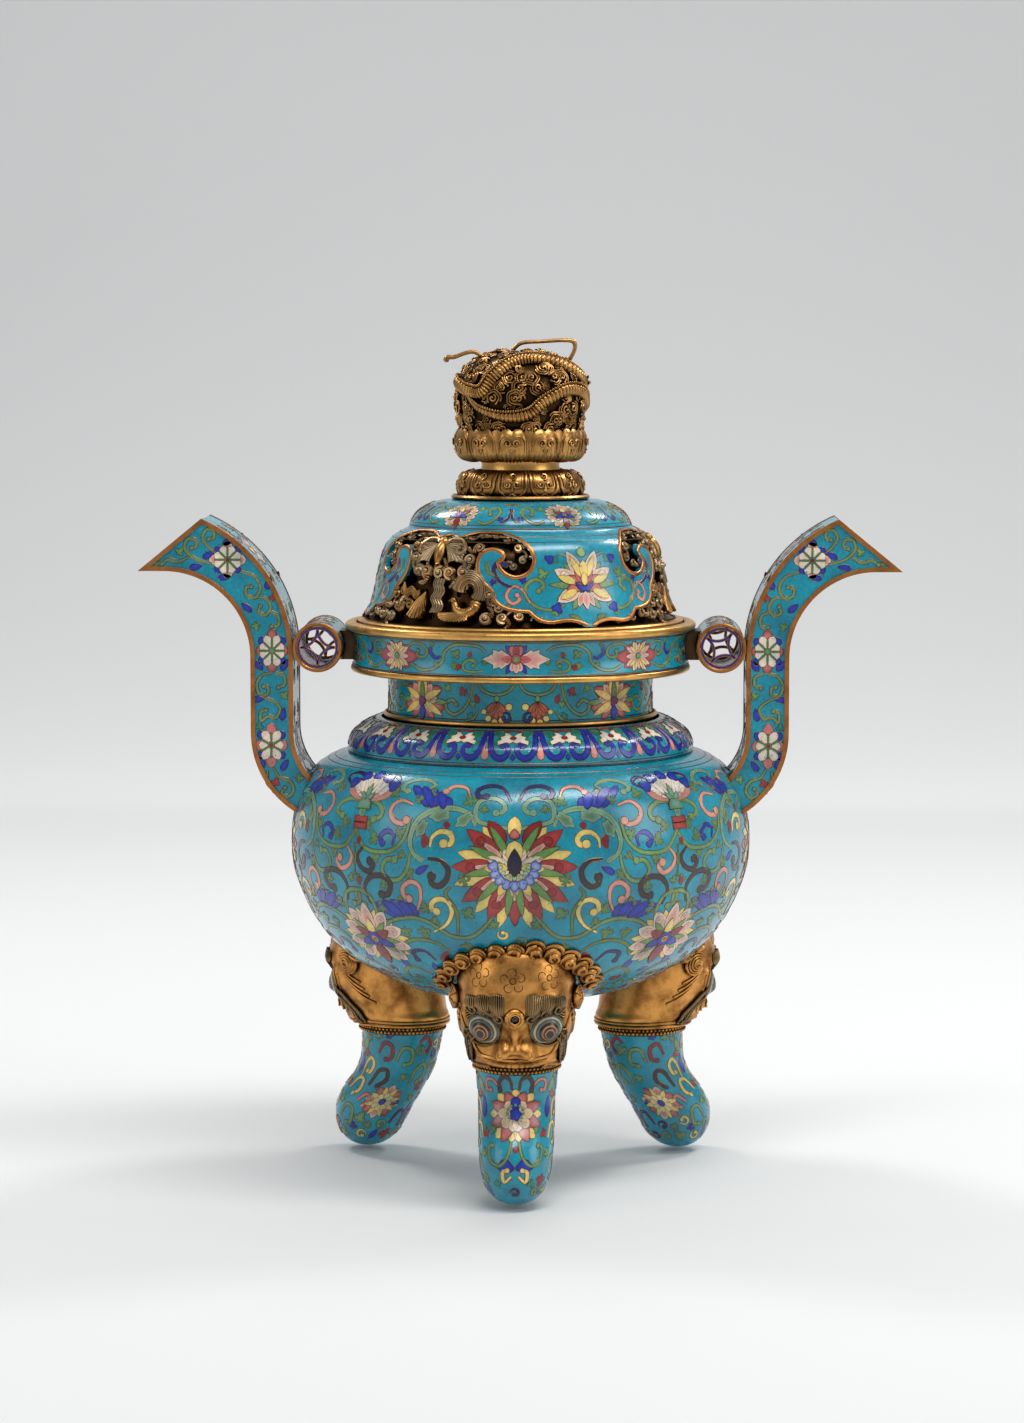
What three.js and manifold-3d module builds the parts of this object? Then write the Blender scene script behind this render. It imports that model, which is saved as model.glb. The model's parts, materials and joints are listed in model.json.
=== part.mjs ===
// A cloisonne tripod incense burner with a lift-off pierced cover, in millimetres, +Z up.
// The origin is on the floor under the bowl's axis. One leg points to -Y and the handles lie along X.
import * as THREE from "three";
import { mergeVertices } from "three/addons/utils/BufferGeometryUtils.js";
import Module from "manifold-3d";

const wasm = await Module();
wasm.setup();

// Seams and facets
const SEAM = 0.3; // left between pieces that are soldered to or rest on each other
const ROUND = 24; // facets round the vessel and the cover
const SMALL_ROUND = 16; // facets round the finial's rings and the brace tubes

// Bowl
const BOWL_RADIUS = 120; // at the belly
const BELLY_HEIGHT = 169;
const BOWL_BOTTOM = BELLY_HEIGHT - 81;
const BOWL_TOP = BELLY_HEIGHT + 50;
const BOWL_TOP_RADIUS = 91.2;
const BOWL_WALL = 3;

// Shoulder collar and neck
const SHOULDER_RISE = 17.7;
const NECK_RADIUS = 68.8;
const NECK_WALL = 3;
const NECK_HEIGHT = 23.4;
const MOULDING_RADIUS = 1.3; // half the height of the moulding at the foot of the neck

// Rim: floor ring, enamelled band and top ring
const FLOOR_THICKNESS = 3.4;
const FLOOR_HOLE_RADIUS = 62.5; // the fire pan hangs through it
const FLOOR_RADIUS = 88.5;
const BAND_HEIGHT = 17.4;
const BAND_RADIUS = 86; // at its waist
const BAND_FLARE = 1.7; // how far it flares to its two edges
const BAND_WALL = 2.8;
const TOP_RING_RADIUS = 91.2;
const TOP_RING_HEIGHT = 4.4;
const LEDGE_THICKNESS = 1.5; // the cover's flange sits on this ledge
const LEDGE_HOLE_RADIUS = 80;

// Cover
const FLANGE_RADIUS = 84.6;
const FLANGE_CLEARANCE = 0.7; // round the flange, inside the top ring's lip
const FLANGE_THICKNESS = 4.2;
const SPIGOT_CLEARANCE = 0.8; // round the spigot that centres the cover in the ledge
const SPIGOT_WALL = 2.7;
const SPIGOT_DEPTH = 9;
const DOME_WALL = 2.4;
const DOME_FOOT_RADIUS = 83;
const DOME_STEP_RADIUS = 58; // groove between the dome and its cap
const DOME_STEP_RISE = 47.4; // height of that groove over the dome's foot
const CAP_RISE = 61.2; // height of the cap's flat top over the dome's foot
const WINDOW_COUNT = 3;
const WINDOW_TURN = -33; // degrees from the front leg to the first window's middle
const GALLERY_WALL = 2.6;
const GALLERY_CLEARANCE = 2.2; // between the gallery and the dome's inside
const CURL_RISE = 2.4; // how far the curls stand out of the gallery

// Finial
const PLATE_RADIUS = 36;
const PLATE_THICKNESS = 2.2;
const LOTUS_PETALS = 12;
const LOWER_LOTUS_RADIUS = 33;
const LOWER_LOTUS_HEIGHT = 12.2;
const WAIST_RADIUS = 19.5;
const WAIST_HEIGHT = 3.2;
const UPPER_LOTUS_RADIUS = 34.5;
const UPPER_LOTUS_HEIGHT = 16;
const KNOB_RADIUS = 36; // over the dragon's body
const KNOB_HEIGHT = 43.5;
const KNOB_WALL = 4;
const DRAGON_RADIUS = 3.2; // half the thickness of the body that winds round the knob
const DRAGON_TURNS = 1.7;
const WIRE_RADIUS = 0.9;
const STUD_RADIUS = 3;
const STUD_CLEARANCE = 0.4;
const STUD_BELOW_CAP = 11;
const STUD_INTO_KNOB = 9;
const NUT_ACROSS_FLATS = 12;
const NUT_HEIGHT = 5;

// Handles and the tubes that brace them
const HANDLE_DEPTH = 48; // front face to back face
const TUBE_RADIUS = 12.8;
const TUBE_WALL = 1.8;
const TUBE_LENGTH = 58;
const TUBE_GAP = 5.1; // between the tube and the rim's band, which the bracket bridges
const TUBE_RISE = 1.1; // of the tube's middle over the band's
const STEM_THICKNESS = 22;
const STEM_INNER = BAND_RADIUS + TUBE_GAP + 2 * TUBE_RADIUS + SEAM; // the stem's side towards the vessel
const STEM_OUTER = STEM_INNER + STEM_THICKNESS; // the stem's other side
const HANDLE_BEND_TOP = BOWL_TOP + 50; // height where the stem begins to bend outwards
const HANDLE_BEND_BOTTOM = BOWL_TOP + 11; // height where it begins to bend to the bowl
const TOP_BEND_INNER = 78;
const TOP_BEND_OUTER = 44.5;
const FOOT_BEND_INNER = 34;
const FOOT_BEND_OUTER = 49;
const HANDLE_TIP = STEM_INNER + 80;
const HANDLE_HORN = STEM_INNER + 47; // where the slanting end meets the upper bend
const HANDLE_EDGING = 2.4; // width of the bare metal edge round each face
const HANDLE_RECESS = 0.7; // depth of the enamelled face inside that edge
const COIN_THICKNESS = 1.8;
const COIN_INSET = 0.6; // below the tube's end
const COIN_RIM = 1.3;
const COIN_BAR = 0.9; // half the width of the coin's bars
const BRACKET_DEPTH = 22;
const BRACKET_HEIGHT = 15;

// Legs and their beast masks
const LEG_NAMES = ["front", "right", "left"];
const LEG_TOP = BOWL_BOTTOM - 23.6;
const LEG_REACH = BOWL_RADIUS - 36; // from the vessel's axis to the middle of a mask
const LEG_COLLAR_HEIGHT = 4;
const LEG_COLLAR_OVERHANG = 0.8;
const CURL_COUNT = 13;
const CURL_RADIUS = 4.8;
const MANE_HALF_WIDTH = 33.2;
const MANE_FOOT = 42; // where the mane begins, over the mask's lower edge
const MANE_RISE = 19;
const EYE_RADIUS = 8;

// Fire pan
const PAN_CLEARANCE = 1; // round the pan, in the hole of the rim's floor
const PAN_DEPTH = 52;
const PAN_WALL = 1.4;
const PAN_FLANGE_RADIUS = FLOOR_HOLE_RADIUS + 4;
const PAN_FLANGE_THICKNESS = 1.5;

const radians = THREE.MathUtils.degToRad;

const enamel = { color: 0x2f97a5, roughness: 0.3, metalness: 0 };
const gilt = { color: 0xb5823a, roughness: 0.35, metalness: 1 };
const darkBronze = { color: 0x2b2117, roughness: 0.6, metalness: 1 };
const copper = { color: 0x8a4a2c, roughness: 0.5, metalness: 1 };

const burner = new THREE.Group();

function addPiece(name, geometry, finish) {
  const mesh = new THREE.Mesh(geometry, new THREE.MeshStandardMaterial(finish));
  mesh.name = name;
  burner.add(mesh);
}

// Keeps only the positions, merges shared vertices and makes all faces point outwards.
function closed(geometry) {
  const bare = geometry.clone();
  bare.deleteAttribute("normal");
  bare.deleteAttribute("uv");
  const merged = mergeVertices(bare, 1e-4);
  const points = merged.attributes.position;
  const index = merged.index.array;
  const [a, b, c] = [new THREE.Vector3(), new THREE.Vector3(), new THREE.Vector3()];
  let volume = 0;
  for (let i = 0; i < index.length; i += 3) {
    a.fromBufferAttribute(points, index[i]);
    b.fromBufferAttribute(points, index[i + 1]);
    c.fromBufferAttribute(points, index[i + 2]);
    volume += a.dot(b.cross(c));
  }
  if (volume < 0) {
    for (let i = 0; i < index.length; i += 3) {
      [index[i + 1], index[i + 2]] = [index[i + 2], index[i + 1]];
    }
  }
  return merged;
}

function solid(geometry) {
  const merged = closed(geometry);
  return new wasm.Manifold(
    new wasm.Mesh({
      numProp: 3,
      vertProperties: new Float32Array(merged.attributes.position.array),
      triVerts: new Uint32Array(merged.index.array),
    }),
  );
}

function geometryOf(manifold) {
  const mesh = manifold.getMesh();
  return new THREE.BufferGeometry()
    .setAttribute("position", new THREE.BufferAttribute(mesh.vertProperties, 3))
    .setIndex(new THREE.BufferAttribute(mesh.triVerts, 1));
}

// Turns an outline of [radius, height] points about Z. One that starts off the axis closes on itself.
function revolve(outline, facets = ROUND) {
  const points = outline.map(([r, z]) => new THREE.Vector2(r, z));
  if (points[0].x > 0) points.push(points[0].clone());
  return closed(new THREE.LatheGeometry(points, facets).rotateX(Math.PI / 2));
}

// A smooth run of [radius, height] points through the given ones.
function smooth(points, steps) {
  const curve = new THREE.SplineCurve(points.map(([x, y]) => new THREE.Vector2(x, y)));
  return curve.getPoints(steps).map((p) => [p.x, p.y]);
}

// Moves a run of points sideways, to the left of its direction for a positive distance.
function offsetRun(points, distance) {
  return points.map(([x, y], i) => {
    const [ax, ay] = points[Math.max(i - 1, 0)];
    const [bx, by] = points[Math.min(i + 1, points.length - 1)];
    const length = Math.hypot(bx - ax, by - ay);
    return [x - ((by - ay) / length) * distance, y + ((bx - ax) / length) * distance];
  });
}

// The radius of a run of [radius, height] points at a height.
function radiusAt(run, z) {
  for (let i = 0; i + 1 < run.length; i += 1) {
    const [[r0, z0], [r1, z1]] = [run[i], run[i + 1]];
    if ((z - z0) * (z - z1) <= 0 && z0 !== z1) return r0 + ((r1 - r0) * (z - z0)) / (z1 - z0);
  }
  return run[0][0];
}

// The direction at an angle from the front, turning towards +X.
function heading(degrees) {
  return new THREE.Vector3(Math.sin(radians(degrees)), -Math.cos(radians(degrees)), 0);
}

// Turns a geometry modelled at the front, towards -Y, to another heading.
function turned(geometry, degrees) {
  return geometry.clone().rotateZ(radians(degrees));
}

// Joins rings of points, all of one count, into a closed solid with flat ends.
function loft(rings) {
  const count = rings[0].length;
  const last = (rings.length - 1) * count;
  const index = [];
  for (let k = 0; k < last; k += count) {
    for (let i = 0; i < count; i += 1) {
      const next = (i + 1) % count;
      index.push(k + i, k + next, k + next + count, k + i, k + next + count, k + i + count);
    }
  }
  for (let i = 1; i + 1 < count; i += 1) {
    index.push(0, i + 1, i, last, last + i, last + i + 1);
  }
  const geometry = new THREE.BufferGeometry();
  const positions = rings.flat().flatMap((p) => [p.x, p.y, p.z]);
  geometry.setAttribute("position", new THREE.Float32BufferAttribute(positions, 3));
  geometry.setIndex(index);
  return closed(geometry);
}

// A solid whose sides point to the axis, its outline drawn in degrees from the front and in height.
function radialPrism(outline, inner, outer) {
  if (THREE.ShapeUtils.isClockWise(outline)) outline.reverse();
  const count = outline.length;
  const at = (p, radius) => heading(p.x).multiplyScalar(radius).setZ(p.y);
  const points = [...outline.map((p) => at(p, inner)), ...outline.map((p) => at(p, outer))];
  const index = [];
  for (const [a, b, c] of THREE.ShapeUtils.triangulateShape(outline, [])) {
    index.push(a, c, b, a + count, b + count, c + count);
  }
  for (let i = 0; i < count; i += 1) {
    const next = (i + 1) % count;
    index.push(i, next, next + count, i, next + count, i + count);
  }
  const geometry = new THREE.BufferGeometry();
  const positions = points.flatMap((p) => [p.x, p.y, p.z]);
  geometry.setAttribute("position", new THREE.Float32BufferAttribute(positions, 3));
  geometry.setIndex(index);
  return geometry;
}

// A prism between two depths along Y, its outline drawn in X and Z.
function prismAlongY(shape, nearY, farY) {
  const options = { depth: farY - nearY, bevelEnabled: false, curveSegments: 5 };
  return new THREE.ExtrudeGeometry(shape, options).rotateX(Math.PI / 2).translate(0, farY, 0);
}

// A round bar along Y, centred on the plane y = 0.
function barAlongY(radius, length, x, z, facets = SMALL_ROUND) {
  const bar = new THREE.CylinderGeometry(radius, radius, length, facets);
  return solid(bar.translate(x, 0, z));
}

// A rounded lump on a mask, at a sideways place, a distance in front of its middle and a height.
function lump(x, front, z, [width, depth, height]) {
  const ball = new THREE.IcosahedronGeometry(1).scale(width, depth, height);
  return solid(ball.translate(x, -LEG_REACH - front, z));
}

// A round bar of a given radius along a path of points, closed at its ends.
function rod(points, radius, steps, sides = 6) {
  const angles = Array.from({ length: sides }, (_, i) => (2 * Math.PI * i) / sides);
  const corners = angles.map((a) => new THREE.Vector2(radius * Math.cos(a), radius * Math.sin(a)));
  const extrudePath = new THREE.CatmullRomCurve3(points);
  return new THREE.ExtrudeGeometry(new THREE.Shape(corners), { steps, extrudePath });
}

// Bowl, shoulder and neck

const bowlRun = smooth(
  [
    [0.01, BOWL_BOTTOM],
    [BOWL_RADIUS - 62, BOWL_BOTTOM + 8.5],
    [BOWL_RADIUS - 32, BOWL_BOTTOM + 24],
    [BOWL_RADIUS - 14, BELLY_HEIGHT - 39],
    [BOWL_RADIUS - 3.5, BELLY_HEIGHT - 17],
    [BOWL_RADIUS, BELLY_HEIGHT],
    [BOWL_RADIUS - 1.6, BELLY_HEIGHT + 21],
    [BOWL_RADIUS - 11, BELLY_HEIGHT + 39],
    [BOWL_TOP_RADIUS, BOWL_TOP],
  ],
  10,
);

function makeBowl() {
  const inner = offsetRun(bowlRun, BOWL_WALL).filter((_, i) => i % 2 === 1).reverse();
  const mouth = [BOWL_TOP_RADIUS - 2 * BOWL_WALL, BOWL_TOP];
  const bottom = [0, BOWL_BOTTOM + BOWL_WALL];
  return revolve([[0, BOWL_BOTTOM], ...bowlRun.slice(1), mouth, ...inner, bottom]);
}

// The bowl's outside swollen by a clearance, for cutting what is fixed to it.
function bowlCutter(clearance) {
  const outside = offsetRun(bowlRun, -clearance).slice(1);
  const top = outside[outside.length - 1][1];
  return solid(revolve([[0, BOWL_BOTTOM - clearance], ...outside, [0, top]]));
}

const shoulderBottom = BOWL_TOP + SEAM;
const shoulderTop = shoulderBottom + SHOULDER_RISE;
const shoulderRun = smooth(
  [
    [BOWL_TOP_RADIUS - 1, shoulderBottom],
    [BOWL_TOP_RADIUS - 1.6, shoulderBottom + 5],
    [BOWL_TOP_RADIUS - 5, shoulderBottom + 11],
    [NECK_RADIUS + 9.5, shoulderBottom + 16.2],
    [NECK_RADIUS + 1.6, shoulderTop],
  ],
  5,
);

function makeShoulder() {
  const inner = offsetRun(shoulderRun, BOWL_WALL).reverse();
  inner[0] = [NECK_RADIUS - NECK_WALL, shoulderTop];
  inner[inner.length - 1][1] = shoulderBottom;
  return revolve([...shoulderRun, ...inner]);
}

const neckBottom = shoulderTop + SEAM;
const neckTop = neckBottom + NECK_HEIGHT;

function makeMoulding() {
  const bottom = neckBottom;
  const inside = NECK_RADIUS + SEAM;
  return revolve([
    [inside, bottom],
    [inside + MOULDING_RADIUS, bottom],
    [inside + 1.8 * MOULDING_RADIUS, bottom + MOULDING_RADIUS],
    [inside + MOULDING_RADIUS, bottom + 2 * MOULDING_RADIUS],
    [inside, bottom + 2 * MOULDING_RADIUS],
  ]);
}

function makeNeck() {
  const inside = NECK_RADIUS - NECK_WALL;
  return revolve([
    [inside, neckBottom],
    [NECK_RADIUS, neckBottom],
    [NECK_RADIUS, neckTop],
    [inside, neckTop],
  ]);
}

// Rim

const floorBottom = neckTop + SEAM;
const floorTop = floorBottom + FLOOR_THICKNESS;
const bandBottom = floorTop + SEAM;
const bandTop = bandBottom + BAND_HEIGHT;
const topRingBottom = bandTop + SEAM;
const ledgeTop = topRingBottom + LEDGE_THICKNESS;
const rimTop = topRingBottom + TOP_RING_HEIGHT;

function makeFloorRing() {
  const third = FLOOR_THICKNESS / 3;
  return revolve([
    [FLOOR_HOLE_RADIUS, floorBottom],
    [FLOOR_RADIUS - third, floorBottom],
    [FLOOR_RADIUS, floorBottom + third],
    [FLOOR_RADIUS, floorTop - third],
    [FLOOR_RADIUS - third, floorTop],
    [FLOOR_HOLE_RADIUS, floorTop],
  ]);
}

const bandRun = [0, 0.15, 0.35, 0.65, 0.85, 1].map((t) => [
  BAND_RADIUS + BAND_FLARE * Math.abs(2 * t - 1) ** 2.5,
  bandBottom + BAND_HEIGHT * t,
]);

function makeBand() {
  const inside = BAND_RADIUS - BAND_WALL;
  return revolve([...bandRun, [inside, bandTop], [inside, bandBottom]]);
}

function makeTopRing() {
  const lip = FLANGE_RADIUS + FLANGE_CLEARANCE;
  const round = TOP_RING_HEIGHT / 4;
  return revolve([
    [LEDGE_HOLE_RADIUS, topRingBottom],
    [TOP_RING_RADIUS - round, topRingBottom],
    [TOP_RING_RADIUS, topRingBottom + round],
    [TOP_RING_RADIUS, rimTop - round],
    [TOP_RING_RADIUS - round, rimTop],
    [lip, rimTop],
    [lip, ledgeTop],
    [LEDGE_HOLE_RADIUS, ledgeTop],
  ]);
}

// Cover: flange, dome with three cloud-head windows, and the pierced gallery behind them

const flangeBottom = ledgeTop + SEAM;
const flangeTop = flangeBottom + FLANGE_THICKNESS;
const domeFoot = flangeTop + SEAM;
const capTop = domeFoot + CAP_RISE;

function makeFlange() {
  const spigot = LEDGE_HOLE_RADIUS - SPIGOT_CLEARANCE;
  const inside = spigot - SPIGOT_WALL;
  const round = FLANGE_THICKNESS / 4;
  return revolve([
    [inside, flangeBottom - SPIGOT_DEPTH],
    [spigot, flangeBottom - SPIGOT_DEPTH],
    [spigot, flangeBottom],
    [FLANGE_RADIUS, flangeBottom],
    [FLANGE_RADIUS, flangeTop - round],
    [FLANGE_RADIUS - round, flangeTop],
    [inside, flangeTop],
  ]);
}

const domeRun = smooth(
  [
    [DOME_FOOT_RADIUS, domeFoot],
    [77.8, domeFoot + 9.5],
    [75, domeFoot + 21],
    [72.3, domeFoot + 31],
    [68.4, domeFoot + 39],
    [DOME_STEP_RADIUS + 0.8, domeFoot + DOME_STEP_RISE - 1.6],
  ],
  6,
);

const capRun = smooth(
  [
    [DOME_STEP_RADIUS, domeFoot + DOME_STEP_RISE],
    [55.8, domeFoot + DOME_STEP_RISE + 6],
    [47, domeFoot + CAP_RISE - 2.4],
    [PLATE_RADIUS, capTop],
  ],
  3,
);

// A window's outline in degrees from its middle and in height. It hangs from two arches, curls round
// the volutes of the lappets beside it and follows their scalloped edges down to their tips.
function windowOutline() {
  const half = new THREE.Path();
  half.moveTo(0, domeFoot + 45);
  half.lineTo(5.5, domeFoot + 43.6);
  half.quadraticCurveTo(17, domeFoot + 49.4, 30, domeFoot + 45);
  half.quadraticCurveTo(39.5, domeFoot + 41, 39.4, domeFoot + 33);
  half.quadraticCurveTo(38.5, domeFoot + 26, 32.4, domeFoot + 25.6);
  half.quadraticCurveTo(27.5, domeFoot + 26.5, 25.8, domeFoot + 32);
  half.quadraticCurveTo(29.6, domeFoot + 35, 27, domeFoot + 38);
  half.quadraticCurveTo(21.5, domeFoot + 41.5, 17.4, domeFoot + 36.5);
  half.quadraticCurveTo(13.5, domeFoot + 27.5, 23, domeFoot + 17.3);
  half.quadraticCurveTo(23.6, domeFoot + 7.5, 37.4, domeFoot + 7.4);
  half.quadraticCurveTo(40.5, domeFoot + 1.8, 46, domeFoot + 2.1);
  half.quadraticCurveTo(54, domeFoot + 4.6, 58.4, domeFoot);
  half.lineTo(58.4, domeFoot - 1);
  const right = half.getPoints(2);
  const left = right.slice(1).map((p) => new THREE.Vector2(-p.x, p.y));
  return [...left.reverse(), ...right];
}

// Cuts the three windows out of a wall.
function cutWindows(wall) {
  const window = radialPrism(windowOutline(), DOME_FOOT_RADIUS / 3, 3 * DOME_FOOT_RADIUS);
  let rest = wall;
  for (let i = 0; i < WINDOW_COUNT; i += 1) {
    rest = rest.subtract(solid(turned(window, WINDOW_TURN + (360 / WINDOW_COUNT) * i)));
  }
  return rest;
}

function makeDome() {
  const innerDome = offsetRun(domeRun, DOME_WALL);
  innerDome[0][1] = domeFoot;
  const innerCap = offsetRun(capRun, DOME_WALL);
  innerCap[innerCap.length - 1][1] = capTop - DOME_WALL;
  const bore = STUD_RADIUS + STUD_CLEARANCE;
  const outside = [...domeRun, ...capRun, [bore, capTop]];
  const inside = [[bore, capTop - DOME_WALL], ...innerCap.reverse(), ...innerDome.reverse()];
  return geometryOf(cutWindows(solid(revolve([...outside, ...inside]))));
}

// The gallery is a sleeve of clouds and bats that stands on the flange just inside the dome.
const galleryRun = offsetRun(domeRun, DOME_WALL + GALLERY_CLEARANCE).filter((_, i) => i % 2 === 0);
galleryRun[0][1] = domeFoot;

// Holes and cloud curls of each window: degrees to either side of its middle, rise over the foot
// and radius. The curls stand in the window's opening, clear of its edges.
const GALLERY_HOLES = [
  [0, 28, 3.2],
  [12, 8, 2.8],
  [17, 41, 2.2],
];
const GALLERY_CURLS = [
  [0, 9, 5.5],
  [8.5, 19, 5.5],
  [20.5, 7, 4.4],
  [33, 34.5, 4.6],
];

// The headings at which a feature of one window repeats round the cover.
function headingsOf(degrees) {
  const sides = degrees === 0 ? [0] : [-degrees, degrees];
  const middles = Array.from({ length: WINDOW_COUNT }, (_, i) => WINDOW_TURN + (360 / WINDOW_COUNT) * i);
  return middles.flatMap((middle) => sides.map((side) => middle + side));
}

function makeGallery() {
  const inside = offsetRun(galleryRun, GALLERY_WALL);
  inside[0][1] = domeFoot;
  let gallery = solid(revolve([...galleryRun, ...inside.slice().reverse()]));
  for (const [degrees, rise, radius] of GALLERY_CURLS) {
    const front = radiusAt(galleryRun, domeFoot + rise);
    const curl = new THREE.IcosahedronGeometry(1).scale(radius, CURL_RISE, radius);
    curl.translate(0, -front, domeFoot + rise);
    for (const degreesRound of headingsOf(degrees)) {
      gallery = gallery.add(solid(turned(curl, degreesRound)));
    }
  }
  for (const [degrees, rise, radius] of GALLERY_HOLES) {
    const bit = new THREE.CylinderGeometry(radius, radius, DOME_FOOT_RADIUS, 6);
    bit.translate(0, -DOME_FOOT_RADIUS, domeFoot + rise);
    for (const degreesRound of headingsOf(degrees)) {
      gallery = gallery.subtract(solid(turned(bit, degreesRound)));
    }
  }
  return geometryOf(gallery);
}

// Finial: plate, two rings of lotus petals with a waist between them, and the pierced dragon knob

const plateBottom = capTop + SEAM;
const lowerLotusBottom = plateBottom + PLATE_THICKNESS + SEAM;
const waistBottom = lowerLotusBottom + LOWER_LOTUS_HEIGHT + SEAM;
const upperLotusBottom = waistBottom + WAIST_HEIGHT + SEAM;
const knobBottom = upperLotusBottom + UPPER_LOTUS_HEIGHT + SEAM;
const knobTop = knobBottom + KNOB_HEIGHT;
const studBore = STUD_RADIUS + STUD_CLEARANCE;

function makePlate() {
  const half = PLATE_THICKNESS / 2;
  return revolve([
    [studBore, plateBottom],
    [PLATE_RADIUS - half, plateBottom],
    [PLATE_RADIUS, plateBottom + half],
    [PLATE_RADIUS - half, plateBottom + 2 * half],
    [studBore, plateBottom + 2 * half],
  ]);
}

// A level ring through the petals: their crests lie at a radius and the grooves between them deeper.
function petalRing(z, radius, groove) {
  const count = 4 * LOTUS_PETALS;
  return Array.from({ length: count }, (_, i) => {
    const valley = 1 - Math.abs(Math.cos((Math.PI * i) / 4));
    return heading((360 / count) * i).multiplyScalar(radius - groove * valley).setZ(z);
  });
}

// Each section gives the share of the height, how far it lies inside the radius and the grooves' depth.
function makeLotus(bottom, height, radius, sections) {
  const rings = sections.map(([share, inset, groove]) => {
    return petalRing(bottom + share * height, radius - inset, groove);
  });
  const bore = new THREE.CylinderGeometry(studBore, studBore, 3 * height, SMALL_ROUND).rotateX(Math.PI / 2);
  return geometryOf(solid(loft(rings)).subtract(solid(bore.translate(0, 0, bottom))));
}

function makeLowerLotus() {
  return makeLotus(lowerLotusBottom, LOWER_LOTUS_HEIGHT, LOWER_LOTUS_RADIUS, [
    [0, 4, 0],
    [0.15, 0, 3.6],
    [0.55, 3, 3],
    [1, LOWER_LOTUS_RADIUS - WAIST_RADIUS - 1, 0],
  ]);
}

function makeWaist() {
  const half = WAIST_HEIGHT / 2;
  const outline = [
    [studBore, waistBottom],
    [WAIST_RADIUS - 1, waistBottom],
    [WAIST_RADIUS, waistBottom + half],
    [WAIST_RADIUS - 1, waistBottom + 2 * half],
    [studBore, waistBottom + 2 * half],
  ];
  return revolve(outline, SMALL_ROUND);
}

function makeUpperLotus() {
  return makeLotus(upperLotusBottom, UPPER_LOTUS_HEIGHT, UPPER_LOTUS_RADIUS, [
    [0, UPPER_LOTUS_RADIUS - WAIST_RADIUS - 2, 0],
    [0.25, 4, 2.4],
    [0.6, 0, 3.6],
    [0.88, 0.6, 3.6],
    [1, 4, 0],
  ]);
}

const knobRun = smooth(
  [
    [23, knobBottom],
    [KNOB_RADIUS - 5, knobBottom + 8],
    [KNOB_RADIUS - 3, knobBottom + 18],
    [KNOB_RADIUS - 5.6, knobBottom + 30],
    [KNOB_RADIUS - 14, knobTop - 3.4],
    [0.01, knobTop],
  ],
  7,
);

// Where the dragon's body lies on the knob: it climbs from the foot to the crown and dips on its way.
function dragonPath() {
  const steps = 40;
  return Array.from({ length: steps + 1 }, (_, i) => {
    const t = i / steps;
    const rise = 9 + 24 * t + 5 * Math.sin(6 * Math.PI * t);
    const radius = radiusAt(knobRun, knobBottom + rise);
    return heading(-70 + 360 * DRAGON_TURNS * t).multiplyScalar(radius).setZ(knobBottom + rise);
  });
}

function makeKnob() {
  const floorInside = knobBottom + KNOB_WALL;
  const inner = offsetRun(knobRun, KNOB_WALL).filter((_, i) => i % 2 === 0 && i + 1 < knobRun.length);
  const outline = [
    [0, knobTop],
    ...knobRun.slice(0, -1).reverse(),
    [studBore, knobBottom],
    [studBore, floorInside],
    ...inner.filter(([, z]) => z > floorInside),
    [0, knobTop - KNOB_WALL],
  ];
  let knob = solid(revolve(outline, SMALL_ROUND));
  for (let row = 0; row < 3; row += 1) {
    for (let i = 0; i < 5; i += 1) {
      const size = 4 - 0.5 * row;
      const bit = new THREE.CylinderGeometry(size, size, KNOB_RADIUS, 5);
      bit.translate(0, -KNOB_RADIUS, knobBottom + 10 + 11 * row);
      knob = knob.subtract(solid(turned(bit, 72 * i + 22 * row)));
    }
  }
  knob = knob.add(solid(rod(dragonPath(), DRAGON_RADIUS, 26, 5)));
  for (const [degrees, rise, size] of [
    [-66, 12, [7, 8, 6]],
    [-70, 14, [4, 12, 3.4]],
    [30, 34, [6, 6, 5]],
  ]) {
    const radius = radiusAt(knobRun, knobBottom + rise) - size[1] + 2;
    const head = new THREE.OctahedronGeometry(1, 1).scale(...size);
    knob = knob.add(solid(turned(head.translate(0, -radius, knobBottom + rise), degrees)));
  }
  const wires = [
    [
      [-20, 37.5],
      [-24, 39.5],
      [-29, 37],
      [-34, 36],
      [-37, 39],
      [-34.5, 41.5],
    ],
    [
      [-4, 41],
      [1, 45],
      [12, 47],
      [24, 46.5],
      [27, 43],
      [25.5, 39],
      [20, 35],
    ],
  ];
  for (const wire of wires) {
    const points = wire.map(([x, rise]) => new THREE.Vector3(x, -10, knobBottom + rise));
    knob = knob.add(solid(rod(points, WIRE_RADIUS, 12, 4)));
  }
  const roomBelow = new THREE.CylinderGeometry(100, 100, 40, 8).rotateX(Math.PI / 2);
  return geometryOf(knob.subtract(solid(roomBelow.translate(0, 0, knobBottom - 20))));
}

const nutTop = capTop - DOME_WALL - SEAM;

function makeStud() {
  const bottom = capTop - DOME_WALL - STUD_BELOW_CAP;
  const top = knobBottom + STUD_INTO_KNOB;
  return revolve([[0, bottom], [STUD_RADIUS, bottom], [STUD_RADIUS, top], [0, top]], 16);
}

function makeNut() {
  const nut = new THREE.CylinderGeometry(1, 1, NUT_HEIGHT, 6).rotateX(Math.PI / 2);
  const corner = NUT_ACROSS_FLATS / Math.sqrt(3);
  nut.scale(corner, corner, 1).translate(0, 0, nutTop - NUT_HEIGHT / 2);
  const bore = new THREE.CylinderGeometry(studBore, studBore, 3 * NUT_HEIGHT, 16).rotateX(Math.PI / 2);
  return geometryOf(solid(nut).subtract(solid(bore.translate(0, 0, nutTop))));
}

// Handles, drawn for the side towards +X

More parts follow.
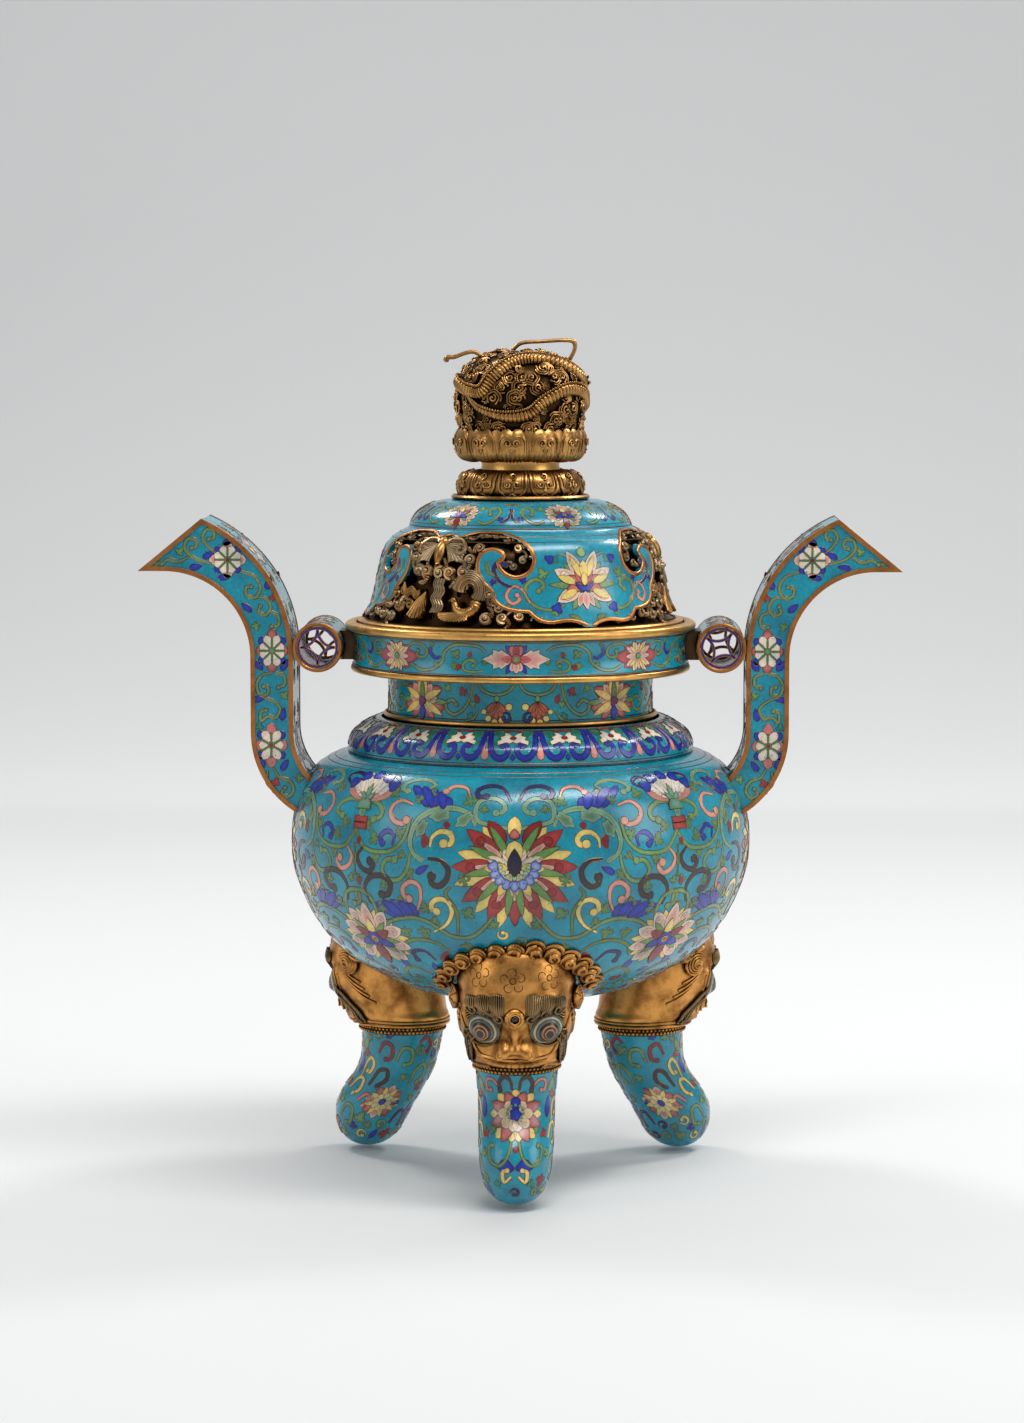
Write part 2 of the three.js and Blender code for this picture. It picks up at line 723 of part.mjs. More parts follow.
const topBendInner = STEM_INNER + TOP_BEND_INNER;
const topBendOuter = STEM_OUTER + TOP_BEND_OUTER;
const footBendInner = STEM_INNER - FOOT_BEND_INNER;
const footBendOuter = STEM_OUTER - FOOT_BEND_OUTER;

// The handle's side outline in X and Z, drawn in by an inset all round but at the bowl.
function handleShape(inset) {
  const hornRise = Math.sqrt(TOP_BEND_INNER ** 2 - (topBendInner - HANDLE_HORN) ** 2);
  const horn = new THREE.Vector2(HANDLE_HORN, HANDLE_BEND_TOP + hornRise);
  const tip = new THREE.Vector2(HANDLE_TIP, HANDLE_BEND_TOP + TOP_BEND_OUTER);
  const along = tip.clone().sub(horn).normalize();
  const start = horn.clone().add(new THREE.Vector2(along.y, -along.x).multiplyScalar(inset));
  // The slanting end, moved in, meets the upper bend here and the straight under side there.
  const toCentre = start.clone().sub(new THREE.Vector2(topBendInner, HANDLE_BEND_TOP));
  const b = toCentre.dot(along);
  const c = toCentre.lengthSq() - (TOP_BEND_INNER - inset) ** 2;
  const innerHorn = start.clone().addScaledVector(along, -b - Math.sqrt(b * b - c));
  const innerTipZ = tip.y + inset;
  const innerTip = start.clone().addScaledVector(along, (innerTipZ - start.y) / along.y);
  const hornAngle = Math.atan2(innerHorn.y - HANDLE_BEND_TOP, innerHorn.x - topBendInner);
  const shape = new THREE.Shape();
  shape.moveTo(innerHorn.x, innerHorn.y);
  shape.absarc(topBendInner, HANDLE_BEND_TOP, TOP_BEND_INNER - inset, hornAngle, Math.PI, false);
  shape.absarc(footBendInner, HANDLE_BEND_BOTTOM, FOOT_BEND_INNER + inset, 0, radians(-80), true);
  shape.absarc(footBendOuter, HANDLE_BEND_BOTTOM, FOOT_BEND_OUTER - inset, radians(-72), 0, false);
  shape.absarc(topBendOuter, HANDLE_BEND_TOP, TOP_BEND_OUTER + inset, Math.PI, Math.PI / 2, true);
  shape.lineTo(innerTip.x, innerTip.y);
  return shape;
}

function makeHandle() {
  const half = HANDLE_DEPTH / 2;
  const face = handleShape(HANDLE_EDGING);
  const recesses = solid(prismAlongY(face, half - HANDLE_RECESS, half + 1)).add(
    solid(prismAlongY(face, -half - 1, -half + HANDLE_RECESS)),
  );
  const body = solid(prismAlongY(handleShape(0), -half, half)).subtract(bowlCutter(SEAM));
  return geometryOf(body.subtract(recesses.subtract(bowlCutter(SEAM + HANDLE_EDGING))));
}

const tubeX = STEM_INNER - SEAM - TUBE_RADIUS;
const tubeHeight = bandBottom + BAND_HEIGHT / 2 + TUBE_RISE;

function makeTube() {
  const tube = barAlongY(TUBE_RADIUS, TUBE_LENGTH, tubeX, tubeHeight);
  return geometryOf(tube.subtract(barAlongY(TUBE_RADIUS - TUBE_WALL, 2 * TUBE_LENGTH, tubeX, tubeHeight)));
}

// A pierced coin in the tube's end: a rim, and four bars bowed towards the middle.
function makeCoin(side) {
  const y = side * (TUBE_LENGTH / 2 - COIN_INSET - COIN_THICKNESS / 2);
  const radius = TUBE_RADIUS - TUBE_WALL - SEAM;
  const reach = radius - COIN_RIM;
  const bow = reach * Math.SQRT2;
  const plain = new THREE.CylinderGeometry(radius, radius, COIN_THICKNESS, SMALL_ROUND);
  const disc = solid(plain.translate(tubeX, y, tubeHeight));
  const bowAt = (quarter, bowRadius) => {
    const angle = (quarter * Math.PI) / 2;
    const [x, z] = [tubeX + bow * Math.cos(angle), tubeHeight + bow * Math.sin(angle)];
    return barAlongY(bowRadius, TUBE_LENGTH * 2, x, z, 16);
  };
  const opening = barAlongY(reach, TUBE_LENGTH * 2, tubeX, tubeHeight, 16);
  let eye = barAlongY(reach * 0.75, TUBE_LENGTH * 2, tubeX, tubeHeight, 16);
  let coin = disc;
  for (let quarter = 0; quarter < 4; quarter += 1) {
    coin = coin.subtract(opening.intersect(bowAt(quarter, reach - COIN_BAR)));
    eye = eye.subtract(bowAt(quarter, reach + COIN_BAR));
  }
  return geometryOf(coin.subtract(eye));
}

// A saddle between the tube and the rim's band.
function makeBracket() {
  const block = new THREE.BoxGeometry(tubeX - BAND_RADIUS + BAND_WALL, BRACKET_DEPTH, BRACKET_HEIGHT);
  block.translate((tubeX + BAND_RADIUS - BAND_WALL) / 2, 0, tubeHeight);
  const tube = barAlongY(TUBE_RADIUS + SEAM, TUBE_LENGTH, tubeX, tubeHeight);
  const swollen = bandRun.map(([r, z]) => [r + SEAM, z]);
  const band = solid(revolve([[0, bandBottom], ...swollen, [0, bandTop]]));
  return geometryOf(solid(block).subtract(tube).subtract(band));
}

// Legs, modelled at the front, towards -Y

// A level oval ring of points: distance in front of the mask's middle, half depth and half width.
function oval([z, front, depth, width], sides = 14) {
  return Array.from({ length: sides }, (_, i) => {
    const angle = (2 * Math.PI * i) / sides;
    return new THREE.Vector3(width * Math.sin(angle), -LEG_REACH - front - depth * Math.cos(angle), z);
  });
}

// Share of the leg's height, distance in front of the mask's middle, half depth and half width,
// from the sole to the leg's top.
const LEG_SECTIONS = [
  [0, 12.5, 6, 6],
  [0.025, 12.3, 10, 9.5],
  [0.078, 12, 14.3, 13.2],
  [0.155, 11.2, 17.8, 16],
  [0.25, 10, 20, 17.8],
  [0.373, 7.2, 22, 18.7],
  [0.497, 2.2, 22.4, 19.2],
  [0.652, -4.8, 21.2, 19.4],
  [0.839, -9, 21.2, 20],
  [1, -10, 22.2, 21],
];

function makeLeg() {
  return loft(LEG_SECTIONS.map(([share, ...rest]) => oval([share * LEG_TOP, ...rest])));
}

const collarBottom = LEG_TOP + SEAM;
const collarTop = collarBottom + LEG_COLLAR_HEIGHT;

function makeLegCollar() {
  const [, front, depth, width] = LEG_SECTIONS[LEG_SECTIONS.length - 1];
  const grown = (z, more) => oval([z, front, depth + more, width + more]);
  return loft([
    grown(collarBottom, 0),
    grown(collarBottom + LEG_COLLAR_HEIGHT / 3, LEG_COLLAR_OVERHANG),
    grown(collarTop - LEG_COLLAR_HEIGHT / 3, LEG_COLLAR_OVERHANG),
    grown(collarTop, 0),
  ]);
}

// The head from its lower lip to the crown, which the bowl cuts away.
const maskBottom = collarTop + SEAM;
const MASK_SECTIONS = [
  [maskBottom, -9.5, 25, 22],
  [maskBottom + 4, -8, 27.5, 24],
  [maskBottom + 8, -6.5, 27, 25],
  [maskBottom + 16, -3.5, 28, 28],
  [maskBottom + 27, -1, 28.5, 29.5],
  [maskBottom + 38, 0, 29, 30],
  [maskBottom + 48, 0, 28.5, 29.5],
  [maskBottom + 57, 0, 26, 26],
  [maskBottom + 62, 0, 22, 16],
];

// The mane's curls lie in an arch where the head meets the bowl, from t = -1 over 0 to 1.
function curlPlace(t) {
  const x = MANE_HALF_WIDTH * Math.sin((t * Math.PI) / 2);
  const z = maskBottom + MANE_FOOT + MANE_RISE * Math.cos((t * Math.PI) / 2);
  const onBowl = Math.sqrt(Math.max(radiusAt(bowlRun, z) ** 2 - x * x, 0));
  return new THREE.Vector3(x, -Math.max(onBowl, LEG_REACH - 2) - 1.5, z);
}

// The finished mask, turned to its leg and fitted to the bowl there.
function makeMask(turn) {
  let mask = solid(loft(MASK_SECTIONS.map((section) => oval(section))));
  const features = [lump(0, 26, maskBottom + 27.5, [4, 5, 4]), lump(0, 23, maskBottom + 16, [3.6, 7, 8])];
  for (const side of [-1, 1]) {
    features.push(
      lump(side * 15, 19.5, maskBottom + 19.5, [EYE_RADIUS, EYE_RADIUS, EYE_RADIUS]),
      lump(side * 15, 20, maskBottom + 32, [11, 7, 5.5]),
      lump(side * 5.5, 24, maskBottom + 8.5, [5.6, 6, 4.4]),
      lump(side * 30, 4, maskBottom + 30, [3.6, 3.4, 7]),
      lump(side * 24, 8, maskBottom + 7, [4, 9, 9]),
    );
  }
  for (let i = 0; i < CURL_COUNT; i += 1) {
    const { x, y, z } = curlPlace((2 * i) / (CURL_COUNT - 1) - 1);
    features.push(solid(new THREE.IcosahedronGeometry(CURL_RADIUS).translate(x, y, z)));
  }
  for (const feature of features) mask = mask.add(feature);
  return geometryOf(solid(turned(geometryOf(mask), turn)).subtract(bowlCutter(SEAM)));
}

// Fire pan, hanging by its flange from the rim's floor

const panRadius = FLOOR_HOLE_RADIUS - PAN_CLEARANCE;
const panTop = floorTop + SEAM + PAN_FLANGE_THICKNESS;

function makePan() {
  const bottom = panTop - PAN_DEPTH;
  const corner = 8;
  return revolve([
    [0, bottom],
    [panRadius - 2 * corner, bottom],
    [panRadius - corner / 2, bottom + corner],
    [panRadius, bottom + 2 * corner],
    [panRadius, panTop - PAN_FLANGE_THICKNESS],
    [PAN_FLANGE_RADIUS, panTop - PAN_FLANGE_THICKNESS],
    [PAN_FLANGE_RADIUS, panTop],
    [panRadius - PAN_WALL, panTop],
    [panRadius - PAN_WALL, bottom + 2 * corner],
    [panRadius - corner / 2 - PAN_WALL, bottom + corner + PAN_WALL / 2],
    [panRadius - 2 * corner, bottom + PAN_WALL],
    [0, bottom + PAN_WALL],
  ]);
}

// Assembly

addPiece("bowl", makeBowl(), enamel);
addPiece("shoulder_collar", makeShoulder(), enamel);
addPiece("neck_moulding", makeMoulding(), gilt);
addPiece("neck", makeNeck(), enamel);
addPiece("rim_floor_ring", makeFloorRing(), gilt);
addPiece("rim_band", makeBand(), enamel);
addPiece("rim_top_ring", makeTopRing(), gilt);

for (const [side, sign] of [
  ["right", 1],
  ["left", -1],
]) {
  const mirrored = (geometry) => closed(geometry.clone().scale(sign, 1, 1));
  addPiece(`handle_${side}`, mirrored(makeHandle()), enamel);
  addPiece(`brace_tube_${side}`, mirrored(makeTube()), enamel);
  addPiece(`coin_${side}_front`, mirrored(makeCoin(-1)), gilt);
  addPiece(`coin_${side}_back`, mirrored(makeCoin(1)), gilt);
  addPiece(`brace_bracket_${side}`, mirrored(makeBracket()), darkBronze);
}

for (const [i, name] of LEG_NAMES.entries()) {
  const turn = (360 / LEG_NAMES.length) * i;
  addPiece(`leg_${name}`, turned(makeLeg(), turn), enamel);
  addPiece(`leg_collar_${name}`, turned(makeLegCollar(), turn), gilt);
  addPiece(`mask_${name}`, makeMask(turn), gilt);
}

addPiece("cover_flange", makeFlange(), gilt);
addPiece("cover_dome", makeDome(), enamel);
addPiece("cover_gallery", makeGallery(), gilt);
addPiece("finial_plate", makePlate(), gilt);
addPiece("finial_lotus_lower", makeLowerLotus(), gilt);
addPiece("finial_waist", makeWaist(), gilt);
addPiece("finial_lotus_upper", makeUpperLotus(), gilt);
addPiece("finial_knob", makeKnob(), gilt);
addPiece("finial_stud", makeStud(), darkBronze);
addPiece("finial_nut", makeNut(), darkBronze);

addPiece("fire_pan", makePan(), copper);

export default burner;
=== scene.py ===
import json
import math
import bpy
import numpy as np
from mathutils import Matrix, Vector


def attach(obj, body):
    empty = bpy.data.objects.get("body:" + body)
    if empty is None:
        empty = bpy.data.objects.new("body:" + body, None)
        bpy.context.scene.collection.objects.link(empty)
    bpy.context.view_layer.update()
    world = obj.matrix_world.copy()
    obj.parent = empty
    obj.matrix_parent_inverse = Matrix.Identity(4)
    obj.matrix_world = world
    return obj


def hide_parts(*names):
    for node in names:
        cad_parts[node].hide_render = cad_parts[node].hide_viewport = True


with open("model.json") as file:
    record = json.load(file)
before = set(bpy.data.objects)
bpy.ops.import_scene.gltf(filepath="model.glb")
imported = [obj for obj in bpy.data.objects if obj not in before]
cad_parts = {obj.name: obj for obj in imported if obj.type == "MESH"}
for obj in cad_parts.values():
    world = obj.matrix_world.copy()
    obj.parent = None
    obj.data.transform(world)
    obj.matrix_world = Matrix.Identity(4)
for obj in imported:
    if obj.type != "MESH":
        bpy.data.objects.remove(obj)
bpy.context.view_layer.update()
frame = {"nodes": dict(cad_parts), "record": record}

# A cloisonne tripod incense burner. Sizes are in millimetres here and become metres in the meshes.
MM = 0.001
nodes = frame["nodes"]


def paint(red, green, blue):
    """A colour as it looks on the object, from 0 to 255, turned into light values."""
    shares = [c / 255 for c in (red, green, blue)]
    return tuple(c / 12.92 if c <= 0.04045 else ((c + 0.055) / 1.055) ** 2.4 for c in shares)


TURQUOISE = paint(10, 140, 164)
RED = paint(146, 40, 40)
YELLOW = paint(208, 186, 96)
GREEN = paint(88, 132, 72)
SAGE = paint(120, 168, 150)
OLIVE = paint(84, 112, 74)
COBALT = paint(30, 62, 178)
NAVY = paint(26, 34, 128)
BLACK = paint(30, 30, 36)
WHITE = paint(216, 208, 192)
PINK = paint(190, 132, 120)
PLUM = paint(120, 40, 52)
EMERALD = paint(24, 110, 96)
ROSE = paint(192, 118, 112)
CREAM = paint(216, 206, 186)
LEMON = paint(222, 204, 124)
LEAF = paint(106, 148, 100)
BLUSH = paint(206, 150, 128)
SMOKE = paint(52, 46, 50)
BRICK = paint(160, 60, 54)
POLLEN = paint(224, 208, 130)
BRIGHT_BLUE = paint(28, 46, 168)


# Selecting and making pieces


def pick(*pieces):
    """Leaves only these pieces selected, the first one active."""
    if bpy.context.mode != "OBJECT":
        bpy.ops.object.mode_set(mode="OBJECT")
    bpy.ops.object.select_all(action="DESELECT")
    for piece in pieces:
        piece.select_set(True)
    bpy.context.view_layer.objects.active = pieces[0]


def delete(*pieces):
    pick(*pieces)
    bpy.ops.object.delete()


def faces_outwards(piece, weld=False):
    """Turns a piece's faces outwards, and first welds its doubled points if asked."""
    pick(piece)
    bpy.ops.object.mode_set(mode="EDIT")
    bpy.ops.mesh.select_all(action="SELECT")
    if weld:
        bpy.ops.mesh.remove_doubles(threshold=1e-6)
    bpy.ops.mesh.normals_make_consistent(inside=False)
    bpy.ops.object.mode_set(mode="OBJECT")


def draw_line(piece, points, closed=True):
    """Adds a straight-edged line through points in millimetres to a curve."""
    line = piece.data.splines.new("POLY")
    line.points.add(len(points) - 1)
    for point, (x, y, z) in zip(line.points, points):
        point.co = (x * MM, y * MM, z * MM, 1)
    line.use_cyclic_u = closed


def mesh_piece(name, points, faces):
    """A piece from points in millimetres and faces between them."""
    mesh = bpy.data.meshes.new(name)
    mesh.from_pydata((np.asarray(points) * MM).tolist(), [], faces)
    piece = bpy.data.objects.new(name, mesh)
    bpy.context.scene.collection.objects.link(piece)
    return piece


def copy_of(piece, name, turn=0.0, mirror=False):
    """A copy with its own mesh, turned about the vessel's axis, or mirrored from side to side."""
    other = bpy.data.objects.new(name, piece.data.copy())
    bpy.context.scene.collection.objects.link(other)
    move = Matrix.Rotation(math.radians(turn), 4, "Z")
    if mirror:
        move = Matrix.Scale(-1, 4, (1, 0, 0)) @ move
    other.data.transform(move)
    if mirror:
        other.data.flip_normals()
    return other


def join(name, pieces):
    """One piece out of several."""
    if len(pieces) > 1:
        pick(*pieces)
        bpy.ops.object.join()
    pieces[0].name = name
    return pieces[0]


def smooth_shade(piece, degrees=35):
    pick(piece)
    bpy.ops.object.shade_smooth_by_angle(angle=math.radians(degrees))


def cut(piece, tool):
    pick(piece)
    bite = piece.modifiers.new("cut", "BOOLEAN")
    bite.operation = "DIFFERENCE"
    bite.solver = "MANIFOLD"
    bite.object = tool
    bpy.ops.object.modifier_apply(modifier=bite.name)


def bevel(piece, width):
    pick(piece)
    edge = piece.modifiers.new("bevel", "BEVEL")
    edge.width = width * MM
    edge.segments = 1
    edge.limit_method = "ANGLE"
    edge.angle_limit = math.radians(30)
    bpy.ops.object.modifier_apply(modifier=edge.name)


def run_through(points, steps):
    """A smooth run through points, with some steps to each stretch."""
    p = np.array(points, float)
    before = np.vstack([2 * p[:1] - p[1:2], p[:-2], p[-2:-1]])[: len(p) - 1]
    first, second = p[:-1], p[1:]
    after = np.vstack([p[2:], 2 * p[-1:] - p[-2:-1]])
    t = np.linspace(0, 1, steps, endpoint=False)[:, None, None]
    run = 0.5 * (
        2 * first
        + (second - before) * t
        + (2 * before - 5 * first + 4 * second - after) * t**2
        + (3 * first - before - 3 * second + after) * t**3
    )
    run = run.transpose(1, 0, 2).reshape(-1, p.shape[1])
    return np.vstack([run, p[-1:]])


def inward(run, distance):
    """A run of (radius, height) points moved towards the axis's side by a distance."""
    run = np.asarray(run, float)
    along = np.gradient(run, axis=0)
    along /= np.linalg.norm(along, axis=1)[:, None]
    return run + distance * np.stack([-along[:, 1], along[:, 0]], 1)


def turned_piece(name, outline, steps=192, axis="Z"):
    """A piece turned on a lathe. An outline that starts and ends on the axis is closed there."""
    on_axis = abs(outline[0][0]) < 1e-6
    bpy.ops.curve.primitive_bezier_curve_add()
    piece = bpy.context.object
    piece.data.splines.clear()
    draw_line(piece, [(0, -r, z) for r, z in outline], not on_axis)
    bpy.ops.object.convert(target="MESH")
    bpy.ops.object.mode_set(mode="EDIT")
    bpy.ops.mesh.select_all(action="SELECT")
    bpy.ops.mesh.spin(steps=steps, angle=math.tau, center=(0, 0, 0), axis=(0, 0, 1))
    faces_outwards(piece, weld=True)
    piece.name = name
    if axis == "Y":
        piece.data.transform(Matrix.Rotation(math.radians(-90), 4, "X"))
    smooth_shade(piece)
    return piece


def flat_piece(name, outlines, y_front, y_back):
    """A plate between two depths along Y, its outlines drawn in X and Z. Inner outlines are holes."""
    bpy.ops.curve.primitive_bezier_circle_add()
    piece = bpy.context.object
    piece.data.splines.clear()
    piece.data.dimensions = "2D"
    piece.data.fill_mode = "BOTH"
    piece.data.extrude = abs(y_back - y_front) / 2 * MM
    for outline in outlines:
        draw_line(piece, [(x, z, 0) for x, z in outline])
    bpy.ops.object.convert(target="MESH")
    piece.data.transform(Matrix.Rotation(math.radians(90), 4, "X"))
    piece.data.transform(Matrix.Translation((0, (y_front + y_back) / 2 * MM, 0)))
    faces_outwards(piece, weld=True)
    piece.name = name
    return piece


# Materials


def socket_value(node, name, value):
    if isinstance(value, tuple) and len(value) == 3:
        value = (*value, 1)
    node.inputs[name].default_value = value


class Wiring:
    """Places and joins the nodes of a material or a group."""

    def __init__(self, tree):
        self.tree = tree

    def add(self, kind, **settings):
        node = self.tree.nodes.new(kind)
        for key, value in settings.items():
            setattr(node, key, value)
        return node

    def link(self, source, target):
        self.tree.links.new(source, target)

    def feed(self, node, name, value):
        if isinstance(value, bpy.types.NodeSocket):
            self.link(value, node.inputs[name])
        else:
            socket_value(node, name, value)

    def noise(self, where, scale, detail=3.0, rough=0.55):
        node = self.add("ShaderNodeTexNoise")
        self.link(where, node.inputs["Vector"])
        socket_value(node, "Scale", scale)
        socket_value(node, "Detail", detail)
        socket_value(node, "Roughness", rough)
        return node.outputs["Fac"]

    def cells(self, where, scale):
        node = self.add("ShaderNodeTexVoronoi")
        self.link(where, node.inputs["Vector"])
        socket_value(node, "Scale", scale)
        return node.outputs["Distance"], node.outputs["Color"]

    def spread(self, value, low, high, to_low=0.0, to_high=1.0):
        node = self.add("ShaderNodeMapRange")
        for name, given in zip(
            ("Value", "From Min", "From Max", "To Min", "To Max"), (value, low, high, to_low, to_high)
        ):
            self.feed(node, name, given)
        return node.outputs["Result"]

    def sum(self, kind, a, b):
        node = self.add("ShaderNodeMath", operation=kind)
        self.feed(node, 0, a)
        self.feed(node, 1, b)
        return node.outputs[0]

    def blend(self, share, a, b, kind="MIX"):
        node = self.add("ShaderNodeMix", data_type="RGBA", blend_type=kind)
        for at, given in ((0, share), (6, a), (7, b)):
            self.feed(node, at, given)
        return node.outputs[2]


def new_group(name, inputs, outputs):
    """A node group with its own sockets, and its wiring."""
    group = bpy.data.node_groups.new(name, "ShaderNodeTree")
    for socket, kind, value in inputs:
        made = group.interface.new_socket(socket, in_out="INPUT", socket_type=kind)
        made.default_value = value
    for socket, kind in outputs:
        group.interface.new_socket(socket, in_out="OUTPUT", socket_type=kind)
    wires = Wiring(group)
    return group, wires, wires.add("NodeGroupInput"), wires.add("NodeGroupOutput")


COLOUR, NUMBER, DIRECTION = "NodeSocketColor", "NodeSocketFloat", "NodeSocketVector"


def make_glaze():
    """Fired enamel: cloudy colour, pinholes from the firing, a slightly uneven polish."""
    group, w, given, out = new_group(
        "fired glaze",
        [("Colour", COLOUR, (0.1, 0.5, 0.6, 1)), ("Pinholes", NUMBER, 1.0)],
        [("Colour", COLOUR), ("Roughness", NUMBER), ("Normal", DIRECTION)],
    )
    where = w.add("ShaderNodeTexCoord").outputs["Object"]
    cloud = w.noise(where, 55, 4)
    grain = w.noise(where, 520, 3)
    tone = w.blend(w.spread(cloud, 0.3, 0.72), (0.60, 0.66, 0.70), (1.5, 1.3, 1.22))
    colour = w.blend(1.0, given.outputs["Colour"], tone, "MULTIPLY")
    fine = w.blend(w.spread(grain, 0.3, 0.7), (0.88, 0.88, 0.88), (1.08, 1.08, 1.08))
    colour = w.blend(1.0, colour, fine, "MULTIPLY")
    distance, tint = w.cells(where, 520)
    picked = w.spread(tint, 0.62, 0.66)
    hole = w.sum("MULTIPLY", w.spread(distance, 0.20, 0.10), picked)
    hole = w.sum("MULTIPLY", hole, given.outputs["Pinholes"])
    colour = w.blend(hole, colour, (0.015, 0.02, 0.022))
    w.link(colour, out.inputs["Colour"])
    rough = w.spread(grain, 0.3, 0.7, 0.17, 0.30)
    w.link(w.sum("MAXIMUM", rough, w.sum("MULTIPLY", hole, 0.7)), out.inputs["Roughness"])
    height = w.sum("SUBTRACT", w.sum("MULTIPLY", w.noise(where, 190, 2), 0.5), hole)
    bump = w.add("ShaderNodeBump")
    socket_value(bump, "Strength", 0.25)
    socket_value(bump, "Distance", 0.0003)
    w.link(height, bump.inputs["Height"])
    w.link(bump.outputs["Normal"], out.inputs["Normal"])
    return group


def make_gilding():
    """Fire gilding, worn through to copper in blotches, and darkened in the hollows by ambient occlusion: painted
    shade, partly standing for patina there.
    """
    group, w, given, out = new_group(
        "worn gilding",
        [
            ("Gold", COLOUR, (0.8, 0.5, 0.2, 1)),
            ("Hollow", COLOUR, (0.03, 0.02, 0.01, 1)),
            ("Blotch", COLOUR, (0.4, 0.2, 0.08, 1)),
            ("Blotches", NUMBER, 0.5),
            ("Reach", NUMBER, 0.003),
            ("Depth", NUMBER, 1.0),
        ],
        [("Colour", COLOUR), ("Roughness", NUMBER), ("Normal", DIRECTION)],
    )
    where = w.add("ShaderNodeTexCoord").outputs["Object"]
    patches = w.noise(where, 90, 5, 0.62)
    grain = w.noise(where, 900, 3)
    share = w.sum("MULTIPLY", w.spread(patches, 0.42, 0.68), given.outputs["Blotches"])
    colour = w.blend(share, given.outputs["Gold"], given.outputs["Blotch"])
    # Painted shade: the ambient occlusion darkens the colour in hollows and creases, partly standing for patina
    # there.
    shade = w.add("ShaderNodeAmbientOcclusion", samples=6)
    w.link(given.outputs["Reach"], shade.inputs["Distance"])
    hollow = w.spread(shade.outputs["AO"], 0.86, 0.42)
    hollow = w.sum("MULTIPLY", hollow, given.outputs["Depth"])
    colour = w.blend(hollow, colour, given.outputs["Hollow"])
    w.link(colour, out.inputs["Colour"])
    rough = w.spread(grain, 0.3, 0.7, 0.26, 0.42)
    w.link(w.sum("ADD", rough, w.sum("MULTIPLY", hollow, 0.3)), out.inputs["Roughness"])
    bump = w.add("ShaderNodeBump")
    socket_value(bump, "Strength", 0.2)
    socket_value(bump, "Distance", 0.0002)
    w.link(w.sum("ADD", w.noise(where, 340, 4), w.sum("MULTIPLY", grain, 0.4)), bump.inputs["Height"])
    w.link(bump.outputs["Normal"], out.inputs["Normal"])
    return group


GLAZE = make_glaze()
GILDING = make_gilding()


def new_material(name, group, metallic, **values):
    """A material whose colour, roughness and bump come from a shared group."""
    material = bpy.data.materials.new(name)
    material.use_nodes = True
    w = Wiring(material.node_tree)
    shader = material.node_tree.nodes["Principled BSDF"]
    source = w.add("ShaderNodeGroup")
    source.node_tree = group
    for key, value in values.items():
        w.feed(source, key, value)
    w.link(source.outputs["Colour"], shader.inputs["Base Color"])
    w.link(source.outputs["Roughness"], shader.inputs["Roughness"])
    w.link(source.outputs["Normal"], shader.inputs["Normal"])
    shader.inputs["Metallic"].default_value = metallic
    return material, w, source, shader


enamel, enamel_wiring, enamel_source, enamel_shader = new_material("cloisonne enamel", GLAZE, 0.0)
layer_colour = enamel_wiring.add("ShaderNodeAttribute", attribute_name="enamel")
enamel_wiring.link(layer_colour.outputs["Color"], enamel_source.inputs["Colour"])
enamel_shader.inputs["Specular IOR Level"].default_value = 0.5
enamel_shader.inputs["Coat Weight"].default_value = 0.28
enamel_shader.inputs["Coat Roughness"].default_value = 0.12


def gilding(name, gold, hollow, blotch, blotches=0.5, reach=0.003, depth=1.0):
    values = {"Gold": gold, "Hollow": hollow, "Blotch": blotch}
    material = new_material(name, GILDING, 1.0, **values, Blotches=blotches, Reach=reach, Depth=depth)
    return material[0]


# The third colour of each gilding is the painted shade in its hollows, which partly stands for patina there.
rim_gilt = gilding("rim gilding", paint(222, 172, 96), paint(70, 44, 20), paint(168, 112, 56), 0.6)
mask_gilt = gilding("mask gilding", paint(222, 158, 84), paint(26, 16, 8), paint(112, 66, 30), 0.85, 0.007)
finial_gilt = gilding("finial gilding", paint(196, 146, 84), paint(26, 17, 9), paint(120, 82, 44), 0.8, 0.005)
gallery_gilt = gilding("gallery gilding", paint(176, 152, 116), paint(16, 12, 9), paint(166, 110, 52), 0.8, 0.005)
wire_gilt = gilding("wires", paint(122, 92, 60), paint(46, 34, 24), paint(86, 62, 42), 0.8)
edge_gilt = gilding("edging", paint(198, 132, 74), paint(60, 38, 20), paint(140, 88, 46), 0.7)
# Nearly black gilding for what shows behind openwork: painted shade.
painted_shade_gilt = gilding("ground between clouds", paint(74, 52, 30), paint(8, 6, 4), paint(40, 28, 16), 0.8, 0.006)
dark_bronze = gilding("dark bronze", paint(92, 72, 50), paint(20, 16, 12), paint(58, 42, 30), 0.7)
copper = gilding("pan copper", paint(176, 104, 70), paint(40, 24, 16), paint(96, 60, 46), 0.8, 0.01)

MATERIAL_OF_SLOT = {"enamel": enamel, "gilt_bronze": rim_gilt, "dark_bronze": dark_bronze, "copper": copper}


def finish(piece, material, body, slot, *stands_for):
    """Gives a piece its material and its body, and hides the nodes it stands for. The slot is not used."""
    piece.data.materials.clear()
    piece.data.materials.append(material)
    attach(piece, body)
    if stands_for:
        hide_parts(*stands_for)
    return piece


def colour_all(piece, colour):
    """Lays one enamel colour over a whole piece."""
    layer = piece.data.color_attributes.get("enamel")
    if layer is None:
        layer = piece.data.color_attributes.new("enamel", "FLOAT_COLOR", "POINT")
    layer.data.foreach_set("color", np.tile((*colour, 1.0), len(piece.data.vertices)).astype(np.float32))


for entry in frame["record"]["subparts"]:
    if entry["node"] in nodes:
        node = nodes[entry["node"]]
        node.data.materials.clear()
        node.data.materials.append(MATERIAL_OF_SLOT[entry["material_slot"]])
        if entry["material_slot"] == "enamel":
            colour_all(node, TURQUOISE)


# Surfaces that enamel or relief is laid on. u runs round or across, v along, both in the surface's own
# measure; local x and y are millimetres to the right and up of a spot.


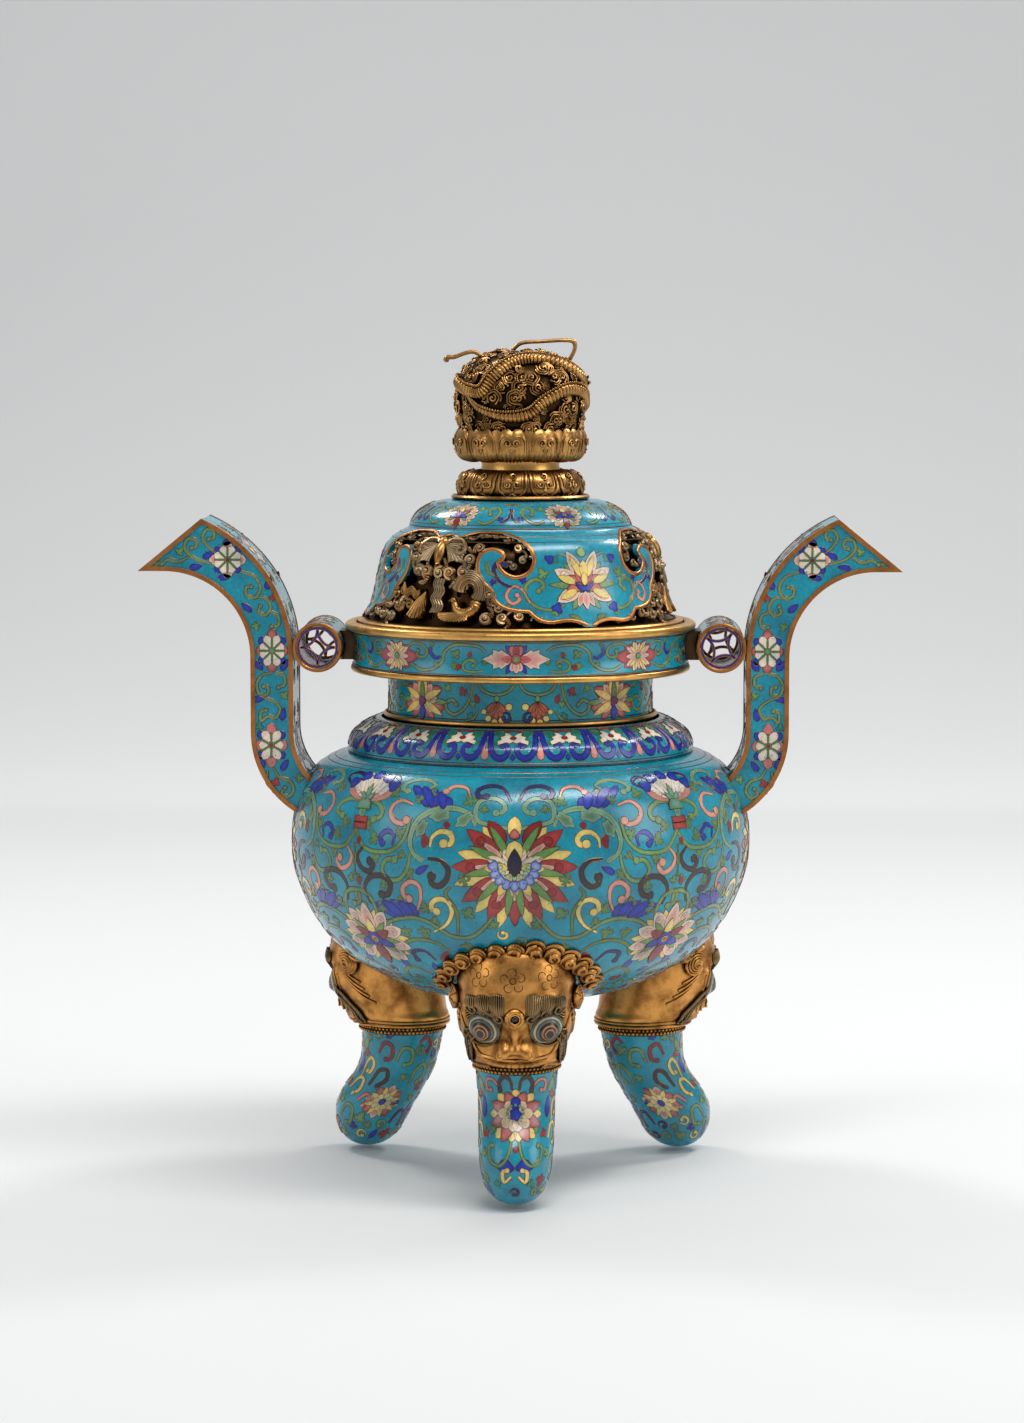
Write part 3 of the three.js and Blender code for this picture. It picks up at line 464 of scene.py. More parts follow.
class Round:
    """A turned surface: u in degrees from the front, v in millimetres along its outline."""

    def __init__(self, outline):
        run = np.asarray(outline, float)
        self.r, self.z = run.T
        self.s = np.concatenate([[0], np.cumsum(np.hypot(*np.diff(run, axis=0).T))])
        dr, dz = np.gradient(self.r, self.s), np.gradient(self.z, self.s)
        size = np.hypot(dr, dz)
        self.nr, self.nz = dz / size, -dr / size

    def along(self, z):
        return np.interp(z, self.z, self.s)

    def radius(self, v):
        return np.interp(v, self.s, self.r)

    def local(self, u, z, u0, v0):
        """Where a heading and a height lie, seen from a spot."""
        v = self.along(np.asarray(z, float))
        return np.stack([np.radians(np.asarray(u, float) - u0) * self.radius(v), v - v0], 1)

    def point(self, a, v, lift):
        """The places at angles in radians and lengths along the outline, lifted off the surface."""
        r = self.radius(v) + lift * np.interp(v, self.s, self.nr)
        z = np.interp(v, self.s, self.z) + lift * np.interp(v, self.s, self.nz)
        return np.stack([r * np.sin(a), -r * np.cos(a), z], 1)

    def place(self, u0, v0, xy, lift):
        v = v0 + xy[:, 1]
        return self.point(math.radians(u0) + xy[:, 0] / np.maximum(self.radius(v), 1), v, lift)


class Face:
    """An upright plane that looks to -Y: u is X and v is Z."""

    def __init__(self, y):
        self.y = y

    def along(self, z):
        return z

    def local(self, u, z, u0, v0):
        return np.stack([np.asarray(u, float) - u0, np.asarray(z, float) - v0], 1)

    def place(self, u0, v0, xy, lift):
        x, z = u0 + xy[:, 0], v0 + xy[:, 1]
        return np.stack([x, np.full_like(x, self.y) - lift, z], 1)


class Strip:
    """The side of a plate that follows a run in X and Z: u is Y and v the length along the run."""

    def __init__(self, outline):
        run = np.asarray(outline, float)
        self.x, self.z = run.T
        self.s = np.concatenate([[0], np.cumsum(np.hypot(*np.diff(run, axis=0).T))])
        self.dx, self.dz = np.gradient(self.x, self.s), np.gradient(self.z, self.s)

    def along(self, v):
        return v

    def place(self, u0, v0, xy, lift):
        v = v0 + xy[:, 1]
        dx, dz = np.interp(v, self.s, self.dx), np.interp(v, self.s, self.dz)
        x = np.interp(v, self.s, self.x) + lift * dz
        z = np.interp(v, self.s, self.z) - lift * dx
        return np.stack([x, u0 + xy[:, 0], z], 1)


def stacked_faces(count, sides):
    """The faces round a stack of rings, and those that close both its ends."""
    faces = [list(range(sides))[::-1], list(range((count - 1) * sides, count * sides))]
    for k in range(count - 1):
        for i in range(sides):
            j = (i + 1) % sides
            faces.append([k * sides + i, k * sides + j, (k + 1) * sides + j, (k + 1) * sides + i])
    return faces


class Lofted:
    """An upright oval form: u in degrees from the front, v is the height. A section gives its height, its
    middle's distance in front of the axis, half its depth and half its width."""

    def __init__(self, sections):
        self.run = run_through(sections, 6)

    def at(self, v):
        return [np.interp(v, self.run[:, 0], self.run[:, k]) for k in (1, 2, 3)]

    def along(self, z):
        return z

    def local(self, u, z, u0, v0):
        z = np.asarray(z, float)
        return np.stack([np.radians(np.asarray(u, float) - u0) * self.radius(z), z - v0], 1)

    def radius(self, v):
        _, depth, width = self.at(v)
        return (depth + width) / 2

    def point(self, a, v):
        front, depth, width = self.at(v)
        return np.stack([width * np.sin(a), -front - depth * np.cos(a), v], 1)

    def normal(self, a, v):
        across = self.point(a + 0.01, v) - self.point(a - 0.01, v)
        up = self.point(a, v + 0.2) - self.point(a, v - 0.2)
        normal = np.cross(across, up)
        return normal / np.linalg.norm(normal, axis=1)[:, None]

    def place(self, u0, v0, xy, lift):
        v = v0 + xy[:, 1]
        a = math.radians(u0) + xy[:, 0] / self.radius(v)
        return self.point(a, v) + self.normal(a, v) * np.broadcast_to(lift, a.shape)[:, None]

    def piece(self, name, sides=72):
        """The form itself, closed at both ends."""
        angles = np.linspace(0, math.tau, sides, endpoint=False)
        rings = [self.point(angles, np.full(sides, v)) for v in self.run[:, 0]]
        made = mesh_piece(name, np.vstack(rings), stacked_faces(len(rings), sides))
        smooth_shade(made, 40)
        return made


# Smooth forms


def ring_outline(inside, outside, bottom, top, edge):
    """A ring's section with rounded outer edges."""
    turn = np.linspace(-90, 0, 5)
    low = [(outside - edge + edge * math.cos(math.radians(a)),
            bottom + edge + edge * math.sin(math.radians(a))) for a in turn]
    high = [(r, bottom + top - z) for r, z in low[::-1]]
    return [(inside, bottom), *low, *high, (inside, top)]


bowl_run = run_through(
    [(0, 88), (30, 90.5), (60, 97), (78, 105.8), (92.5, 115), (102.4, 125.4), (110, 137.2), (115.5, 150),
     (118.3, 160), (119.0, 170), (118.7, 182), (117.2, 191.5), (115.6, 197), (112.8, 203), (109, 208.5),
     (104.2, 213.2), (99.4, 216), (94, 218.2), (91, 219)], 3)
shoulder_run = run_through(
    [(89.9, 219.4), (89.9, 223.5), (88, 228.5), (84, 232), (79, 235.2), (73.5, 237)], 5)
band_run = np.array([(86 + 1.7 * abs(2 * t - 1) ** 2.5, 264.7 + 17.4 * t) for t in np.linspace(0, 1, 13)])
neck_run = np.array([(68.8, 237.3), (68.8, 243), (68.8, 249), (68.8, 255), (68.8, 260.7)])
dome_run = run_through(
    [(82.9, 288.8), (81.4, 290.4), (77.6, 298), (75.4, 306), (73.6, 315), (70.9, 324.5), (66.8, 330.6),
     (61.5, 334), (58.6, 335.4)], 4)
cap_run = run_through(
    [(58.6, 335.4), (57.6, 336.8), (57, 338.6), (54.6, 342.3), (50, 346), (44, 348.8), (36, 349.9), (20, 349.9)], 3)


def wall_outline(run, wall):
    """The section of a wall of even thickness behind a run."""
    inner = inward(run, wall)
    inner[0, 1], inner[-1, 1] = run[0][1], run[-1][1]
    return [*map(tuple, run), *map(tuple, inner[::-1])]


def shell(name, run, wall, node):
    """A turned enamelled wall of the vessel."""
    piece = turned_piece(name, wall_outline(run, wall))
    colour_all(piece, TURQUOISE)
    finish(piece, enamel, "vessel", "enamel", node)


bowl_inner = inward(bowl_run, 3)
bowl_outline = [(0, 88), *map(tuple, bowl_run[1:]), (85.4, 219)]
bowl_outline += [tuple(p) for p in bowl_inner[::-1] if p[1] < 217.5 and p[0] > 1] + [(0, 91)]
bowl = turned_piece("bowl_body", bowl_outline)
colour_all(bowl, TURQUOISE)
finish(bowl, enamel, "vessel", "enamel", "bowl")
bowl_tool = turned_piece("bowl_tool", [(0, 87.9), *[(r + 0.1, z) for r, z in bowl_run[1:]], (91.1, 219.3),
                                       (0, 219.3)], 96)

shell("shoulder_body", shoulder_run, 3, "shoulder_collar")
shell("neck_body", neck_run, 3, "neck")
shell("band_body", band_run, 2.8, "rim_band")
moulding = turned_piece("neck_foot_ring", [
    (70.3 + 1.15 * math.cos(a), 238.6 + 1.25 * math.sin(a)) for a in np.linspace(0, math.tau, 12, endpoint=False)])
finish(moulding, rim_gilt, "vessel", "gilt_bronze", "neck_moulding")
floor_ring = turned_piece("floor_ring", ring_outline(62.5, 88.4, 261, 264.4, 1.5))
finish(floor_ring, rim_gilt, "vessel", "gilt_bronze", "rim_floor_ring")
top_ring = turned_piece("top_ring", [
    (80, 282.4), (89.6, 282.4), (90.8, 283.1), (91.2, 284.2), (91.2, 285.4), (90.6, 286.3), (89.6, 286.8),
    (86.2, 286.8), (85.4, 286.3), (85.3, 283.9), (80, 283.9)])
finish(top_ring, rim_gilt, "vessel", "gilt_bronze", "rim_top_ring")
flange = turned_piece("flange_ring", [
    (76.5, 275.2), (79.2, 275.2), (79.2, 284.2), (84.6, 284.2), (84.6, 287.4), (83.9, 288.2), (82.8, 288.4),
    (76.5, 288.4)])
finish(flange, rim_gilt, "cover", "gilt_bronze", "cover_flange")
pan = turned_piece("pan", [
    (0, 214.3), (45.5, 214.3), (54, 217.4), (59.6, 222.8), (61.5, 230.3), (61.5, 264.7), (66.4, 264.7),
    (66.4, 266.1), (60.1, 266.1), (60.1, 230.4), (58.3, 223.8), (53.2, 218.8), (45.2, 215.7), (0, 215.7)], 144)
finish(pan, copper, "liner", "copper", "fire_pan")
plate = turned_piece("plate", [(3.4, 350.2), (35, 350.2), (35.9, 350.8), (36, 351.5), (35.2, 352.4), (3.4, 352.4)])
finish(plate, finial_gilt, "cover", "gilt_bronze", "finial_plate")
waist = turned_piece("waist", [
    (3.4, 365), (20.2, 365), (20.5, 365.5), (20.1, 367.6), (20.5, 369.8), (20.2, 370.2), (3.4, 370.2)], 96)
finish(waist, rim_gilt, "cover", "gilt_bronze", "finial_waist")

LEG_SECTIONS = [
    (0.02, 96.5, 6, 6), (1.6, 96.3, 10, 9.5), (5, 96, 14.3, 13.2), (10, 95.2, 17.8, 16), (16, 94, 20, 17.6),
    (22, 92, 21.5, 18.4), (28, 88.8, 22.3, 18.9), (34, 84.8, 22, 19.1), (41, 79.8, 21.1, 19.3),
    (48, 76.6, 20.9, 19.5),
    (56, 74.9, 21.3, 20.1), (64.4, 74, 22.1, 20.9)]
leg_form = Lofted(LEG_SECTIONS)
front_leg = leg_form.piece("leg_front_body")
colour_all(front_leg, TURQUOISE)


def finish_at_legs(*rows):
    """Finishes pieces made at the front leg, and their copies at the other two."""
    for i, name in enumerate(("front", "right", "left")):
        for source, material, slot, node in rows:
            piece = source if i == 0 else copy_of(source, source.name.replace("front", name), 120 * i)
            finish(piece, material, "vessel", slot, *([node + name] if node else []))


finish_at_legs((front_leg, enamel, "enamel", "leg_"))


# Gathering points and faces of many small forms into one piece


class Gather:
    """The points, faces and colours of many small forms."""

    def __init__(self):
        self.points, self.faces, self.colours, self.count = [], [], [], 0

    def add(self, points, faces, colours=None):
        self.points.append(points)
        self.faces += [[k + self.count for k in face] for face in faces]
        if colours is not None:
            self.colours.append(np.broadcast_to(colours, (len(points), 3)))
        self.count += len(points)

    def piece(self, name, degrees=50):
        made = mesh_piece(name, np.vstack(self.points), self.faces)
        if self.colours:
            layer = made.data.color_attributes.new("enamel", "FLOAT_COLOR", "POINT")
            colours = np.vstack(self.colours)
            full = np.ones((len(colours), 4), np.float32)
            full[:, :3] = colours
            layer.data.foreach_set("color", full.ravel())
        smooth_shade(made, degrees)
        return made

    def turned_copies(self, turns):
        """Adds copies of all that is gathered, turned about the vessel's axis."""
        points, faces = np.vstack(self.points), list(self.faces)
        colours = np.vstack(self.colours) if self.colours else None
        for turn in turns:
            c, s = math.cos(math.radians(turn)), math.sin(math.radians(turn))
            self.add(points @ np.array([[c, s, 0], [-s, c, 0], [0, 0, 1]]), faces, colours)


def tube_faces(rings, sides):
    """The faces of a tube whose first and last points close its ends."""
    faces = []
    first, last = rings * sides, rings * sides + 1
    for i in range(sides):
        j = (i + 1) % sides
        faces.append([first, j, i])
        faces.append([last, (rings - 1) * sides + i, (rings - 1) * sides + j])
        for k in range(rings - 1):
            a, b = k * sides, (k + 1) * sides
            faces.append([a + i, a + j, b + j, b + i])
    return faces


def rod_points(path, across, up, radii, sides, flat):
    """Rings of points round a path, with a point at each end."""
    angles = np.linspace(0, math.tau, sides, endpoint=False)
    ring = np.cos(angles)[None, :, None] * across[:, None, :] + flat * np.sin(angles)[None, :, None] * up[:, None, :]
    points = path[:, None, :] + np.asarray(radii, float)[:, None, None] * ring
    along = path[1] - path[0], path[-1] - path[-2]
    ends = [path[0] - along[0] / max(np.linalg.norm(along[0]), 1e-6) * radii[0] * 0.6,
            path[-1] + along[1] / max(np.linalg.norm(along[1]), 1e-6) * radii[-1] * 0.6]
    return np.vstack([points.reshape(-1, 3), ends])


def add_rod(gather, path, radii, sides):
    """A free round rod along a path in space."""
    path = np.asarray(path, float)
    radii = np.broadcast_to(radii, len(path)).astype(float)
    along = np.gradient(path, axis=0)
    along /= np.linalg.norm(along, axis=1)[:, None]
    up = np.array([0.0, 0.0, 1.0]) if abs(along[0][2]) < 0.9 else np.array([0.0, 1.0, 0.0])
    ups = []
    for a in along:
        up = up - a * np.dot(up, a)
        up /= np.linalg.norm(up)
        ups.append(up)
    up = np.array(ups)
    across = np.cross(along, up)
    gather.add(rod_points(path, across, up, radii, sides, 1.0), tube_faces(len(path), sides))


def ball_form(rings=5, sides=8):
    """Points and faces of a small round ball."""
    tilt = np.linspace(-90, 90, rings + 2)[1:-1]
    points = [(math.cos(math.radians(t)) * math.cos(a), math.cos(math.radians(t)) * math.sin(a),
               math.sin(math.radians(t)))
              for t in tilt for a in np.linspace(0, math.tau, sides, endpoint=False)]
    return np.array(points + [(0, 0, -1), (0, 0, 1)]), tube_faces(rings, sides)


BALL = ball_form()
FINE_BALL = ball_form(9, 16)


def spiral(x, y, radius, start, sweep, shrink=0.78, steps=None):
    """A run that winds from its tail, at a start angle, in to its eye."""
    steps = steps or max(8, int(abs(sweep) / 20))
    t = np.linspace(0, 1, steps)
    angle = np.radians(start + sweep * t)
    r = radius * (1 - shrink * t)
    return np.stack([x + r * np.cos(angle), y + r * np.sin(angle)], 1)


class Relief:
    """Raised work on a surface round a spot: ropes, pads and balls."""

    def __init__(self, surface, u0, v0, gather, mirror=1):
        self.surface, self.u0, self.v0, self.gather, self.mirror = surface, u0, v0, gather, mirror

    def at(self, xy, lift):
        xy = np.asarray(xy, float) * (self.mirror, 1)
        return self.surface.place(self.u0, self.v0, xy, lift)

    def rope(self, xy, radius, lift=0.0, sides=6, flat=1.0):
        xy = np.asarray(xy, float)
        lift = np.broadcast_to(lift, len(xy)).astype(float)
        path, above = self.at(xy, lift), self.at(xy, lift + 1)
        up = above - path
        along = np.gradient(path, axis=0)
        across = np.cross(along, up)
        across /= np.maximum(np.linalg.norm(across, axis=1), 1e-9)[:, None]
        radii = np.broadcast_to(radius, len(path)).astype(float)
        self.gather.add(rod_points(path, across, up, radii, sides, flat), tube_faces(len(path), sides))

    def curl(self, x, y, radius, start, sweep, thick, lift=0.0, sides=6, flat=1.0, shrink=0.78, rise=0.0):
        run = spiral(x, y, radius, start, sweep, shrink)
        t = np.linspace(0, 1, len(run))
        self.rope(run, thick * (0.55 + 0.45 * np.sin(math.pi * np.minimum(t + 0.15, 1) * 0.75)), lift + rise * t,
                  sides, flat)

    def ball(self, x, y, radius, lift=0.0, tall=1.0, form=None):
        form, faces = form or BALL
        middle = self.at([(x, y)], lift)[0]
        up = self.at([(x, y)], lift + 1)[0] - middle
        side = self.at([(x + 0.1, y)], lift)[0] - middle
        side /= np.linalg.norm(side)
        third = np.cross(up, side)
        size = np.broadcast_to(radius, 2).astype(float)
        points = middle + form[:, :1] * side * size[0] + form[:, 1:2] * third * size[1] + form[:,
            2:] * up * size.max() * tall
        self.gather.add(points, faces)

    def pad(self, outline, lift, bulge):
        """A cushion over an outline, with a skirt that goes down into the surface."""
        p = np.asarray(outline, float)
        middle = p.mean(0)
        n = len(p)
        rings = [(1.0, lift - 1), (1.0, lift), (0.8, lift + 0.55 * bulge), (0.45, lift + 0.9 * bulge)]
        points = np.vstack([self.at(middle + (p - middle) * share, height) for share, height in rings])
        points = np.vstack([points, self.at([middle], lift + bulge)])
        faces = [[4 * n, 3 * n + i, 3 * n + (i + 1) % n] for i in range(n)]
        faces += [[k * n + i, k * n + (i + 1) % n, (k + 1) * n + (i + 1) % n, (k + 1) * n + i]
                  for k in range(3) for i in range(n)]
        faces.append(list(range(n))[::-1])
        self.gather.add(points, faces)


def closed_relief(gather, name, degrees=45):
    """The piece of some gathered relief, all its faces outwards."""
    made = gather.piece(name, degrees)
    faces_outwards(made)
    return made


# Cover


def quadratic(start, middle, end):
    """Six points of a bend from a start, drawn towards a middle."""
    t = np.linspace(0, 1, 6, endpoint=False)[:, None]
    start, middle, end = (np.array(p, float) for p in (start, middle, end))
    return (1 - t) ** 2 * start + 2 * t * (1 - t) * middle + t**2 * end


DOME_FOOT = 288.7
WINDOW_TURNS = (-33, 87, 207)


def window_half():
    """Half a window's outline, in degrees from its middle and millimetres over the dome's foot."""
    corners = [
        ((5.5, 43.6), (17, 49.4), (30, 45)), ((30, 45), (39.5, 41), (39.4, 33)),
        ((39.4, 33), (38.5, 26), (32.4, 25.6)),
        ((32.4, 25.6), (27.5, 26.5), (25.8, 32)), ((25.8, 32), (29.6, 35), (27, 38)),
        ((27, 38), (21.5, 41.5), (17.4, 36.5)),
        ((17.4, 36.5), (13.5, 27.5), (23, 17.3)), ((23, 17.3), (23.6, 7.5), (37.4, 7.4)),
        ((37.4, 7.4), (40.5, 1.8), (46, 2.1)),
        ((46, 2.1), (54, 4.6), (58.4, 0)),
    ]
    run = [np.array([[0, 45]])] + [quadratic(*corner) for corner in corners]
    return np.vstack([*run, [[58.4, 0]]])


def window_tool(turn):
    half = np.vstack([window_half(), [[58.4, -2], [40, -2], [20, -2], [0, -2]]])
    outline = np.vstack([half, (half * (-1, 1))[::-1][1:-1]])
    a = np.radians(outline[:, 0] + turn)
    ring = np.stack([np.sin(a), -np.cos(a)], 1)
    z = DOME_FOOT + outline[:, 1:]
    n = len(outline)
    points = np.vstack([np.hstack([ring * 30, z]), np.hstack([ring * 220, z])])
    faces = [list(range(n)), list(range(2 * n - 1, n - 1, -1))]
    faces += [[i, n + i, n + (i + 1) % n, (i + 1) % n] for i in range(n)]
    tool = mesh_piece("window_tool", points, faces)
    pick(tool)
    bpy.ops.object.mode_set(mode="EDIT")
    bpy.ops.mesh.select_all(action="SELECT")
    bpy.ops.mesh.quads_convert_to_tris()
    faces_outwards(tool)
    return tool


cover_run = np.vstack([dome_run, cap_run[1:]])
cover_inner = inward(cover_run, 2.4)
cover_inner[0, 1], cover_inner[-1, 1] = 288.8, 347.5
dome = turned_piece("dome_body", [*map(tuple, cover_run), (3.4, 349.9), (3.4, 347.5), *map(tuple, cover_inner[::-1])])
for turn in WINDOW_TURNS:
    tool = window_tool(turn)
    cut(dome, tool)
    delete(tool)
smooth_shade(dome, 35)
colour_all(dome, TURQUOISE)
finish(dome, enamel, "cover", "enamel", "cover_dome")


# Handles, with their edging, tubes and coins


def arc(centre, radius, start, end, steps):
    a = np.radians(np.linspace(start, end, steps))
    return np.stack([centre[0] + radius * np.cos(a), centre[1] + radius * np.sin(a)], 1)


HORN, TIP = np.array([164.0, 340.59]), np.array([197.0, 313.5])
SLANT = (TIP - HORN) / np.linalg.norm(TIP - HORN)
PLATE_HALF = 23.3
TUBE_X, TUBE_Z = 103.9, 274.5
TO_TUBE = Matrix.Translation((TUBE_X * MM, 0, TUBE_Z * MM))
COIN_REACH = 9.2


def handle_outline(inset):
    """The right handle's outline in X and Z, drawn in by an inset all round."""
    start = HORN + inset * np.array([SLANT[1], -SLANT[0]])
    to_centre = start - (195, 269)
    b, c = to_centre @ SLANT, to_centre @ to_centre - (78 - inset) ** 2
    horn = start + (-b - math.sqrt(b * b - c)) * SLANT
    tip = start + (313.5 + inset - start[1]) / SLANT[1] * SLANT
    horn_angle = math.degrees(math.atan2(horn[1] - 269, horn[0] - 195))
    return np.vstack([
        arc((195, 269), 78 - inset, horn_angle, 180, 28), arc((83, 230), 34 + inset, 0, -80, 22),
        arc((90, 230), 49 - inset, -72, 0, 26), arc((183.5, 269), 44.5 + inset, 180, 90, 24), tip])


def make_handle():
    outline = handle_outline(0.3)
    body = flat_piece("handle_right_body", [outline], -PLATE_HALF, PLATE_HALF)
    cut(body, bowl_tool)
    frames = []
    for side in (-1, 1):
        frame_piece = flat_piece("handle_frame", [handle_outline(0), handle_outline(2.4)], side * 22.3, side * 24)
        bevel(frame_piece, 0.25)
        cut(frame_piece, bowl_tool)
        frames.append(frame_piece)
    return body, join("handle_right_edging", frames)


def make_tube():
    body = turned_piece("tube_right_body", [(11, -27.6), (12.6, -27.6), (12.6, 27.6), (11, 27.6)], 64, "Y")
    outline = [(10.9, 26.9), (12.7, 26.9), (12.85, 27.3), (12.8, 28.6), (12.4, 29), (11.3, 29), (10.9, 28.6)]
    rings = [turned_piece("tube_ring", [(r, side * y) for r, y in outline], 64, "Y") for side in (-1, 1)]
    edging = join("tube_right_rings", rings)
    for piece in (body, edging):
        piece.data.transform(TO_TUBE)
    return body, edging


def make_coin(name, side, front, turn):
    """A pierced coin: a rim with four bars bowed towards the middle."""
    reach = COIN_REACH
    far, near = reach * math.sqrt(2), reach - 0.75
    half = math.degrees(math.acos((far**2 + reach**2 - near**2) / (2 * far * reach)))
    other = math.degrees(math.acos((far**2 + near**2 - reach**2) / (2 * far * near)))
    lens = np.vstack([arc((0, 0), reach, -half, half, 12), arc((far, 0), near, 180 - other, 180 + other, 12)[1:-1]])
    bar = reach + 0.75
    p = (2 * far - math.sqrt(4 * far**2 - 8 * (far**2 - bar**2))) / 4
    spread = math.degrees(math.atan2(p, far - p))
    side_run = arc((far, 0), bar, 180 - spread, 180 + spread, 9)[:-1]

    def turned(run, degrees):
        a = math.radians(degrees)
        return run @ np.array([[math.cos(a), math.sin(a)], [-math.sin(a), math.cos(a)]])

    eye = np.vstack([turned(side_run, 90 * k) for k in (0, 3, 2, 1)])
    holes = [turned(lens, 90 * k + turn) for k in range(4)] + [turned(eye, turn)]
    outline = arc((0, 0), 10.7, 0, 352.5, 48)
    shift = (side * TUBE_X, TUBE_Z)
    y = front * 27.5
    coin = flat_piece(name, [run + shift for run in (outline, *holes)], y - 0.8, y + 0.8)
    bevel(coin, 0.2)
    smooth_shade(coin, 40)
    return coin


handle, edging = make_handle()
tube, tube_rings = make_tube()
for piece in (handle, tube):
    colour_all(piece, TURQUOISE)
for side, mirror in (("right", False), ("left", True)):
    for source, word, material, slot in (
        (handle, "handle_{}_body", enamel, "enamel"), (edging, "handle_{}_edging", edge_gilt, "gilt_bronze"),
        (tube, "tube_{}_body", enamel, "enamel"), (tube_rings, "tube_{}_rings", edge_gilt, "gilt_bronze"),
    ):
        piece = copy_of(source, word.format(side), 0, True) if mirror else source
        smooth_shade(piece, 30)
        stands_for = {"handle_{}_body": "handle_", "tube_{}_body": "brace_tube_"}.get(word)
        finish(piece, material, "vessel", slot, *([stands_for + side] if stands_for else []))
    sign = -1 if mirror else 1
    for front, place in ((-1, "front"), (1, "back")):
        coin = make_coin(f"coin_{side}_{place}_pierced", sign, front, 45 if mirror else 10)
        finish(coin, edge_gilt, "vessel", "gilt_bronze", f"coin_{side}_{place}")


# Pierced gallery: ribbed clouds, a bat and a bird over a pierced sleeve whose dark colour is painted shade

gallery_form = Round(inward(dome_run, 1.9))
PER_DEGREE = 1.3


def in_window(degrees, rise, margin):
    """Whether a place lies inside a window, clear of its edge."""
    outline = np.vstack([window_half(), [[0, 0]]]) * (PER_DEGREE, 1.0)
    x, y = abs(degrees) * PER_DEGREE, rise
    inside = False
    nearest = 1e9
    for (x0, y0), (x1, y1) in zip(outline, np.roll(outline, -1, axis=0)):
        if (y0 > y) != (y1 > y) and x < x0 + (y - y0) * (x1 - x0) / (y1 - y0):
            inside = not inside
        if x0 > 0.5 or x1 > 0.5:
            dx, dy = x1 - x0, y1 - y0
            t = min(max(((x - x0) * dx + (y - y0) * dy) / max(dx * dx + dy * dy, 1e-9), 0), 1)
            nearest = min(nearest, math.hypot(x - x0 - t * dx, y - y0 - t * dy))
    return inside and nearest > margin


def at_window(gather, degrees, rise, mirror=1):
    """A spot in the first window, in degrees from its middle and millimetres over the dome's foot."""
    v = float(gallery_form.along(DOME_FOOT + rise))
    return Relief(gallery_form, WINDOW_TURNS[0] + degrees, v, gather, mirror)


def snail(spot, size, turn, hand, lift, tail):
    """A cloud: a coiled head with a ball in it, and a ribbed tail that thins away."""
    a = math.radians(turn)
    turned = np.array([[math.cos(a), math.sin(a)], [-math.sin(a), math.cos(a)]])
    coil = spiral(0, 0, 0.43 * size, 30, -500, 0.74, 20)
    t = np.linspace(0, 1, 20)
    spot.ball(0, 0, 0.44 * size, lift - 0.1 * size, 0.5, FINE_BALL)
    spot.rope(coil * (1, hand) @ turned, 0.15 * size * (1.15 - 0.4 * t), lift + 0.22 * size * t, 6)
    spot.ball(0, 0, 0.17 * size, lift + 0.26 * size)
    run = run_through(np.array([(0.3, 0.3), (0.72, 0.42), (1.05, 0.26), (1.3, -0.06)]) * size * (1, hand) * tail, 5)
    ribs = np.where(np.arange(len(run)) % 2 == 0, 0.76, 1.0)
    spot.rope(run @ turned, size * np.linspace(0.33, 0.13, len(run)) * ribs, lift + 0.02 * size, 8, 0.9)


def fan(spot, root, ends, thick, lift, bow):
    """Fine ribs that spread from a root over a thin web."""
    root, ends = np.array(root, float), run_through(ends, 3)
    spot.pad(np.vstack([root, ends]), lift - 0.5, 0.4)
    for k, end in enumerate(ends):
        side = (end - root)[::-1] * (-1, 1) * bow
        run = run_through([root, (root + end) / 2 + side, end], 4)
        spot.rope(run, thick * np.linspace(0.75, 1.05, len(run)), lift + 0.3 * (k % 2), 5)


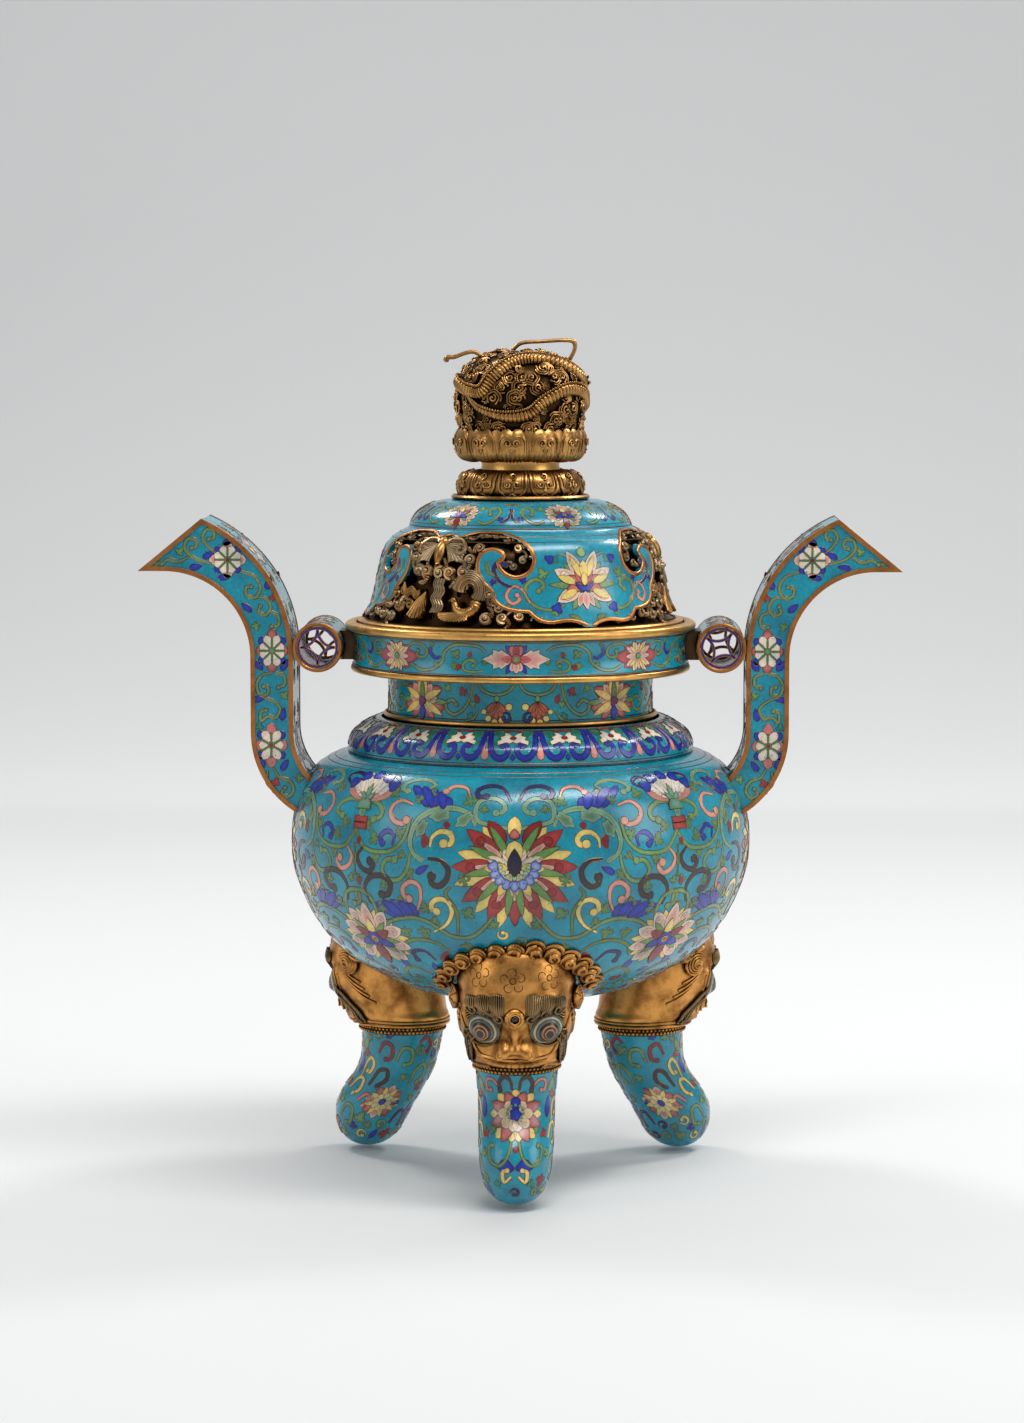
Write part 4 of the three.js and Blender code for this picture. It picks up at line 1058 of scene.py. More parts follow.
def make_gallery():
    dark, gold = Gather(), Gather()
    # bat under the arches
    body = at_window(gold, -1.2, 37)
    body.ball(0, -1.2, (2.9, 6.4), 0.9, 0.48, FINE_BALL)
    body.ball(0, 4.6, 2.8, 1.5, 0.8, FINE_BALL)
    for side in (-1, 1):
        body.ball(side * 1.1, 5.4, 0.7, 3.0)
        body.rope([(side * 1.2, 6.2), (side * 2.0, 8.4)], [0.9, 0.4], 1.4, 5)
        body.rope(run_through([(side * 0.8, -6), (side * 1.4, -9), (side * 2.6, -10.6)], 3),
                  [0.9, 0.9, 0.8, 0.8, 0.7, 0.6, 0.5], 0.9, 5)
        wing = at_window(dark, -1.2, 37, side)
        fan(wing, (2, 3), [(6.4, -6), (9.4, -5.2), (12.4, -5.6), (14.4, -2.6), (15, 1.4), (12.6, 3.4)], 0.62, 1.0,
            0.06)
        wing.rope(run_through([(1.6, 3.6), (5, 6.4), (9.6, 6.2), (13, 3), (13.6, -0.6), (11, -1.6), (9.8, 0.6),
                               (11.4, 1.6)], 4), 1.0, 1.5, 6)
    for k in range(5):
        body.rope([(-2.2 + 0.15 * k, -0.6 - 1.5 * k), (0, -1.2 - 1.5 * k), (2.2 - 0.15 * k, -0.6 - 1.5 * k)], 0.42,
                  [1.7, 3.0, 1.7], 5)
    # bird at the right: a ribbed wing over its back, a ribbed breast and a golden fan of a tail
    bird = at_window(dark, 14.5, 17.4)
    for k in range(8):
        turn = np.radians(np.linspace(196 - 3 * k, -62 + 5 * k, 17))
        r = 2.7 + 0.92 * k
        bird.rope(np.stack([0.95 * r * np.cos(turn), 1.12 * r * np.sin(turn)], 1), 0.66,
                  1.1 + 2.0 * math.sin(math.pi * (k + 0.6) / 8) + 0.3 * (k % 2), 5)
    bird.curl(-4.4, 2.4, 3.3, 330, 560, 1.0, 1.8, 6, 1.0, 0.8)
    bird.ball(-4.4, 2.4, 0.9, 2.2)
    breast = at_window(gold, 14, 10)
    run = run_through([(4.6, 2.4), (3, -2), (-1, -4), (-5.4, -2.4), (-7.4, 1.6)], 6)
    breast.rope(run, np.linspace(3.7, 1.9, len(run)) * np.where(np.arange(len(run)) % 2 == 0, 0.86, 1), 1.2, 10, 0.8)
    breast.ball(-7.6, 2.6, 1.9, 1.4)
    breast.rope([(-8.6, 3), (-10.6, 2.2)], [0.9, 0.3], 1.6, 5)
    fan(at_window(gold, 10.4, 8.6), (5, -0.6), [(-10.4, -3.4), (-9.4, -5.8), (-6.4, -7.2), (-2.6, -7.6), (1.8, -7.5),
                                                (5.6, -6.8)], 0.66, 1.7, 0.05)
    # wavy plumes in the middle, and a golden ribbon and leaf at the left
    for k in range(5):
        plume = at_window(dark, 2.4, 6)
        x = -1.25 * k
        plume.rope(run_through([(x, 0), (x + 1.4, 3.6), (x - 0.6, 7.6), (x + 1.2, 11.6), (x, 15), (x + 1, 18)], 4),
                   0.7, 1.2 + 0.7 * math.sin(math.pi * (k + 0.5) / 5), 5)
    fan(at_window(gold, -7.6, 12), (3.2, 4.4), [(4.4, -6), (1.6, -9.4), (-2.4, -10.2), (-6, -8.6)], 0.62, 1.2, -0.1)
    ribbon = at_window(gold, -15, 13)
    for k in range(4):
        y = -1.15 * k
        ribbon.rope(run_through([(-4, 7.6 + y), (-1.4, 4 + y), (2.6, 5.6 + y), (6.4, 3 + y), (8.4, 4.4 + 0.4 * y)],
                                4), 0.68, 1.0 + 0.6 * math.sin(math.pi * (k + 0.5) / 4), 5)
    ribbon.curl(-3.6, 3.4, 2.6, 60, 520, 0.8, 1.2)
    ribbon.curl(2.8, -3.6, 2.8, 180, -520, 0.85, 1.2)
    # clouds that follow the arches and volutes, then the foot
    taken = []
    for side in (-1, 1):
        for degrees, rise, turn, size in (
            (8.6, 43.2, 160, 5.0), (15.6, 45.2, 172, 5.4), (22.4, 45, 160, 5.4), (28.6, 42.8, 140, 5.2),
            (33.6, 38.6, 120, 5.0),
            (35.4, 33.2, 90, 4.6), (31.6, 30.2, 10, 4.4), (26.4, 8.6, 30, 5.2), (34, 5, 10, 5.4), (42, 4, -10, 4.6),
            (49, 3.2, -20, 3.8),
        ):
            spot = at_window(dark, side * degrees, rise, side)
            snail(spot, size, 180 - turn, -side, (0.1 if rise > 28 else 0.8) + 0.3 * math.sin(degrees), 0.9)
            taken.append((side * degrees, rise))
    # the rest, row by row
    holes = []
    for row, rise in enumerate((3.4, 9.2, 15, 20.8, 26.6, 32.4, 38.2)):
        for col in range(-8, 9):
            degrees = (col + 0.5 * (row % 2)) * 5.5
            if in_window(degrees + 2.75, rise + 1, 0.6):
                holes.append((degrees + 2.75, rise + 1))
            near = min(math.hypot(PER_DEGREE * (degrees - x), rise - y) for x, y in taken)
            if not in_window(degrees, rise, 1.2) or near < 4.6:
                continue
            at_bat, at_bird = abs(degrees + 1.2) < 12.5 and rise > 28, 5 < degrees < 21 and rise < 25
            at_ribbon = -19 < degrees < 4 and 3 < rise < 21
            if at_bat or at_bird or at_ribbon:
                continue
            number = row * 7 + col * 3
            spot = at_window(dark, degrees + 0.5 * math.sin(number), rise + 0.5 * math.cos(1.7 * number))
            snail(spot, 6.8 + 0.8 * math.sin(2.3 * number), 67 * number % 360, 1 if number % 2 else -1,
                  0.8 + 0.5 * math.sin(1.3 * number), 0.75)
    for gather, name, material in ((dark, "gallery_clouds", gallery_gilt),
                                   (gold, "gallery_bat_and_bird", finial_gilt)):
        gather.turned_copies((120, 240))
        finish(closed_relief(gather, name), material, "cover", "gilt_bronze")
    return holes


def make_sleeve(holes):
    """The wall behind the clouds, dark with painted shade for the inside of the cover, with smoke holes between them.
    """
    run = inward(dome_run, 5.2)
    run[0, 1] = 288.8
    sleeve = turned_piece("gallery_sleeve", wall_outline(run[:-4], 1.2), 144)
    cutter = Gather()
    ring = np.radians(np.arange(0, 360, 45))
    for turn in WINDOW_TURNS:
        for degrees, rise in holes:
            a = math.radians(turn + degrees)
            out, side = np.array([math.sin(a), -math.cos(a), 0]), np.array([math.cos(a), math.sin(a), 0])
            loop = side * 1.5 * np.cos(ring)[:, None] + np.array([0, 0, 1.9]) * np.sin(ring)[:, None] + (0, 0,
                DOME_FOOT + rise)
            points = np.vstack([loop + out * 40, loop + out * 100])
            cutter.add(points, [list(range(8))[::-1], list(range(8, 16)),
                                *[[i, (i + 1) % 8, 8 + (i + 1) % 8, 8 + i] for i in range(8)]])
    tool = closed_relief(cutter, "hole_tool")
    cut(sleeve, tool)
    delete(tool)
    smooth_shade(sleeve, 35)
    finish(sleeve, painted_shade_gilt, "cover", "gilt_bronze", "cover_gallery")


make_sleeve(make_gallery())


# Finial: two rings of lotus petals and the dragon knob


def sheet(spot, form, across, up):
    """A raised sheet over u from -1 to 1 and t from 0 to 1, closed below. The form gives x, y and lift."""
    u, t = np.meshgrid(np.linspace(-1, 1, across + 1), np.linspace(0, 1, up + 1), indexing="ij")
    x, y, lift = (np.broadcast_to(value, u.shape).ravel() for value in form(u, t))
    xy = np.stack([x, y], 1)
    n, m = across + 1, up + 1
    edge = [i * m for i in range(n)] + [(n - 1) * m + k for k in range(1, m)] + [i * m + m - 1 for i in range(n - 2,
        -1, -1)]
    edge += [k for k in range(m - 2, 0, -1)]
    points = np.vstack([spot.at(xy, lift), spot.at(xy[edge], -1.6)])
    faces = [[i * m + k, (i + 1) * m + k, (i + 1) * m + k + 1,
              i * m + k + 1] for i in range(across) for k in range(up)]
    count = len(edge)
    faces += [[edge[(i + 1) % count], edge[i], n * m + i, n * m + (i + 1) % count] for i in range(count)]
    faces.append([n * m + i for i in range(count)])
    spot.gather.add(points, faces)


def top_of(u):
    """The heart-shaped end of a petal."""
    return 1 - 0.07 * np.exp(-((u / 0.16) ** 2)) - 0.3 * np.maximum(np.abs(u) - 0.4, 0) ** 2 / 0.36


def petal_edge(share, width, foot, tip, low=0.02):
    """The line inside a petal's edge, from its foot over its heart-shaped end and back."""
    t = np.linspace(low, share, 9)
    u = np.linspace(-share, share, 21)
    run = [(-share, k) for k in t] + [(k, share) for k in u[1:-1]] + [(share, k) for k in t[::-1]]
    return np.array([(x * width(y), foot + (tip - foot) * y * float(top_of(x))) for x, y in run])


def make_lotus(name, run, node, core_top, foot, tip, up):
    """A ring of twelve petals over twelve narrower ones."""
    form = Round(run)
    inner = [tuple(p) for p in inward(run, 1.7) if p[1] < core_top]
    body = turned_piece(name + "_core", [(3.4, inner[0][1]), *inner, (inner[-1][0], core_top), (3.4, core_top)], 96)
    relief = Gather()

    def width(t):
        return 6.0 + 1.9 * math.sin(min(t * 1.5, 1) * math.pi / 2) if up else 7.3 - 0.7 * (1 - t)

    widths = np.vectorize(width)

    def front_petal(u, t):
        y = foot + (tip - foot) * t * top_of(u)
        round_over = np.sqrt(np.maximum(1 - np.abs(u) ** 3, 0))
        if up:
            lift = -0.4 + 2.6 * round_over * np.sin(math.pi * (0.08 + 0.8 * t)) ** 0.7
            lift = lift + 0.42 * np.cos(7 * math.pi * u) * np.clip(1.5 - 2.2 * t, 0, 1) * (np.abs(u) < 0.93)
        else:
            lift = 0.2 + 0.9 * round_over
        return u * widths(t), y, lift

    def back_petal(u, t):
        lift = -0.7 + 1.3 * np.sqrt(np.maximum(1 - u**2, 0))
        return u * 4.6, foot + (tip - foot) * t * (0.98 - 0.2 * u**2), lift

    reach = math.copysign(1, tip - foot)
    middle = foot + (tip - foot) * (0.62 if up else 0.5)
    for i in range(12):
        sheet(Relief(form, 9 + 30 * i, 0, relief), back_petal, 8, 8)
        spot = Relief(form, -6 + 30 * i, 0, relief)
        sheet(spot, front_petal, 42 if up else 16, 16)
        spot.rope(petal_edge(0.97, width, foot, tip), 0.62 if up else 0.85, 0.3 if up else 0.9, 6)
        if up:
            spot.rope(petal_edge(0.82, width, foot, tip, 0.5), 0.36, 1.5, 5)
            for s in (-1, 1):
                spot.curl(s * 2.1, middle + 0.6, 1.9, 90 - 90 * s, s * 440, 0.62, 2.4, 5)
                spot.ball(s * 0.95, middle - 2.8, 0.66, 2.3)
            spot.ball(0, middle - 4.2, 0.66, 2.2)
        else:
            spot.rope(petal_edge(0.72, width, foot, tip, 0.12), 0.5, 1.1, 6)
            for s in (-1, 1):
                spot.curl(s * 2.2, middle + 1.5 * reach, 1.7, 90 - 90 * s, -s * 420, 0.6, 1.6, 5)
            spot.curl(0, middle - 2.4 * reach, 1.8, -90, 420, 0.6, 1.6, 5)
            spot.rope([(0, middle + 1.6 * reach), (0, middle + 4.4 * reach)], [0.5, 0.85], 1.5, 5)
    made = join(name, [closed_relief(relief, name), body])
    smooth_shade(made, 45)
    finish(made, finial_gilt, "cover", "gilt_bronze", node)


lower_run = run_through([(29.5, 352.9), (31.2, 353.6), (31.8, 355.6), (31.4, 358.6), (30, 361.4), (26.6, 363.8),
                         (19, 364.9)], 4)
upper_run = run_through([(20.4, 370.2), (26.6, 370.7), (30.6, 373), (32, 376.6), (32.6, 380), (32.5, 383.4),
                         (31.6, 386), (29.8, 388)], 4)
make_lotus("lotus_lower_petals", lower_run, "finial_lotus_lower", 364.9, 15.2, 0.9, False)
make_lotus("lotus_upper_petals", upper_run, "finial_lotus_upper", 384.6, 4.6, 25.0, True)
knob_run = run_through([(30.6, 384.7), (32.2, 387.6), (33, 392), (33.8, 399), (33.6, 406), (32, 412.6), (28.4, 418.6),
                        (21.6, 423.6), (12, 427), (0.02, 428.2)], 4)
knob_form = Round(knob_run)


def rose(spot, size, turn, hand, lift):
    """A cloud head: a coil inside two scalloped rings."""
    coil = spiral(0, 0, 0.44 * size, turn, hand * 430, 0.8, 14)
    t = np.linspace(0, 1, 14)
    spot.rope(coil, 0.115 * size * (1.1 - 0.3 * t), lift + 0.22 * size * t, 5)
    for ring, sweep in ((0.72, 290), (1.0, 200)):
        b = np.radians(np.linspace(-sweep / 2, sweep / 2, 21))
        r = size * (ring + 0.1 * np.abs(np.cos(2.5 * b)) - 0.08)
        a = math.radians(turn) + hand * b
        spot.rope(np.stack([r * np.cos(a), r * np.sin(a)], 1), 0.105 * size, lift - 0.12 * size * (ring - 0.5), 5)


def make_knob():
    core_run = inward(knob_run, 1.9)
    core_run[-1, 0] = 0.0
    core = turned_piece("knob_core", [(0, 385), *[tuple(p) for p in core_run if p[1] > 385.5 and p[0] > 0.5],
                                      (0, 426)], 96)
    # The core's dark gilding is painted shade inside the openwork knob.
    finish(core, painted_shade_gilt, "cover", "gilt_bronze", "finial_knob")
    relief = Gather()
    # heading and height of the dragon's body, from its tail to its head
    body = [(-58, 406), (-50, 402), (-36, 396.5), (-12.6, 393.2), (8.5, 394.6), (24, 401.6), (47, 407), (72, 405.5),
            (95, 399),
            (130, 395.5), (180, 401), (225, 409), (270, 411), (308, 406.5), (325, 406), (335, 413.5), (350, 420.4),
            (375, 423),
            (410, 421), (438, 414), (460, 410)]
    body = run_through(body, 19)
    v = knob_form.along(body[:, 1])
    t = np.linspace(0, 1, len(body))
    plain = 3.5 * np.clip(np.minimum((t + 0.02) * 5, 1.0), 0.25, 1)
    radii = plain * np.where(np.arange(len(t)) % 3, 1.0, 0.8)
    headings = np.radians(body[:, 0])
    path, above = knob_form.point(headings, v, -0.8), knob_form.point(headings, v, 0.2)
    up = above - path
    along = np.gradient(path, axis=0)
    across = np.cross(along, up)
    across /= np.linalg.norm(across, axis=1)[:, None]
    relief.add(rod_points(path, across, up, radii, 10, 0.9), tube_faces(len(path), 10))
    # toothed ridge along the back
    ridge_run = path + (up * 0.55 - across * 0.82) * plain[:, None]
    relief.add(rod_points(ridge_run, across, up, 0.55 * np.ones(len(path)), 5, 1.0), tube_faces(len(path), 5))
    form, faces = ball_form(3, 6)
    for i in range(6, len(path) - 4, 2):
        relief.add(ridge_run[i] + (up[i] - across[i]) * 0.3 + form * 0.72, faces)
    # head and legs
    head, nose = path[-1], (path[-1] - path[-6]) / np.linalg.norm(path[-1] - path[-6])
    for shift, size in ((0, 4.2), (3.4, 3.2), (6.2, 2.5)):
        relief.add(head + nose * shift + FINE_BALL[0] * size * 0.95, FINE_BALL[1])
    for k in (-1, 1):
        horn = head + up[-1] * 2.6 + across[-1] * 1.6 * k
        add_rod(relief, [horn, horn - nose * 3 + up[-1] * 1.4, horn - nose * 6 + up[-1] * 1.2], [0.9, 0.7, 0.3], 6)
    for heading, z, turn in ((110, 408, 1), (200, 392, 1), (262, 398, -1)):
        leg = Relief(knob_form, heading, float(knob_form.along(z)), relief)
        for k in range(4):
            run = run_through([(5 * turn, 2.6), (1.2 * turn, 0.8 + 0.3 * k), (-2.4 * turn, 1.8 - k),
                               (-5 * turn, 2 - 1.6 * k)], 4)
            leg.rope(run, np.linspace(1.2, 0.4, 13), 0.6, 6)
    # cloud heads wherever the body leaves room
    taken = path[::3]
    number = 0
    for z, size in ((386.8, 3.9), (391.6, 4.1), (397, 4.3), (402.6, 4.4), (408.2, 4.4), (413.4, 4.2), (418, 3.9),
                    (422, 3.6), (425, 3.3), (427, 2.8)):
        v0 = float(knob_form.along(z))
        count = int(math.tau * float(knob_form.radius(v0)) / (size * 1.7))
        for i in range(count):
            number += 1
            heading = 360 / count * (i + 0.5 * (number % 2) + 0.25 * math.sin(number))
            centre = knob_form.point(np.radians([heading]), np.array([v0]), 0)[0]
            near = np.min(np.linalg.norm(taken - centre, axis=1))
            if near < 3.4:
                continue
            spot = Relief(knob_form, heading, v0, relief)
            rose(spot, size if near > 6.6 else 0.66 * size, 67 * number % 360, 1 if number % 3 else -1,
                 -0.4 + 0.7 * math.sin(number))
    # whisker wires
    for wire, thick in (
        ([(-19, 423.5), (-24, 426), (-29, 425.2), (-34, 423.4), (-37.4, 423.2), (-38.4, 421.4)],
         [1.1, 1.1, 1.1, 1.15, 1.3, 1.6]),
        ([(-4, 427), (1, 430.6), (12, 431.4), (22, 432), (27.6, 431.2), (28, 427), (25, 421)],
         [1.1, 1.05, 1, 1.05, 1.2, 1.1, 1.1]),
    ):
        run = run_through([(x, -8, z) for x, z in wire], 5)
        add_rod(relief, run, np.interp(np.linspace(0, 1, len(run)), np.linspace(0, 1, len(thick)), thick), 10)
    finish(closed_relief(relief, "knob_dragon"), finial_gilt, "cover", "gilt_bronze")


make_knob()


# Beast masks and the beaded collars under them


def hump(s, z, s0, z0, wide, tall, power=2):
    """A rise of one round a place, as far as a width and a height."""
    return np.exp(-(np.abs((s - s0) / wide) ** power) - np.abs((z - z0) / tall) ** power)


def ridge(s, z, run, wide):
    """A rise of one along a run."""
    nearest = np.full(np.shape(s), 1e9)
    for (s0, z0), (s1, z1) in zip(run, run[1:]):
        ds, dz = s1 - s0, z1 - z0
        t = np.clip(((s - s0) * ds + (z - z0) * dz) / (ds * ds + dz * dz), 0, 1)
        nearest = np.minimum(nearest, np.hypot(s - s0 - t * ds, z - z0 - t * dz))
    return np.exp(-((nearest / wide) ** 2))


JAW = [(29, 97), (28, 92), (25.5, 87), (21, 80.5), (16.4, 76.4), (9, 74.9), (0, 74.3)]


def face_height(s, z):
    """How far the beast's face stands out of the plain form."""
    s = np.abs(s)
    h = 0.7 * hump(s, z, 11, 116, 12, 8) - 0.5 * hump(s, z, 0, 112, 5, 9)
    h = h + 2.2 * ridge(s, z, [(5, 99.5), (14, 102.5), (25, 103)], 5.5)
    h = h - 2.6 * hump(s, z, 16.2, 90, 9.6, 8.6, 3)
    h = h + 2.6 * ridge(s, z, [(0, 94), (0, 81)], 2.0) - 1.5 * hump(s, z, 5.4, 87, 2.6, 3.8)
    h = h + 3.0 * hump(s, z, 0, 79.0, 9.6, 3.4, 4) + 3.5 * hump(s, z, 6.2, 79.4, 3.7, 3.3, 2.6)
    h = h - 1.6 * hump(s, z, 3.0, 84.2, 1.5, 1.8) - 1.2 * hump(s, z, 2.6, 77.6, 1.2, 1.2)
    h = h + 2.5 * ridge(s, z, JAW, 3.0)
    h = h - 2.6 * ridge(s, z, [(0, 72.8), (8, 73.1), (14.5, 74.4)], 0.75)
    h = h + 1.6 * ridge(s, z, [(0, 71.1), (9, 71.3), (16, 72.2), (24, 72)], 1.3)
    h = h + 0.5 * np.sin(s * 2.4) * ridge(s, z, [(0, 70), (30, 70)], 1.0)
    return h


class Sculpted(Lofted):
    """An upright oval form with a face on its front."""

    def __init__(self, sections, height):
        super().__init__(sections)
        self.height = height

    def skin(self, a, v, lift=0.0):
        """The form's surface with its face, which ends at an angle of 2.2 on both sides."""
        rise = np.where(np.abs(a) < 2.2, self.height(a * self.radius(v), v), 0) + lift
        return self.point(a, v) + self.normal(a, v) * rise[:, None]

    def place(self, u0, v0, xy, lift):
        v = v0 + xy[:, 1]
        return self.skin(math.radians(u0) + xy[:, 0] / self.radius(v), v, lift)

    def shape(self, name, angles, heights):
        sides = len(angles)
        rings = [self.skin(angles, np.full(sides, v)) for v in heights]
        made = mesh_piece(name, np.vstack(rings), stacked_faces(len(rings), sides))
        smooth_shade(made, 60)
        return made


mask_form = Sculpted([
    (68.9, 74.5, 25, 22), (73, 76, 27.5, 24), (77, 77.5, 27, 25), (85, 80.5, 28, 28), (96, 83, 28.5, 29.5),
    (107, 84, 29, 30), (117, 84, 28.5, 29.5), (126, 84, 26, 26), (131, 84, 22, 16)], face_height)
bowl_form = Round(bowl_run)
brow_gilt = gilding("brow gilding", paint(150, 122, 84), paint(22, 16, 10), paint(104, 84, 56), 0.6, 0.003)


def make_mask():
    front = np.radians(np.linspace(-100, 100, 135))
    back = np.radians(np.linspace(100, 260, 17)[1:-1])
    head = mask_form.shape("mask_head", np.concatenate([front, back]), np.linspace(68.9, 130.8, 92))
    cut(head, bowl_tool)
    gold, dark, lines = Gather(), Gather(), Gather()
    for side in (-1, 1):
        face, brow = Relief(mask_form, 0, 0, gold, side), Relief(mask_form, 0, 0, dark, side)
        # jaw ridge, lips and nostrils
        jaw = run_through([(29.5, 98), *JAW[1:]], 4)
        face.rope(jaw, np.linspace(0.5, 1.0, len(jaw)), 0.2, 7)
        face.rope(jaw + (1.2, -1.9), 0.55, -0.1, 6)
        face.curl(6.2, 79.2, 2.5, 120, -300, 0.7, 0.1, 6)
        # brow of three tufts of hair, each ending in a curl
        for tuft, (x0, low) in enumerate(((7.9, 94.6), (15.2, 96.8), (22.0, 98.6))):
            for k in range(8):
                share = k / 7 - 0.5
                top = (x0 + 6.0 * share + 1.0, 108.6 - 0.5 * tuft - 1.8 * abs(share))
                bend = (x0 + 6.6 * share + 0.9, 103.6 - 0.3 * tuft)
                foot = (x0 + 4.4 * share - 0.2, low + 2.2 + 0.8 * abs(share))
                brow.rope(run_through([top, bend, foot], 4), [0.3, 0.42, 0.5, 0.54, 0.56, 0.56, 0.54, 0.5, 0.45],
                          1.7 - 2.6 * abs(share), 5)
            brow.curl(x0 - 0.2, low + 1.6, 3.0, 0, -440, 0.66, 1.2, 5)
        # eyelids that sweep up and out over the eye
        for k in range(4):
            lid = [(7.6 - 0.4 * k, 90 + 1.2 * k), (10.5, 96.4 + 0.6 * k), (16.5, 98.6 + 0.5 * k),
                   (22.5, 97.2 + 0.9 * k), (26.4, 95.4 + 1.6 * k)]
            brow.rope(run_through(lid, 4), 0.45, 0.9 - 0.25 * k, 5)
            if k < 2:
                under = [(7.9, 88 - 0.9 * k), (11.5, 82.8 - 0.6 * k), (17, 81.2 - 0.5 * k), (22.6, 84 - 0.6 * k),
                         (25, 88.4)]
                brow.rope(run_through(under, 4), 0.42, 0.7 - 0.3 * k, 5)
        # ear of nested arcs
        face.ball(41.5, 103.5, (5.4, 6.4), 0.8, 0.42, FINE_BALL)
        for k in range(4):
            face.curl(41.5, 103.5, 6.2 - 1.35 * k, 150, -300, 0.95, 2.1 + 0.45 * k, 7, 1.0, 0.12)
        # cheek flap with veins, down to the collar
        spine = run_through([(23.5, 89), (27.5, 82), (30, 76), (31.5, 71.2)], 5)
        flap = np.vstack([spine + (3.0, 0.6), (spine - (3.0, 0.6))[::-1]])
        brow.pad(flap, 0.9, 0.8)
        brow.rope(np.vstack([flap, flap[:1]]), 0.6, 1.2, 6)
        brow.rope(spine, 0.4, 1.9, 5)
        for k in range(2, len(spine) - 1, 2):
            for reach in (-1, 1):
                brow.rope([spine[k], spine[k] + (2.4 * reach, 1.8)], 0.3, 1.6, 5)
        # folds of the mane behind the ear
        for k in range(4):
            fold = [(34 + 1.5 * k, 101 - 3.2 * k), (40 + 1.2 * k, 96 - 3.4 * k), (46 + k, 93 - 3.6 * k)]
            face.rope(run_through(fold, 4), 0.8, 0.1, 6)
        # curls of the mane along the bowl
    for t in np.linspace(-1, 1, 13):
        x, z = 36.6 * math.sin(t * math.pi / 2), 110.6 + 19.2 * math.cos(t * math.pi / 2)
        v = float(bowl_form.along(z))
        u = math.degrees(math.asin(x / float(bowl_form.radius(v))))
        hand = 1 if t > 0 else -1
        spot = Relief(bowl_form, u, v, gold)
        spot.ball(0, 0, (4.9, 4.9), 0.9, 0.62, FINE_BALL)
        a = 90 - 62 * t
        spot.curl(0, 0, 4.7, a, hand * 560, 1.25, 2.0, 7, 1.0, 0.8, 2.6)
        spot.curl(1.7 * math.cos(math.radians(a)), 1.7 * math.sin(math.radians(a)), 4.9, a + 80, -hand * 170, 1.25,
                  0.8, 7, 1.0, 0.05)
    # knob between the brows
    boss = Relief(mask_form, 0, 96.6, gold)
    boss.curl(0, 0, 3.5, 0, 360, 1.5, 0.8, 8, 1.0, 0.0)
    boss.curl(0, 0, 2.3, 0, 360, 0.6, 1.7, 6, 1.0, 0.0)
    # engraved flowers on the forehead
    for x, z in ((-1, 115), (-19, 117), (17.6, 116)):
        flower = Relief(mask_form, 0, 0, lines)
        flower.curl(x, z, 1.5, 0, 360, 0.32, -0.08, 5, 1.0, 0.0)
        for k in range(5):
            a = math.radians(72 * k + 20)
            flower.curl(x + 4.1 * math.cos(a), z + 4.1 * math.sin(a), 2.4, 72 * k + 100, -230, 0.28, -0.08, 5, 1.0,
                        0.3)
    # folded skirt round the foot of the drum
    for v, thick, lift in ((69.7, 1.0, 0.6), (71.4, 0.7, 0.3)):
        a = np.linspace(35, 325, 60)
        run = np.stack([np.radians(a) * mask_form.radius(np.array([v]))[0], np.full(60, v)], 1)
        Relief(mask_form, 0, 0, gold).rope(run, thick, lift, 6)
    head = join("mask_front_head", [head, closed_relief(gold, "mask_relief")])
    return head, closed_relief(dark, "mask_front_brows"), closed_relief(lines, "mask_front_engraving")


HORN_GREY, IVORY, AMBER = paint(94, 98, 80), paint(182, 180, 150), paint(176, 118, 62)
EYE_RINGS = [
    (7.4, -0.4, HORN_GREY), (7.3, 0.8, HORN_GREY), (6.9, 1.4, HORN_GREY), (6.7, 1.3, BLACK), (6.4, 1.7, IVORY),
    (5.9, 2.2, IVORY),
    (5.7, 2.1, BLACK), (5.4, 2.6, HORN_GREY), (4.9, 3.0, HORN_GREY), (4.7, 3.0, BLACK), (3.9, 3.8, BLACK),
    (3.7, 4.0, AMBER),
    (3.3, 4.2, AMBER), (3.1, 4.2, BLACK), (2.6, 4.5, BLACK), (2.4, 4.7, AMBER), (2.1, 4.8, AMBER), (1.9, 4.8, BLACK),
    (1.0, 5.1, BLACK)]


